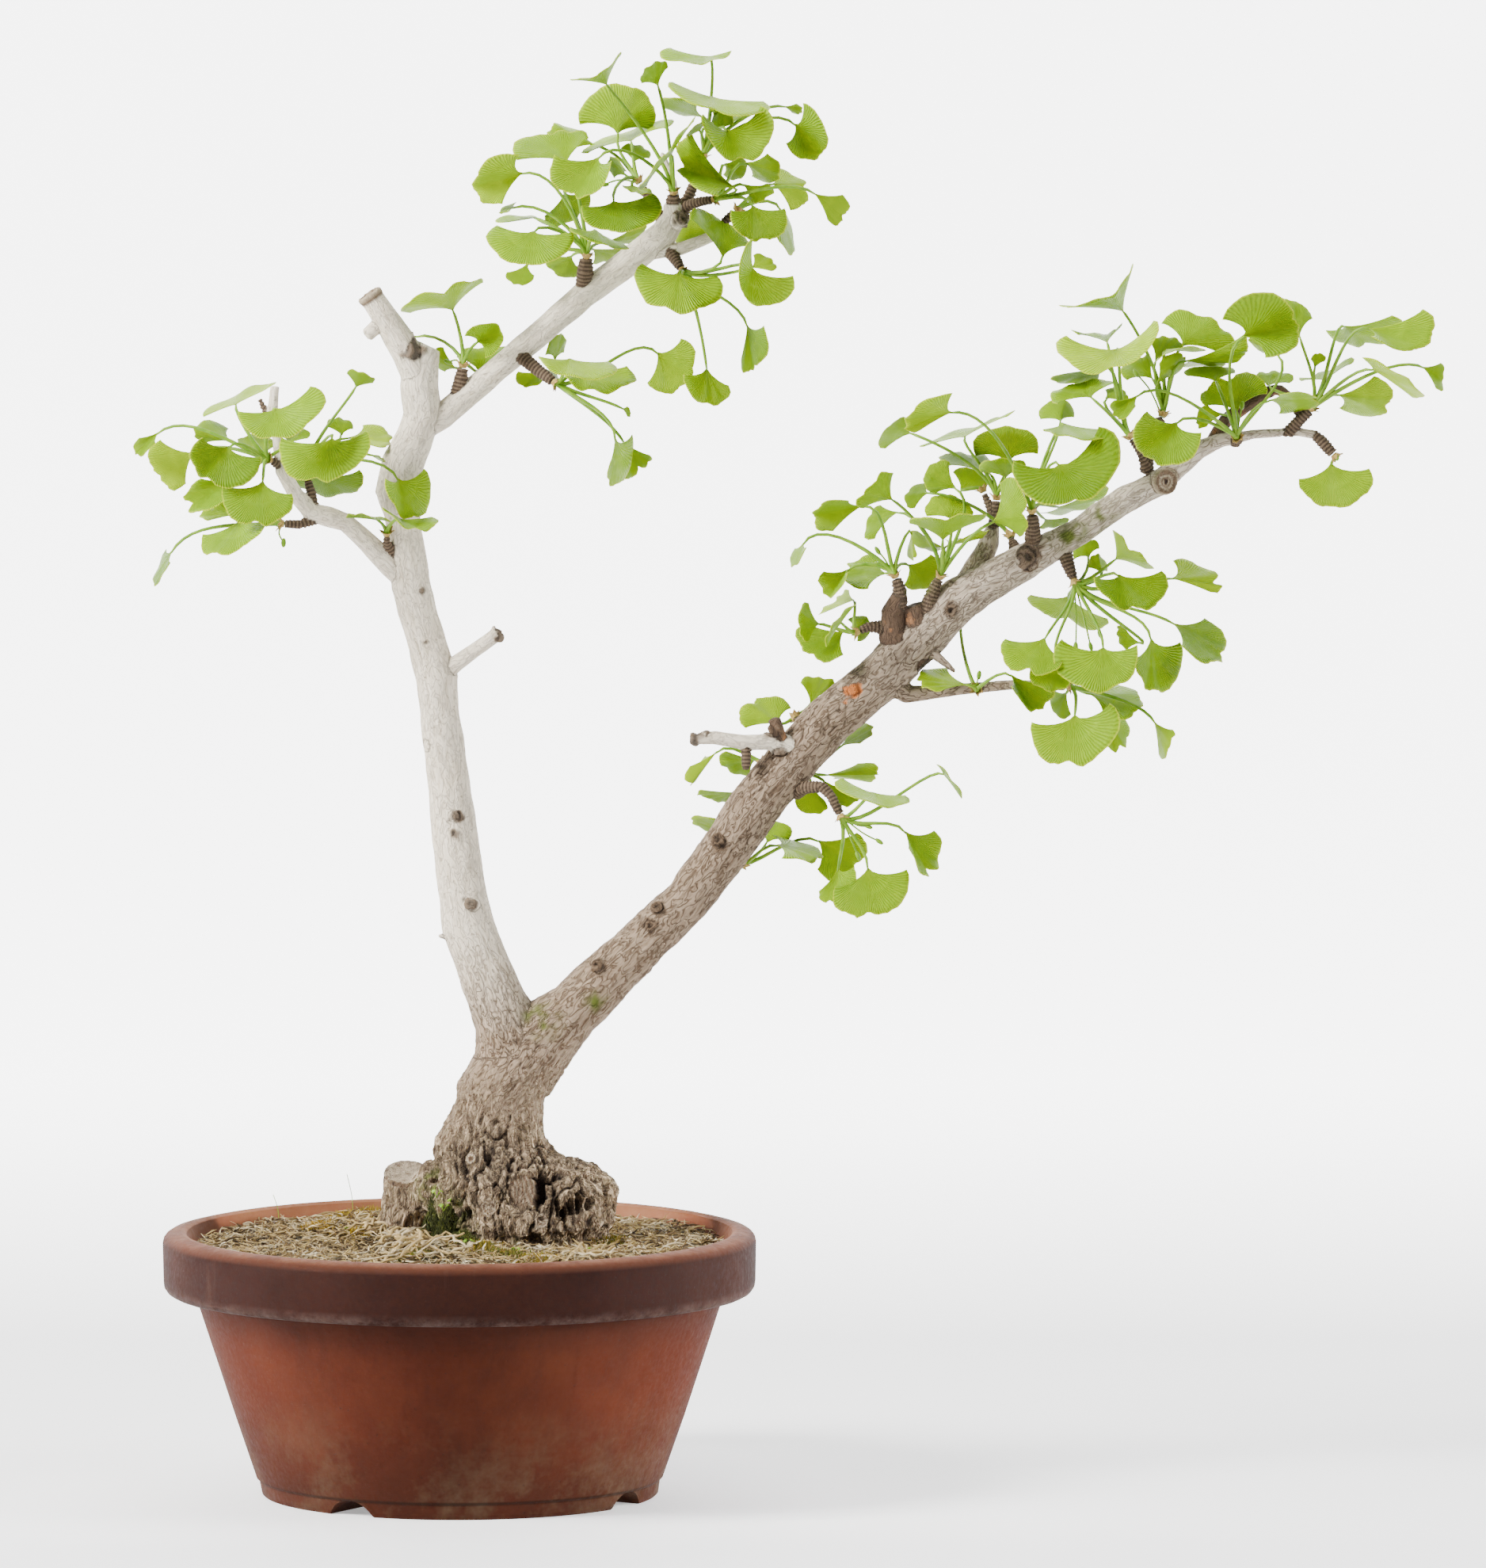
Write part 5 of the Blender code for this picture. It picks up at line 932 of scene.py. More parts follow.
def bark_material(colours):
    """Bark: ivory and finely streaked above, wrinkled and brown below, rugged on the foot, with painted
    shade in the foot's low places, creases and deep hollows.
    """
    made, tree, _ = new_material("ginkgo_bark", 0.85)
    along = attribute(tree, "grain", "Vector")
    spots = object_spots(tree)
    crack_and_shade, foot, low = (attribute(tree, name) for name in ("crack_and_shade", "foot", "low"))
    fine, _ = grain(tree, along, 640.0, 0.14)
    _, net = grain(tree, along, 300.0, 0.42)
    wild, wild_cracks = grain(tree, spots, 330.0, 0.35)
    cloud = patches(tree, spots, 24.0, 0.38, 0.68)
    speck = patches(tree, spots, 420.0, 0.60, 0.68)
    colour = mix(tree, ranged(tree, fine, 0.3, 0.7), (0.56, 0.475, 0.35), colours.bark)
    colour = stained(tree, cloud, 0.35, colour, (0.70, 0.64, 0.53))
    streaked = mix(tree, ranged(tree, fine, 0.35, 0.65), (0.130, 0.079, 0.044),
                   (0.25, 0.175, 0.112))
    colour = stained(tree, low, 0.90, colour, streaked)
    thin = times(tree, net, ranged(tree, low, 0.0, 1.0, 0.34, 1.0))
    colour = stained(tree, thin, 0.8, colour, (0.050, 0.028, 0.015))
    colour = stained(tree, speck, 0.4, colour, (0.16, 0.115, 0.075))
    rugged = mix(tree, ranged(tree, wild, 0.35, 0.60), (0.045, 0.025, 0.013),
                 (0.37, 0.275, 0.170))
    rugged = stained(tree, cloud, 0.25, rugged, (0.10, 0.068, 0.040))
    rugged = stained(tree, wild_cracks, 0.7, rugged,
                 (0.016, 0.010, 0.006))
    colour = mix(tree, foot, colour, rugged)
    # Cracks, and the foot's painted shade in low places and hollows, take the crack colour.
    deep = times(tree, ranged(tree, crack_and_shade, 0.12, 0.8), ranged(tree, foot, 0.0, 1.0, 0.5, 0.97))
    colour = mix(tree, deep, colour, colours.bark_crack_and_shade)
    length = node(tree, "ShaderNodeSeparateXYZ", {0: along}).outputs[2]
    rings = math_of(tree, "SINE", times(tree, length, SPUR_RING_WAVE))
    spur = mix(tree, ranged(tree, rings, -0.6, 0.9), (0.040, 0.025, 0.016), (0.15, 0.105, 0.066))
    spur = stained(tree, fine, 0.5, spur, (0.10, 0.07, 0.045))
    colour = mix(tree, attribute(tree, "ringed"), colour, spur)
    char = mix(tree, fine, (0.012, 0.008, 0.006), (0.16, 0.10, 0.062))
    char = mix(tree, patches(tree, along, 90.0, 0.58, 0.66), char, (0.22, 0.105, 0.048))
    colour = mix(tree, attribute(tree, "dark"), colour, char)
    tone = attribute(tree, "tone")
    scar = mix(tree, ranged(tree, tone, 0.0, 0.35), (0.40, 0.33, 0.23), (0.12, 0.078, 0.047))
    scar = mix(tree, ranged(tree, tone, 0.38, 0.7), scar, (0.022, 0.013, 0.008))
    scar = mix(tree, ranged(tree, tone, 0.8, 0.95), scar, (0.42, 0.13, 0.032))
    colour = mix(tree, attribute(tree, "scar"), colour, scar)
    mossy = mix(tree, wild, (0.012, 0.016, 0.005), (0.13, 0.16, 0.02))
    colour = mix(tree, attribute(tree, "moss"), colour, mossy)
    smooth = sum_of(tree, (fine, 0.8), (thin, -0.8), (speck, -0.3))
    rough = sum_of(tree, (wild, 1.6), (wild_cracks, -1.2))
    rough = times(tree, rough, foot)
    return coated(made, colour, math_of(tree, "ADD", smooth, rough), 1.0, 0.0009)


def terracotta_material(colours):
    """Fired clay: a dark red-brown collar, an orange body, salt bloom, drips, stains and grit, with a
    painted highlight on the lip's top, a painted lit inner wall, and painted shade under the collar and in
    the foot's step.
    """
    made, tree, shader = new_material("terracotta", 0.75)
    spots = object_spots(tree)
    height = node(tree, "ShaderNodeSeparateXYZ", {0: spots}).outputs[2]
    cloud = patches(tree, spots, 9.0, 0.36, 0.66)
    fine = patches(tree, spots, 300.0, 0.3, 0.7)
    speck = patches(tree, spots, 520.0, 0.64, 0.70)
    drips = patches(tree, stretched(tree, spots, (1.0, 1.0, 0.10)), 60.0, 0.62, 0.74)
    smears = patches(tree, stretched(tree, spots, (1.0, 1.0, 0.35)), 26.0, 0.48, 0.80, 0.75)
    body = mix(tree, cloud, colours.body, (0.0500, 0.0105, 0.0032))
    body = stained(tree, smears, 0.6, body, (0.0164, 0.0042, 0.0023))
    body = mix(tree, ranged(tree, height, 0.060, 0.0, 0.0, 0.45), body, (0.0281, 0.0103, 0.0051))
    stain = patches(tree, spots, 15.0, 0.46, 0.68, 0.8)
    grey = times(tree, stain, ranged(tree, height, 0.070, 0.012))
    body = stained(tree, grey, 0.62, body, (0.0702, 0.0468, 0.0271))
    # Painted shade: the body is painted darker towards the collar, under its overhang.
    under = ranged(tree, height, 0.096, 0.119)
    body = stained(tree, under, 0.6, body, (0.0164, 0.0042, 0.0023))
    # Painted shade: a dark line painted in the step where the body meets the foot.
    above, below = ranged(tree, height, 0.0080, 0.0092), ranged(tree, height, 0.0112, 0.0100)
    line = times(tree, above, below)
    body = stained(tree, line, 0.7, body, (0.0056, 0.0023, 0.0014))
    band = mix(tree, cloud, colours.band, (0.0165, 0.0042, 0.0024))
    # Painted highlight: the rounded top of the lip is painted much lighter than the collar.
    band = stained(tree, ranged(tree, height, 0.1500, 0.1558), 0.85, band,
               (0.0889, 0.0304, 0.0154))
    salt = patches(tree, spots, 34.0, 0.38, 0.60, 0.8)
    salted = times(tree, ranged(tree, height, 0.1275, 0.1215), salt)
    band = stained(tree, salted, 0.55, band, (0.0725, 0.0491, 0.0421))
    band = stained(tree, drips, 0.20, band, (0.0608, 0.0351, 0.0271))
    colour = mix(tree, ranged(tree, height, 0.1190, 0.1196), body, band)
    chips = patches(tree, spots, 60.0, 0.35, 0.6)
    worn = times(tree, ranged(tree, height, 0.1535, 0.1558), chips)
    colour = stained(tree, worn, 0.7, colour, (0.1404, 0.0585, 0.0309))
    colour = stained(tree, fine, 0.12, colour, (0.0600, 0.0215, 0.0105))
    colour = stained(tree, speck, 0.4, colour, (0.0094, 0.0037, 0.0023))
    # Painted light: the inner wall below the lip is painted much lighter, as lit by the lamps.
    flat = stretched(tree, spots, (1.0, 1.0, 0.0))
    radius = node(tree, "ShaderNodeVectorMath", {0: flat}, operation="LENGTH").outputs[1]
    inner = times(tree, ranged(tree, radius, 0.1645, 0.1620),
                    ranged(tree, height, 0.140, 0.145))
    inside = mix(tree, cloud, (0.13, 0.045, 0.020), (0.21, 0.090, 0.045))
    colour = mix(tree, inner, colour, inside)
    feed(tree, shader, {"Specular IOR Level": 0.08, "Roughness": ranged(tree, fine, 0.0, 1.0, 0.62, 0.85)})
    lines = node(tree, "ShaderNodeTexNoise", {
        "Vector": stretched(tree, spots, (2.0, 2.0, 260.0)), "Scale": 1.0, "Detail": 3.0}).outputs[0]
    relief = sum_of(tree, (lines, 0.5), (fine, 0.35), (speck, -0.5), (stain, 0.2))
    return coated(made, colour, relief, 0.5, 0.0007)


def soil_material(colours):
    """Dark crumbly soil with greenish patches under the fibres."""
    made, tree, _ = new_material("soil_bed", 0.95)
    spots = object_spots(tree)
    fine = patches(tree, spots, 260.0, 0.35, 0.65)
    cloud = patches(tree, spots, 34.0, 0.45, 0.62)
    colour = mix(tree, fine, colours.soil, (0.0808, 0.0528, 0.0249))
    colour = stained(tree, cloud, 0.4, colour, (0.0435, 0.0435, 0.0075))
    return coated(made, colour, fine, 1.0, 0.002)


def shred_material():
    """Dry fibres, each with its own tone between dark brown, tan, straw and grey white."""
    made, tree, _ = new_material("dry_fibre", 0.85)
    tone = attribute(tree, "tone")
    fine = patches(tree, object_spots(tree), 700.0, 0.35, 0.65)
    colour = mix(tree, ranged(tree, tone, 0.0, 0.35), (0.0218, 0.0124, 0.0062), (0.1057, 0.0653, 0.0261))
    colour = mix(tree, ranged(tree, tone, 0.35, 0.70), colour, (0.3232, 0.23, 0.0901))
    colour = mix(tree, ranged(tree, tone, 0.72, 1.0), colour, (0.46, 0.3916, 0.2611))
    colour = stained(tree, fine, 0.3, colour, (0.0746, 0.0435, 0.0186))
    return coated(made, colour, fine, 0.4, 0.0003)


def moss_material():
    """Moss, from nearly black green to gold by each leaflet's tone."""
    made, tree, _ = new_material("moss", 0.8)
    tone = attribute(tree, "tone")
    fine = patches(tree, object_spots(tree), 500.0, 0.35, 0.65)
    colour = mix(tree, ranged(tree, tone, 0.0, 0.5), (0.006, 0.009, 0.001), (0.050, 0.058, 0.004))
    colour = mix(tree, ranged(tree, tone, 0.5, 0.9), colour, (0.26, 0.150, 0.010))
    colour = stained(tree, fine, 0.3, colour, (0.070, 0.078, 0.007))
    return coated(made, colour, fine, 0.4, 0.0003)


# Meshes that several pieces use


def tangents(points):
    """The way of a line at each of its points."""
    last = len(points) - 1
    ends = [(points[max(i - 1, 0)], points[min(i + 1, last)]) for i in range(last + 1)]
    return [(after - before).normalized() for before, after in ends]


def add_tube(bm, points, radii, sides, flatten=1.0):
    """A closed tapered tube: a disc that is extruded from point to point and turned on the way."""
    ways = tangents(points)
    turn = ways[0].to_track_quat("Z", "Y").to_matrix().to_4x4()
    place = Matrix.Translation(points[0]) @ turn @ Matrix.Diagonal((1.0, flatten, 1.0, 1.0))
    disc = bmesh.ops.create_circle(bm, cap_ends=True, segments=sides, radius=radii[0], matrix=place)
    face = disc["verts"][0].link_faces[0]
    made = list(face.verts)
    first = face
    for i in range(1, len(points)):
        grown = bmesh.ops.extrude_face_region(bm, geom=[face])["geom"]
        if i > 1:
            bmesh.ops.delete(bm, geom=[face], context="FACES_ONLY")
        face = [item for item in grown if isinstance(item, bmesh.types.BMFace)][0]
        turn = ways[i - 1].rotation_difference(ways[i]).to_matrix()
        growth = radii[i] / radii[i - 1]
        for vertex in face.verts:
            vertex.co = points[i] + turn @ (vertex.co - points[i - 1]) * growth
        made.extend(face.verts)
    first.normal_flip()
    return made


def smooth_line(points, steps):
    """Points of a smooth line through these points."""
    line = []
    last = len(points) - 1
    for i in range(last):
        a, b = points[max(i - 1, 0)], points[i]
        c, d = points[i + 1], points[min(i + 2, last)]
        for step in range(steps):
            t = step / steps
            line.append(0.5 * (2 * b + (c - a) * t + (2 * a - 5 * b + 4 * c - d) * t * t
                               + (3 * b - a - 3 * c + d) * t ** 3))
    line.append(points[-1].copy())
    return line


# Pot


def pot_profile():
    """The outline that the pot is turned from: radius and height of each point."""
    return (
        (0.0001, 0), (FOOT_RADIUS - 0.001, 0), (FOOT_RADIUS, 0.001), (FOOT_RADIUS + 0.0015, FOOT_HEIGHT),
        (BODY_BOTTOM_RADIUS, FOOT_HEIGHT + 0.0014), (0.1325, 0.047), (0.1445, 0.083),
        (BODY_TOP_RADIUS, BAND_BOTTOM - 0.0005), (RIM_RADIUS - 0.0045, BAND_BOTTOM),
        (RIM_RADIUS - 0.0022, BAND_BOTTOM + 0.0012), (RIM_RADIUS - 0.0006, BAND_BOTTOM + 0.0036),
        (RIM_RADIUS - 0.0002, BAND_BOTTOM + 0.0065), (RIM_RADIUS, POT_HEIGHT - 0.0066),
        (RIM_RADIUS - 0.0005, POT_HEIGHT - 0.0044), (RIM_RADIUS - 0.0018, POT_HEIGHT - 0.0027),
        (RIM_RADIUS - 0.0040, POT_HEIGHT - 0.0013), (RIM_INNER_RADIUS + 0.0050, POT_HEIGHT),
        (RIM_INNER_RADIUS + 0.0022, POT_HEIGHT - 0.0001), (RIM_INNER_RADIUS + 0.0004, POT_HEIGHT - 0.0012),
        (RIM_INNER_RADIUS - 0.0004, POT_HEIGHT - 0.0036), (INNER_TOP_RADIUS, INNER_TOP_HEIGHT),
        (INNER_BOTTOM_RADIUS, INNER_BOTTOM_HEIGHT), (INNER_BOTTOM_RADIUS - 0.004, FLOOR_THICKNESS),
        (0.0001, FLOOR_THICKNESS))


def cylinder(radius, low, high, sides, place):
    bm = bmesh.new()
    middle = Matrix.Translation((0, 0, (low + high) / 2))
    bmesh.ops.create_cone(bm, cap_ends=True, segments=sides, radius1=radius, radius2=radius,
                          depth=high - low, matrix=place @ middle)
    return bm


def make_pot():
    """The pot, turned from its profile, with its drain holes and channels."""
    bm = bmesh.new()
    ring = [bm.verts.new((radius, 0, height)) for radius, height in pot_profile()]
    edges = [bm.edges.new(pair) for pair in zip(ring, ring[1:])]
    bmesh.ops.spin(bm, geom=ring + edges, cent=(0, 0, 0), axis=(0, 0, 1), angle=math.tau,
                   steps=POT_SIDES, use_merge=True)
    bmesh.ops.remove_doubles(bm, verts=bm.verts, dist=0.00006)
    for height in (0, FLOOR_THICKNESS):
        rim = [v for v in bm.verts if math.hypot(v.co.x, v.co.y) < 0.001 and abs(v.co.z - height) < 1e-6]
        if len(rim) > 1:
            bmesh.ops.pointmerge(bm, verts=rim, merge_co=(0, 0, height))
    bmesh.ops.recalc_face_normals(bm, faces=bm.faces)
    pot = add_object("pot_clay", bm)
    group = bpy.data.collections.new("drains")
    bpy.context.scene.collection.children.link(group)
    for number in range(DRAIN_COUNT):
        spin = Matrix.Rotation(DRAIN_FIRST_ANGLE + math.tau * number / DRAIN_COUNT, 4, "Z")
        hole_place = spin @ Matrix.Translation((DRAIN_HOLE_PLACE, 0, 0))
        lie = Matrix.Translation((0, 0, -CHANNEL_CENTRE_DROP)) @ Matrix.Rotation(math.pi / 2, 4, "Y")
        hole = cylinder(DRAIN_HOLE_RADIUS, -0.01, FLOOR_THICKNESS + 0.01, 32, hole_place)
        channel = cylinder(CHANNEL_RADIUS, DRAIN_HOLE_PLACE, RIM_RADIUS, 48, spin @ lie)
        for cutter in (hole, channel):
            group.objects.link(add_object("drain", cutter))
    cut = pot.modifiers.new("drains", "BOOLEAN")
    cut.operation = "DIFFERENCE"
    cut.operand_type = "COLLECTION"
    cut.collection = group
    cut.solver = "EXACT"
    apply_modifiers(pot)
    for cutter in list(group.objects):
        bpy.data.objects.remove(cutter, do_unlink=True)
    bpy.data.collections.remove(group)
    for vertex in pot.data.vertices:
        if vertex.co.z > 0.002:
            out = Vector((vertex.co.x, vertex.co.y, 0))
            uneven = noise.noise(vertex.co * 14) * 0.0007 + noise.noise(vertex.co * 60) * 0.00018
            vertex.co += out.normalized() * uneven
    pot.data.materials.clear()
    return pot


# Soil


def crust_height(x, y):
    """The soil's top: the part's own low mound with clods and hollows on it."""
    far = math.hypot(x - SOIL_MOUND_PLACE[0], y - SOIL_MOUND_PLACE[1]) / SOIL_MOUND_SPREAD
    level = SOIL_EDGE_HEIGHT + SOIL_INNER_RISE + SOIL_MOUND * math.exp(-far * far)
    for scale, seed, height in CRUST_NOISE:
        level += noise.noise(Vector((x, y, seed)) * scale) * height
    edge = max(0.0, (math.hypot(x, y) - CRUST_EDGE_START) / CRUST_EDGE_WIDTH)
    return level + CRUST_THICKNESS - CRUST_EDGE_DROP * edge * edge


def in_burl(x, y, margin):
    """Whether the burl or its stump stands here, with a margin round them."""
    across = (x - BURL_MIDDLE[0]) / (BURL_REACH[0] + margin)
    inward = (y - BURL_MIDDLE[1]) / (BURL_REACH[1] + margin)
    to_stump = math.hypot(x - STUMP_FOOT[0], y - STUMP_FOOT[1])
    return math.hypot(across, inward) < 1 or to_stump < STUMP_RADIUS + margin


def make_crust():
    """The uneven surface of the soil, as a thin closed sheet."""
    bm = bmesh.new()
    bmesh.ops.create_grid(bm, x_segments=CRUST_STEPS, y_segments=CRUST_STEPS, size=1.0)
    for vertex in bm.verts:
        x, y = vertex.co.x, vertex.co.y
        across = x * math.sqrt(max(0.0, 1 - y * y / 2)) * SOIL_RADIUS
        inward = y * math.sqrt(max(0.0, 1 - x * x / 2)) * SOIL_RADIUS
        vertex.co = Vector((across, inward, crust_height(across, inward)))
    bm.normal_update()
    bmesh.ops.solidify(bm, geom=bm.faces, thickness=CRUST_SHELL)
    bmesh.ops.recalc_face_normals(bm, faces=bm.faces)
    return add_object("soil_crust", bm)


def shred_mesh(draw, length):
    """One dry fibre, bent and lying along X."""
    bm = bmesh.new()
    bend = draw.uniform(-0.35, 0.35)
    lift = draw.uniform(0.0, 0.30)
    points = []
    for i in range(4):
        t = i / 3 - 0.5
        points.append(Vector((t, bend * (0.25 - t * t) * 2, lift * (0.25 - t * t) * 1.2)) * length)
    width = draw.uniform(0.0003, 0.00085)
    add_tube(bm, points, [width * 0.5, width, width * 0.8, width * 0.3], 3, draw.uniform(0.35, 1.0))
    return mesh_of("shred", bm)


def scatter(bm, mesh, place, tone, layer):
    """Adds a copy of a small mesh at a place, with a tone."""
    start = len(bm.verts)
    bm.from_mesh(mesh)
    bm.verts.ensure_lookup_table()
    fresh = bm.verts[start:]
    for vertex in fresh:
        vertex.co = place @ vertex.co
        vertex[layer] = tone


def make_shreds(sizes):
    """Thousands of dry fibres on the soil, in two pieces."""
    draw = random.Random(11)
    kinds = [shred_mesh(draw, sizes.shred_length * draw.uniform(0.45, 1.6))
             for _ in range(FIBRE_KINDS)]
    made = []
    for half in range(2):
        bm = bmesh.new()
        layer = bm.verts.layers.float.new("tone")
        for _ in range(sizes.shred_count // 2):
            far = SOIL_RADIUS * math.sqrt(draw.random()) * 0.985
            angle = draw.uniform(0, math.tau)
            x, y = far * math.cos(angle), far * math.sin(angle)
            if in_burl(x, y, -0.001):
                continue
            height = crust_height(x, y) + draw.uniform(-0.0004, 0.0030)
            turn = Matrix.Rotation(draw.uniform(0, math.tau), 4, "Z")
            tilt = Matrix.Rotation(draw.gauss(0, 0.28), 4, "Y") @ Matrix.Rotation(draw.uniform(0, 6), 4, "X")
            place = Matrix.Translation((x, y, height)) @ turn @ tilt
            bare = noise.noise(Vector((x, y, 0)) * 40)
            tone = clamp(draw.betavariate(1.9, 1.2) + bare * 0.35)
            scatter(bm, draw.choice(kinds), place, tone, layer)
        keep_in_pot(bm)
        made.append(add_object("soil_fibres_%d" % (half + 1), bm))
    for mesh in kinds:
        bpy.data.meshes.remove(mesh)
    return made


def keep_in_pot(bm):
    """Pulls in what would cross the pot's inner wall."""
    slope = (RIM_INNER_RADIUS - INNER_TOP_RADIUS) / (POT_HEIGHT - INNER_TOP_HEIGHT)
    for vertex in bm.verts:
        far = math.hypot(vertex.co.x, vertex.co.y)
        limit = INNER_TOP_RADIUS - WALL_GAP + max(0.0, vertex.co.z - INNER_TOP_HEIGHT) * slope
        if far > limit:
            vertex.co.x *= limit / far
            vertex.co.y *= limit / far


def make_strands():
    """Pale dead roots that lie in tangles on the soil in front of the stump."""
    bm = bmesh.new()
    layer = bm.verts.layers.float.new("tone")
    draw = random.Random(5)
    for strand in ROOT_STRANDS:
        for _ in range(STRANDS_ON_A_LINE):
            points = []
            for column, row in strand:
                spot = on_height(column + draw.uniform(-14, 14), row + draw.uniform(-8, 8), SOIL_LEVEL)
                spot.z = crust_height(spot.x, spot.y) + draw.uniform(0.0008, 0.0085)
                points.append(spot)
            line = smooth_line(points, 6)
            for i, spot in enumerate(line):
                line[i] = spot + noise.noise_vector(spot * 190) * 0.0026
            width = draw.uniform(0.0006, 0.0018)
            radii = [width * (0.4 + 0.6 * math.sin(math.pi * (i + 0.7) / (len(line) + 1)))
                     for i in range(len(line))]
            tone = draw.uniform(0.55, 0.95)
            for vertex in add_tube(bm, line, radii, 5, 0.7):
                vertex[layer] = tone
    keep_in_pot(bm)
    return add_object("dead_roots", bm)


def make_moss():
    """Moss in tufts of small pointed leaflets, dark green by the burl and golden to the left."""
    draw = random.Random(3)
    bm = bmesh.new()
    layer = bm.verts.layers.float.new("tone")
    leaflet = bmesh.new()
    bmesh.ops.create_cone(leaflet, cap_ends=True, segments=4, radius1=0.00038, radius2=0.00004,
                          depth=0.0030, matrix=Matrix.Translation((0, 0, 0.0012)))
    mesh = mesh_of("leaflet", leaflet)
    for column, row, spread, rise, count, gold in MOSS_TUFTS:
        middle = on_height(column, row, SOIL_LEVEL)
        for _ in range(count):
            x = middle.x + draw.gauss(0, spread * 0.6)
            y = middle.y + draw.gauss(0, spread * 0.9)
            if in_burl(x, y, -0.0015) or math.hypot(x, y) > 0.153:
                continue
            near = math.exp(-((x - middle.x) ** 2 + (y - middle.y) ** 2) / (spread * spread))
            height = crust_height(x, y) + near * rise * draw.random() ** 0.5
            lean = Matrix.Rotation(draw.gauss(0, 0.5), 4, "X") @ Matrix.Rotation(draw.gauss(0, 0.5), 4, "Y")
            place = Matrix.Translation((x, y, height)) @ lean @ Matrix.Scale(draw.uniform(0.6, 1.3), 4)
            scatter(bm, mesh, place, clamp(gold + draw.gauss(0, 0.12)), layer)
    bpy.data.meshes.remove(mesh)
    return add_object("moss_tufts", bm)


def make_seedlings():
    """Tiny bright seedlings and two hair-like stalks."""
    bm = bmesh.new()
    draw = random.Random(8)
    feet = [on_height(column, row, SOIL_LEVEL) for column, row in SEEDLINGS]
    for foot in feet:
        foot.z = crust_height(foot.x, foot.y)
    for foot in feet + [at(column, row, -27) for column, row in MOSS_SEEDLINGS]:
        for turn in range(draw.choice((2, 3, 4))):
            angle = turn * 2.1 + draw.uniform(-0.3, 0.3)
            tip = foot + Vector((math.cos(angle) * 0.0028, math.sin(angle) * 0.0028, 0.0042))
            add_tube(bm, [foot, (foot + tip) / 2 + Vector((0, 0, 0.001)), tip],
                     [0.00030, 0.00028, 0.00025], 5)
            place = Matrix.Translation(tip) @ Matrix.Rotation(angle, 4, "Z") @ Matrix.Rotation(0.5, 4, "Y")
            bmesh.ops.create_uvsphere(bm, u_segments=8, v_segments=5, radius=0.0014,
                                      matrix=place @ Matrix.Diagonal((1.3, 0.9, 0.28, 1)))
    for foot_at, tip_at in HAIR_STALKS:
        foot = on_height(*foot_at, SOIL_LEVEL)
        foot.z -= 0.002
        tip = at(*tip_at, foot.y / MM)
        line = smooth_line([foot, (foot + tip) / 2 + Vector((0.001, 0, 0)), tip], 4)
        add_tube(bm, line, [HAIR_RADIUS] * len(line), 5)
    bmesh.ops.recalc_face_normals(bm, faces=bm.faces)
    return add_object("seedlings", bm)


# Wood


def limb_samples():
    """Points along every limb and spur, each with its way, frame, radius, length so far and kind."""
    samples = []
    paths = [(name, path) for name, path in LIMBS.items()]
    paths += [(name, rosette.spur) for name, rosette in ROSETTES.items()]
    for number, (name, path) in enumerate(paths):
        points = [at(column, row, depth) for column, row, depth, _ in path]
        radii = [radius * MM for _, _, _, radius in path]
        ringed = 1.0 if name in ROSETTES or name in ("far_left_nub", "left_stub_spur") else 0.0
        dark = 1.0 if name in DARK_LIMBS else 0.0
        pale = path[0][0] < PALE_SIDE_END or name in PALE_LIMBS
        rough = PALE_BARK_ROUGHNESS if pale and name not in ROUGH_LIMBS else 1.0
        far = number * LIMB_SHIFT
        side = (points[1] - points[0]).orthogonal().normalized()
        for i in range(len(points) - 1):
            way = points[i + 1] - points[i]
            length = way.length
            way.normalize()
            side = (side - way * side.dot(way)).normalized()
            up = way.cross(side)
            steps = max(1, int(length / LIMB_STEP))
            for step in range(steps):
                t = step / steps
                radius = radii[i] * (1 - t) + radii[i + 1] * t
                place = points[i] + way * (length * t)
                samples.append((*place, *way, *side, *up, radius, far + length * t, ringed, dark, rough))
            far += length
    return numpy.array(samples)


def nearest_samples(places, samples):
    """For each place, the sample whose limb's surface is nearest."""
    best = numpy.zeros(len(places), dtype=int)
    for start in range(0, len(places), NEAREST_AT_ONCE):
        part = places[start:start + NEAREST_AT_ONCE]
        gap = numpy.sqrt(((part[:, None, :] - samples[None, :, :3]) ** 2).sum(2))
        best[start:start + NEAREST_AT_ONCE] = (gap - samples[None, :, 12]).argmin(1)
    return best


def cut_away(bm, plane, margin):
    """Removes what lies beyond a plane, moved out by a margin, and closes the cut."""
    middle, way = Vector(plane[0]), Vector(plane[1]).normalized()
    bmesh.ops.bisect_plane(bm, geom=bm.verts[:] + bm.edges[:] + bm.faces[:], dist=1e-7,
                           plane_co=middle + way * margin, plane_no=way, clear_outer=True)
    caps = bmesh.ops.holes_fill(bm, edges=[edge for edge in bm.edges if edge.is_boundary], sides=0)
    for cap in caps["faces"]:
        for edge in cap.edges:
            edge.smooth = False


def creases(spot, width):
    """1 on a net of fine winding lines and 0 between them."""
    bend = noise.noise_vector(spot * 0.55) * 0.55
    return max(0.0, 1 - abs(noise.noise(spot + bend)) / width)


def foot_share(point):
    """1 on the swollen foot, 0 on the trunks, and soft between."""
    uneven = FOOT_UNEVEN * noise.noise(point * 60)
    return clamp((FOOT_TOP[0][2] + uneven - point.z) / FOOT_FADE)


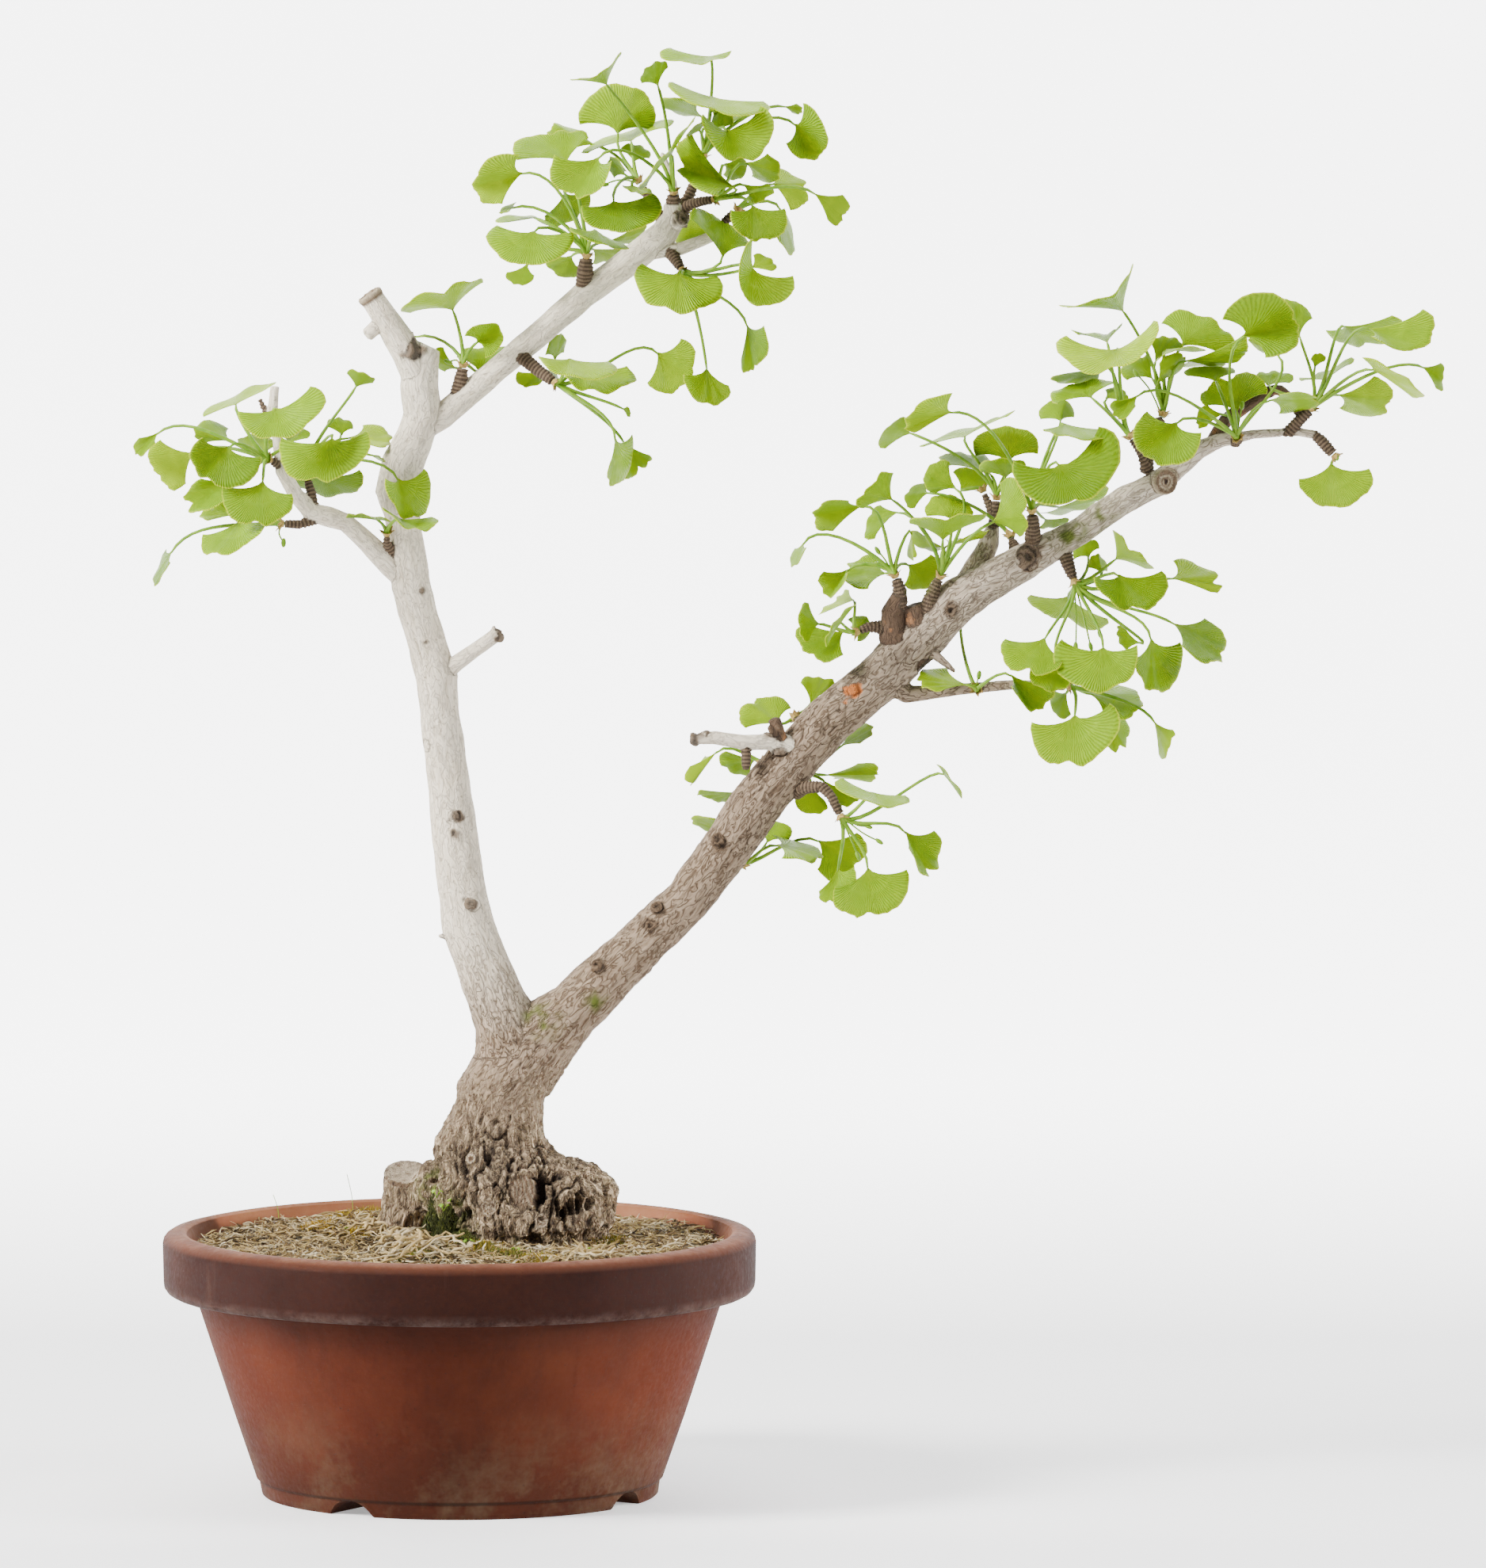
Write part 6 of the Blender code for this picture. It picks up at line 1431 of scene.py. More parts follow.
def foot_hollow(point):
    """How deep the hollows on the foot's front reach at this point."""
    if point.y > HOLLOWS_IN_FRONT_OF:
        return 0.0
    uneven = 1 + 0.5 * noise.noise(point * 190) + 0.4 * noise.noise(point * 420)
    deepest = 0.0
    for middle, half_width, half_height, depth in HOLLOW_PLACES:
        far = math.hypot((point.x - middle.x) / half_width, (point.z - middle.z) / half_height) * uneven
        if far < 1.7:
            deepest = max(deepest, depth * math.exp(-far ** 5 * 1.1))
    return deepest


def beside_stump(point):
    """1 on the stump that stands beside the foot, 0 away from it."""
    far = math.hypot(point.x - STUMP_FOOT[0], point.y - STUMP_FOOT[1])
    return clamp((STUMP_REACH - far) / STUMP_FADE)


def stump_level(point):
    """Height of the stump's sawn top, which leans to the front."""
    return STUMP_TOP.z + STUMP_LEAN * (point.y - STUMP_TOP.y)


def lean_stump(vertex):
    """Shears the stump so that its top leans to the front."""
    point = vertex.co
    if point.z > STUMP_TOP.z + 0.004:
        return
    share = clamp((point.z - SOIL_EDGE_HEIGHT) / (STUMP_TOP.z - SOIL_EDGE_HEIGHT))
    point.z += (stump_level(point) - STUMP_TOP.z) * share * beside_stump(point)


def foot_relief(point):
    """Knobs, flakes and cracks of the foot in metres, and how much painted shade darkens their low places,
    creases and cracks.
    """
    bend = noise.noise_vector(point * 60) * 0.45
    wild = 1 - 0.75 * beside_stump(point)
    tall = Vector((point.x, point.y, point.z * (0.12 if wild < 0.6 else 0.40)))
    knobs = noise.noise(point * 46 + bend) * wild
    flakes = 0.40 - abs(noise.noise(tall * 150 + bend * 2)) * 1.9
    chips = 0.35 - abs(noise.noise(tall * 330 + bend * 3)) * 1.7
    deep = creases(tall * 62 + bend, 0.075) * wild
    cracks = creases(tall * 150 + bend, 0.13) * (0.4 + 0.6 * wild)
    relief = knobs * KNOB_HEIGHT + flakes * FLAKE_HEIGHT + chips * CHIP_HEIGHT
    relief -= deep * DEEP_CREASE + cracks * FINE_CREASE
    # Painted shade: the relief's low places, deep creases and cracks are painted dark.
    dim = 0.16 + 0.45 * noise.noise(point * 24)
    low = clamp(dim - knobs * 0.35 - flakes * 0.55 - chips * 0.55) * (0.4 + 0.6 * wild)
    return relief, max(low * 0.85, deep * 0.95, cracks * 0.65)


def scar_of(point):
    """Mask and tone of a scar at this point, and how far it lifts the wood."""
    for middle, radius, kind in SCAR_PLACES:
        far = (point - middle).length / radius
        if far > 1.6 or (kind == SAWN and point.z < stump_level(point) - 0.0020):
            continue
        if kind in (RING, SAWN):
            if far > 1.15:
                continue
            ring = max(0.0, 1 - abs(far - 0.88) / 0.20)
            rings = 0.20 + 0.16 * math.sin(far * 24 + 2 * noise.noise(point * 160))
            tone = 0.7 if far < 0.16 else (rings if far < 0.66 else 0.5 * (1 - ring))
            if kind == SAWN:
                tone = 0.10 + 0.4 * max(0.0, noise.noise(point * 320)) + 0.25 * (far > 0.86)
                return min(1.0, (1.15 - far) / 0.12), tone, 0.0006 * ring
            return min(1.0, (1.15 - far) / 0.12), tone, ring * 0.0012 - (far < 0.7) * 0.0008
        if kind == PLUG:
            line = math.sin(point.x * 2400 + point.z * 500 + 5 * noise.noise(point * 110))
            edge = clamp((1.08 - far) / 0.10)
            return edge, 0.30 + 0.13 * line + 0.4 * max(0.0, far - 0.78), (0.0004 * line - 0.0030) * edge
        uneven = far * (1 + 0.55 * noise.noise(point * 240))
        if uneven > 1.05:
            continue
        mask = min(1.0, (1.05 - uneven) / 0.3)
        if kind == CHIP:
            return mask, 1.0, -0.0012 * mask
        curl = 0.5 + 0.5 * math.sin(uneven * 11 + 5 * noise.noise(point * 140))
        return mask * 0.9, 0.38 + 0.32 * curl, (0.0015 - 0.0020 * curl) * mask
    return 0.0, 0.0, 0.0


def moss_share(point):
    """Where green and black moss keeps to the wood, and a dark olive patch on the right limb's side and
    underside.
    """
    share = 0.0
    for middle, reach in MOSSY_PLACES:
        far = (point - middle).length / reach
        if far < 1.6:
            share = max(share, math.exp(-far * far) * (0.55 + 1.3 * noise.noise(point * 190)))
    return clamp(share)


SCAR_PLACES = [(at(column, row, depth), radius * MM, kind) for column, row, depth, radius, kind in SCARS]
HOLLOW_PLACES = [(at(column, row, FOOT_FRONT), *sizes) for column, row, *sizes in BURL_HOLLOWS]
STUMP_TOP = at(513, 1479, 16)
MOSSY_PLACES = [(at(column, row, depth), reach) for column, row, depth, reach in MOSSY]


def make_wood_piece(name, planes, sizes):
    """One length of the wood: the part's own shape, rounded, with its bark, hollows and scars."""
    bm = bmesh.new()
    bm.from_mesh(NODES["wood"].data)
    bmesh.ops.remove_doubles(bm, verts=bm.verts, dist=0.00001)
    for plane in planes:
        cut_away(bm, plane, 0.008)
    wood = add_object(name, bm)
    remesh = wood.modifiers.new("even", "REMESH")
    remesh.mode = "VOXEL"
    remesh.voxel_size = sizes.bark_step * 1.0
    apply_modifiers(wood)
    shape_wood(wood, sizes)
    bm = bmesh.new()
    bm.from_mesh(wood.data)
    for plane in planes:
        cut_away(bm, plane, 0.0)
    bm.to_mesh(wood.data)
    bm.free()
    wood.data.materials.clear()
    return wood


def smooth_wood(bm, factor):
    bmesh.ops.smooth_vert(bm, verts=bm.verts, factor=factor,
                          use_axis_x=True, use_axis_y=True, use_axis_z=True)


def shape_wood(wood, sizes):
    """Rounds the wood and raises its bark."""
    mesh = wood.data
    places = numpy.empty(len(mesh.vertices) * 3)
    mesh.vertices.foreach_get("co", places)
    samples = limb_samples()
    rows = samples[nearest_samples(places.reshape(-1, 3), samples)].tolist()
    bm = bmesh.new()
    bm.from_mesh(mesh)
    layers = {name: bm.verts.layers.float.new(name) for name in BARK_MASKS}
    layers["grain"] = bm.verts.layers.float_vector.new("grain")
    smooth_wood(bm, 0.5)
    for vertex, row in zip(bm.verts, rows):
        round_out(vertex, row)
        lean_stump(vertex)
    smooth_wood(bm, 0.5)
    smooth_wood(bm, 0.5)
    bm.normal_update()
    moves = [bark_of(vertex, row, layers, sizes) for vertex, row in zip(bm.verts, rows)]
    for vertex, move in zip(bm.verts, moves):
        vertex.co += move
    bm.to_mesh(mesh)
    bm.free()


def round_out(vertex, row):
    """Moves a point of a flat side out to the limb's round surface, softly so near the foot."""
    middle, way, radius = Vector(row[0:3]), Vector(row[3:6]), row[12]
    share = clamp((vertex.co.z - ROUND_FROM) / ROUND_FADE)
    out = vertex.co - middle
    out -= way * out.dot(way)
    far = out.length
    off = abs(far - radius) / radius
    if far > 0.0001 and off < ROUND_BAND and share > 0:
        share *= min(1.0, (ROUND_BAND - off) / (0.001 + ROUND_BAND / 2 * (1 - share)))
        vertex.co += out * ((radius - far) / far * 0.9 * share)


def bark_of(vertex, row, layers, sizes):
    """Writes the bark's masks at a point and returns how far the point moves."""
    point = vertex.co.copy()
    way, side, up = Vector(row[3:6]), Vector(row[6:9]), Vector(row[9:12])
    radius, far, ringed, dark, rough = row[12:17]
    out = point - Vector(row[0:3])
    local = Vector((out.dot(side), out.dot(up), far + out.dot(way)))
    foot = foot_share(point)
    lowness = min(1.0, max(0.5 * (rough == 1.0), (PALE_FROM - point.z) / PALE_FADE)) * rough
    lowness = max(lowness, min(1.0, (LOW_BARK_TOP - point.z) / LOW_BARK_FADE))
    thick = clamp((radius - THIN_LIMB) / (THICK_LIMB - THIN_LIMB))
    spot = Vector((local.x * 290, local.y * 290, local.z * 140))
    patchy = min(1.0, max(0.25, 0.65 + 1.5 * noise.noise(point * 34)))
    crack_and_shade = creases(spot, 0.17) * thick * max(lowness, 0.05) * patchy
    streak = noise.noise(Vector((local.x * 420, local.y * 420, local.z * 50)))
    lump = noise.noise(point * 75)
    wrinkle = noise.noise(Vector((local.x * 240, local.y * 240, local.z * 170))) * lowness
    move = (STREAK_HEIGHT * streak + LUMP_HEIGHT * lump + WRINKLE_HEIGHT * wrinkle) * (0.3 + 0.7 * thick)
    move -= crack_and_shade * sizes.fissure_depth
    move += ringed * SPUR_RING_HEIGHT * math.sin(local.z * SPUR_RING_WAVE)
    mask, tone, lift = scar_of(point)
    if foot > 0:
        relief, low = foot_relief(point)
        hollow = foot_hollow(point)
        share = foot * clamp((point.z - 0.146) / 0.008)
        move = move * (1 - share) + (relief * (1 - 0.85 * mask) - hollow) * share
        # Painted shade: the deep hollows are painted dark inside, deeper ones darker.
        hollow_shade = clamp((hollow - 0.0036) / 0.003) * share
        mask *= 1 - hollow_shade
        # The crack mask holds both the bark's real cracks and the foot's painted shade.
        crack_and_shade = max(crack_and_shade * (1 - foot), low * foot, hollow_shade)
        lift *= 1 - 0.5 * foot
    vertex[layers["grain"]] = local
    for name, value in zip(BARK_MASKS, (crack_and_shade, ringed, dark, mask, tone, lowness, foot,
                                        moss_share(point))):
        vertex[layers[name]] = value
    return vertex.normal * (move + lift)


# Leaves


def openness(left, middle, right):
    """1 for a blade that is spread like a fan, and near 0 for one that folds back on itself."""
    return left.angle(right) / (left.angle(middle) + middle.angle(right))


def opened(left, middle, right):
    """Leans an outer ray the other way in depth where the blade would fold back on itself."""
    if openness(left, middle, right) > OPEN_ENOUGH:
        return left, middle, right
    turned_left = Vector((left.x, -left.y, left.z))
    turned_right = Vector((right.x, -right.y, right.z))
    if openness(turned_left, middle, right) > openness(left, middle, turned_right):
        return turned_left, middle, right
    return left, middle, turned_right


def rays_of(leaf, base_depth):
    """The three rays of a blade in space. Where the picture shortens one, it runs in depth."""
    base = at(*leaf.base, base_depth)
    length = leaf.length * MM
    rays = []
    for spot, share in ((leaf.left, TIP_TO_MIDDLE), (leaf.middle, 1.0), (leaf.right, TIP_TO_MIDDLE)):
        flat = at(*spot, base_depth) - base
        short = (length * share) ** 2 - flat.length_squared
        rays.append(flat + Vector((0, leaf.lean * math.sqrt(max(short, 0.0)), 0)))
    return base, opened(*rays)


def ray_at(rays, across):
    """The way and the reach of the ray at this place across the fan, from -1 to 1."""
    shares = (across * (across - 1) / 2, 1 - across * across, across * (across + 1) / 2)
    way = sum((ray.normalized() * share for ray, share in zip(rays, shares)), Vector())
    return way.normalized(), sum(ray.length * share for ray, share in zip(rays, shares))


def edge_wave(rays, across, cleft):
    """How far the edge draws back at this place across the fan."""
    wave = WAVE_DEPTH * math.sin(WAVES * math.pi * across + 1000 * rays[1].x)
    return wave + cleft * max(0.0, 1 - abs(across) / 0.2)


def cleft_of(leaf):
    """How deep a blade is cleft, as a share of its length."""
    cleft = leaf.length >= LARGE_LEAF and (leaf.base[0] + leaf.base[1]) % 2 == 0
    return CLEFT_DEPTH if cleft else 0.0


def settled(leaf, heart_depth, corners):
    """The leaf at the depth where the part has it: its edge's ends and middle are found there."""
    for number in range(2 * SHIFT_STEPS + 1):
        side = 1 if number % 2 else -1
        shift = side * ((number + 1) // 2) * SHIFT_STEP / MM
        base, rays = rays_of(leaf, heart_depth + leaf.depth + shift)
        found = True
        for across in (-1, 0, 1):
            way, reach = ray_at(rays, across)
            spot = base + way * (reach * (1 - edge_wave(rays, across, cleft_of(leaf))))
            found = found and corners.find(spot)[2] < 0.0009
        if found:
            return base, rays
    raise RuntimeError("The part has no leaf whose base is at %s" % (leaf.base,))


def blade_spot(leaf, base, rays, across, along, traits):
    """A point of the finished blade: flared at its foot, rippled, cupped and finely toothed."""
    way, reach = ray_at(rays, across * WIDER)
    middle, _ = ray_at(rays, 0)
    way = middle.lerp(way, min(1.0, along ** FLARE)).normalized()
    phase = traits["phase"]
    teeth = 0.009 * math.sin(across * 34 + phase) + 0.016 * noise.noise(Vector((across * 6, phase, 0)))
    teeth += 0.045 * max(0.0, noise.noise(Vector((across * 11, phase, 3))) - 0.28)
    teeth += CORNER * max(0.0, (abs(across) - 0.62) / 0.38) ** 2
    edge = 1.09 - (edge_wave(rays, across, cleft_of(leaf)) * 0.8 + teeth * along) * along * along
    spot = base + way * (reach * along * edge)
    fold = math.sin(across * traits["folds"] + traits["phase"]) * traits["ripple"]
    fold += traits["cup"] * (across * across - 0.33) + traits["curl"] * along
    return spot + traits["normal"] * (reach * fold * along * along)


def add_blade(bm, leaf, base, rays, draw, sizes):
    """Adds one blade to a head."""
    big = leaf.length >= LARGE_LEAF
    columns = BLADE_COLUMNS if big else SMALL_BLADE_COLUMNS
    rows = BLADE_ROWS if big else SMALL_BLADE_ROWS
    side = rays[2] - rays[0]
    normal = side.cross(rays[1])
    if normal.length < 1e-8:
        normal = rays[1].orthogonal()
    traits = {
        "phase": draw.uniform(0, 6.28), "folds": draw.uniform(7, 12),
        "ripple": sizes.blade_ripple * draw.uniform(0.5, 1.3), "cup": draw.uniform(-0.05, 0.05),
        "curl": draw.uniform(-0.05, 0.05), "normal": normal.normalized()}
    tone = leaf_tone(rays, draw)
    fan = bmesh.new()
    bmesh.ops.create_grid(fan, x_segments=columns, y_segments=rows, size=1.0)
    fan_tone = fan.verts.layers.float.new("tone")
    fan_uv = fan.loops.layers.uv.new("fan")
    for face in fan.faces:
        for loop in face.loops:
            loop[fan_uv].uv = ((loop.vert.co.x + 1) / 2, (loop.vert.co.y + 1) / 2)
    for vertex in fan.verts:
        across, along = vertex.co.x, (vertex.co.y + 1) / 2
        vertex[fan_tone] = tone
        vertex.co = blade_spot(leaf, base, rays, across, max(along, 0.02), traits)
    fan.normal_update()
    half = [(vertex, vertex.normal * (sizes.blade_thickness / 2)) for vertex in fan.verts]
    for vertex, move in half:
        vertex.co -= move
    bmesh.ops.solidify(fan, geom=fan.faces, thickness=-sizes.blade_thickness)
    bmesh.ops.recalc_face_normals(fan, faces=fan.faces)
    join_into(bm, fan)


def leaf_tone(rays, draw):
    """Blades that lie flat catch the light and are paler; drooping ones are deeper."""
    steepness = abs(rays[1].normalized().z)
    return clamp(0.62 - 0.30 * steepness + draw.gauss(0, 0.20))


def stalk_course(tip, way, base, rays):
    """The stalk's course, out of the heart and into the foot of the blade."""
    reach = (base - tip).length
    start = tip + way * (HEART_GAP + HEART_LENGTH * 0.5)
    toward = (base - start).normalized()
    out = start + (way * 0.6 + toward * 0.4) * reach * 0.35
    into = base - rays[1].normalized() * reach * 0.3
    end = base + rays[1].normalized() * 0.0025
    steps = max(5, int(reach / 0.006))
    course = []
    for i in range(steps + 1):
        t = i / steps
        course.append(start * (1 - t) ** 3 + out * 3 * t * (1 - t) ** 2
                      + into * 3 * t * t * (1 - t) + end * t ** 3)
    return course


def add_stalk(bm, course, radius):
    """Adds a stalk that is thickest where it leaves the heart."""
    last = len(course) - 1
    radii = [radius * (1.55 - 0.55 * min(1.0, i / last * 1.6)) for i in range(last + 1)]
    radii[-1] = radius * 0.5
    paint_faces(add_tube(bm, course, radii, 6), STALK)


def add_scales(bm, tip, way, draw):
    """Papery bud scales that stand round the heart."""
    side = way.orthogonal().normalized()
    for number in range(SCALES_ROUND_A_HEART):
        angle = number * math.tau / SCALES_ROUND_A_HEART + draw.uniform(-0.3, 0.3)
        out = Matrix.Rotation(angle, 3, way) @ side
        length = draw.uniform(0.0036, 0.0062)
        width = draw.uniform(0.0013, 0.0022)
        across = way.cross(out)
        scale = bmesh.new()
        bmesh.ops.create_grid(scale, x_segments=4, y_segments=4, size=1.0)
        for vertex in scale.verts:
            u, v = vertex.co.x, (vertex.co.y + 1) / 2
            narrow = math.sin(math.pi * (0.18 + 0.80 * v)) ** 0.7
            spot = tip + way * (0.0004 + length * v * 0.75)
            spot += out * (0.0021 + 0.0028 * v * v - 0.0007 * u * u)
            vertex.co = spot + across * (u * width * narrow)
        scale.normal_update()
        bmesh.ops.solidify(scale, geom=scale.faces, thickness=0.00022)
        bmesh.ops.recalc_face_normals(scale, faces=scale.faces)
        paint_faces(scale.verts, SCALE)
        join_into(bm, scale)


def add_club(bm, tip, way, end):
    """An unopened leaf: a thin stalk with a small green club."""
    line = smooth_line([tip + way * 0.001, tip.lerp(end, 0.5) + way * 0.003, end], 5)
    paint_faces(add_tube(bm, line, [CLUB_STALK_RADIUS] * len(line), 6), STALK)
    turn = (end - tip).to_track_quat("Z", "Y").to_matrix().to_4x4()
    place = Matrix.Translation(end) @ turn @ Matrix.Diagonal((0.8, 0.7, 1.5, 1))
    ball = bmesh.ops.create_uvsphere(bm, u_segments=10, v_segments=7, radius=CLUB_RADIUS, matrix=place)
    paint_faces(ball["verts"], STALK)


def make_head(name, rosette, sizes):
    """One head of leaves over its node: blades, stalks, heart, bud scales and unopened leaves."""
    cad = NODES["leaves_" + name]
    corners = KDTree(len(cad.data.vertices))
    for number, vertex in enumerate(cad.data.vertices):
        corners.insert(vertex.co, number)
    corners.balance()
    draw = random.Random(name)
    before = at(*rosette.spur[-2][:3])
    tip = at(*rosette.spur[-1][:3])
    way = (tip - before).normalized()
    bm = bmesh.new()
    bm.verts.layers.float.new("tone")
    bm.loops.layers.uv.new("fan")
    add_scales(bm, tip, way, draw)
    heart = [tip + way * (HEART_GAP + HEART_LENGTH * share) for share in (0.0, 0.35, 0.75, 1.05)]
    paint_faces(add_tube(bm, heart, HEART_RADII, 10), STALK)
    for leaf in rosette.leaves:
        base, rays = settled(leaf, rosette.spur[-1][2], corners)
        add_stalk(bm, stalk_course(tip, way, base, rays), sizes.stalk_radius)
        add_blade(bm, leaf, base, rays, draw, sizes)
    for column, row in CLUBS.get(name, ()):
        end = at(column, row, rosette.spur[-1][2] + draw.uniform(-3, 3))
        add_club(bm, tip, way, end)
    return add_object("head_" + name, bm)


# Stage

BACKDROP_HALF_WIDTH = 4.0
BACKDROP_START = -6.0
BACKDROP_RUN = 14.0
BEND_START = 2.0
BEND_RUN = 3.2
BEND_RADIUS = 2.0
GLOW_START = 0.7
GLOW_FADE = 1.4
FLOOR_GLOW = 0.10
WALL_GLOW = 4.2
SKY_LIGHT = 0.12
SKY_SEEN = 6.0
LIGHTS = (
    # name, place, aim, size, watts, colour and spread in degrees
    ("key", (-2.8, -1.5, 2.5), (0.1, 0, 0.4), (1.2, 1.6), 500, (1.0, 0.985, 0.96), 180),
    ("side", (2.7, -0.6, 2.0), (0.1, 0, 0.35), (1.2, 1.6), 110, (0.98, 0.99, 1.0), 180),
    ("left_beam", (-2.2, -0.25, 0.5), (0, 0, 0.09), (0.25, 0.25), 0.8, (1.0, 0.97, 0.93), 9),
    ("right_beam", (2.2, -0.25, 0.5), (0, 0, 0.09), (0.25, 0.25), 0.9, (1.0, 0.97, 0.93), 9),
    ("top", (0.1, 0.2, 3.2), (0.1, 0, 0.3), (2.0, 1.6), 60, (1.0, 1.0, 1.0), 180))


def make_backdrop():
    """A floor that curves up into a backdrop, which glows more the farther it is."""
    bm = bmesh.new()
    bmesh.ops.create_grid(bm, x_segments=2, y_segments=48, size=1.0)
    glow = bm.verts.layers.float.new("glow")
    for vertex in bm.verts:
        y, z = BACKDROP_START + (vertex.co.y + 1) / 2 * BACKDROP_RUN, 0.0
        vertex[glow] = FLOOR_GLOW + (1 - FLOOR_GLOW) * clamp((y - GLOW_START) / GLOW_FADE)
        if y > BEND_START:
            angle = min(1.0, (y - BEND_START) / BEND_RUN) * math.pi / 2
            rest = max(0.0, y - BEND_START - BEND_RUN)
            y = BEND_START + BEND_RADIUS * math.sin(angle)
            z = BEND_RADIUS * (1 - math.cos(angle)) + rest
        vertex.co = Vector((vertex.co.x * BACKDROP_HALF_WIDTH, y, z))
    bm.normal_update()
    return add_object("backdrop", bm)


def floor_material(colours):
    """A pale floor, whose far part glows like a lit studio wall and hides nothing from behind."""
    made, tree, shader = new_material("pale_floor", 0.9)
    glow = mix(tree, attribute(tree, "glow"), (0.0, 0.0, 0.0), (1.0, 1.0, 1.0))
    behind = node(tree, "ShaderNodeNewGeometry").outputs["Backfacing"]
    feed(tree, shader, {
        "Base Color": (*colours.floor, 1.0), "Emission Strength": WALL_GLOW, "Emission Color": glow,
        "Alpha": math_of(tree, "SUBTRACT", 1.0, behind)})
    return made


def add_light(name, place, aim, size, power, colour, spread):
    """A rectangular light that shines from a place to its aim."""
    light = bpy.data.lights.new(name, "AREA")
    light.shape = "RECTANGLE"
    light.size = size[0]
    light.size_y = size[1]
    light.energy = power
    light.color = colour
    light.spread = math.radians(spread)
    made = bpy.data.objects.new(name, light)
    made.location = place
    made.rotation_euler = (Vector(aim) - Vector(place)).to_track_quat("-Z", "Y").to_euler()
    bpy.context.scene.collection.objects.link(made)


def add_camera():
    """The camera, where the picture was taken from."""
    camera = bpy.data.objects.new("camera", bpy.data.cameras.new("camera"))
    camera.location = EYE
    camera.rotation_euler = (math.pi / 2 - LOOK_DOWN, 0, 0)
    camera.data.sensor_width = SENSOR
    camera.data.sensor_fit = "AUTO"
    camera.data.lens = FOCAL_LENGTH_IN_COLUMNS * SENSOR / PICTURE_ROWS
    camera.data.clip_end = 60
    bpy.context.scene.collection.objects.link(camera)
    bpy.context.scene.camera = camera


def add_world():
    """A white surrounding that lights the object little and looks pale in the camera."""
    world = bpy.data.worlds.new("studio")
    world.use_nodes = True
    tree = world.node_tree
    sky = tree.nodes["Background"]
    sky.inputs["Color"].default_value = (1.0, 1.0, 1.0, 1.0)
    seen = node(tree, "ShaderNodeLightPath").outputs["Is Camera Ray"]
    tree.links.new(ranged(tree, seen, 0.0, 1.0, SKY_LIGHT, SKY_SEEN), sky.inputs["Strength"])
    bpy.context.scene.world = world


# Operators


class BONSAI_OT_pot(bpy.types.Operator):
    """Builds the terracotta pot"""
    bl_idname = "bonsai.pot"
    bl_label = "Pot"

    def execute(self, context):
        clay = terracotta_material(context.scene.bonsai_colours)
        finish_piece(make_pot(), [clay], 38, ["pot"])
        return {"FINISHED"}


class BONSAI_OT_soil(bpy.types.Operator):
    """Builds the soil's crust, fibres, dead roots, moss and seedlings"""
    bl_idname = "bonsai.soil"
    bl_label = "Soil"

    def execute(self, context):
        sizes = context.scene.bonsai_sizes
        earth = soil_material(context.scene.bonsai_colours)
        fibre = shred_material()
        NODES["soil"].data.materials.clear()
        NODES["soil"].data.materials.append(earth)
        finish_piece(make_crust(), [earth], 0, [])
        for piece in make_shreds(sizes):
            finish_piece(piece, [fibre], 0, [])
        finish_piece(make_strands(), [fibre], 0, [])
        finish_piece(make_moss(), [moss_material()], 30, [])
        finish_piece(make_seedlings(), [stalk_material()], 0, [])
        return {"FINISHED"}


class BONSAI_OT_wood(bpy.types.Operator):
    """Builds the burl, the trunks and the branches with their bark"""
    bl_idname = "bonsai.wood"
    bl_label = "Wood"

    def execute(self, context):
        bark = bark_material(context.scene.bonsai_colours)
        for name, planes in WOOD_PIECES:
            wood = make_wood_piece(name, planes, context.scene.bonsai_sizes)
            finish_piece(wood, [bark], 0, ["wood"])
        return {"FINISHED"}


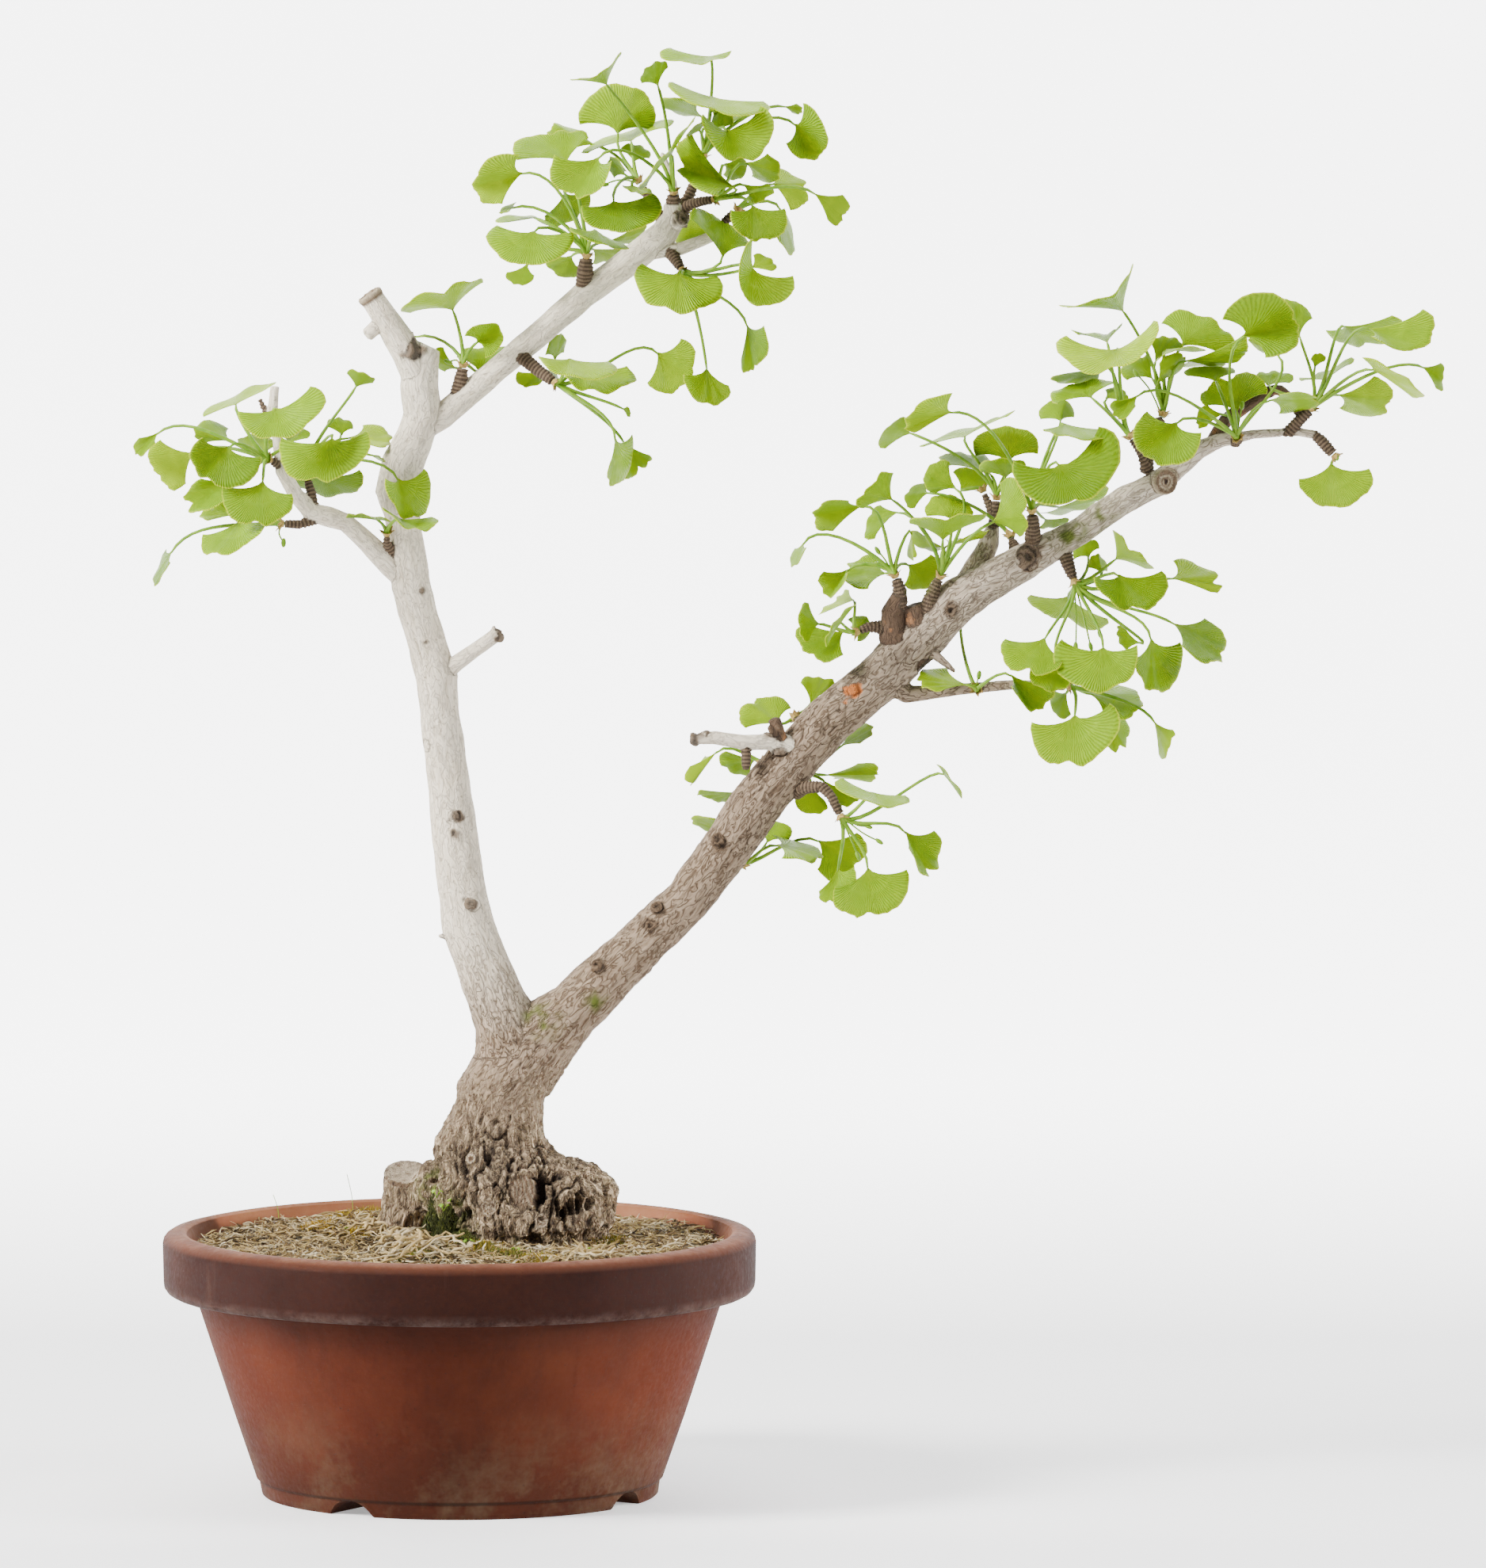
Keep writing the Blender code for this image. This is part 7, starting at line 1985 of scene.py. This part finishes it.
class BONSAI_OT_leaves(bpy.types.Operator):
    """Builds every head of leaves"""
    bl_idname = "bonsai.leaves"
    bl_label = "Leaves"

    def execute(self, context):
        sizes = context.scene.bonsai_sizes
        materials = [leaf_material(context.scene.bonsai_colours), stalk_material(), scale_material()]
        for name, rosette in ROSETTES.items():
            finish_piece(make_head(name, rosette, sizes), materials, 0, ["leaves_" + name])
        return {"FINISHED"}


class BONSAI_OT_stage(bpy.types.Operator):
    """Builds the floor, the backdrop, the lights and the camera"""
    bl_idname = "bonsai.stage"
    bl_label = "Stage"

    def execute(self, context):
        backdrop = make_backdrop()
        backdrop.data.materials.append(floor_material(context.scene.bonsai_colours))
        backdrop.data.shade_smooth()
        for light in LIGHTS:
            add_light(*light)
        add_world()
        add_camera()
        return {"FINISHED"}


class BONSAI_PT_panel(bpy.types.Panel):
    """Lists the bonsai's pieces, sizes and colours"""
    bl_idname = "BONSAI_PT_panel"
    bl_label = "Ginkgo Bonsai"
    bl_space_type = "VIEW_3D"
    bl_region_type = "UI"
    bl_category = "Bonsai"

    def draw(self, context):
        layout = self.layout
        for step in STEPS:
            layout.operator(step.bl_idname)
        for group in (context.scene.bonsai_sizes, context.scene.bonsai_colours):
            box = layout.box()
            for name in group.__annotations__:
                box.prop(group, name)


STEPS = (BONSAI_OT_pot, BONSAI_OT_soil, BONSAI_OT_wood, BONSAI_OT_leaves, BONSAI_OT_stage)
CLASSES = (BonsaiSizes, BonsaiColours, *STEPS, BONSAI_PT_panel)


def register():
    for kind in CLASSES:
        bpy.utils.register_class(kind)
    bpy.types.Scene.bonsai_sizes = bpy.props.PointerProperty(type=BonsaiSizes)
    bpy.types.Scene.bonsai_colours = bpy.props.PointerProperty(type=BonsaiColours)


def unregister():
    del bpy.types.Scene.bonsai_colours
    del bpy.types.Scene.bonsai_sizes
    for kind in reversed(CLASSES):
        bpy.utils.unregister_class(kind)


def main():
    register()
    bpy.ops.bonsai.pot()
    bpy.ops.bonsai.soil()
    bpy.ops.bonsai.wood()
    bpy.ops.bonsai.leaves()
    bpy.ops.bonsai.stage()
    bpy.context.view_layer.update()


if __name__ == "__main__":
    main()
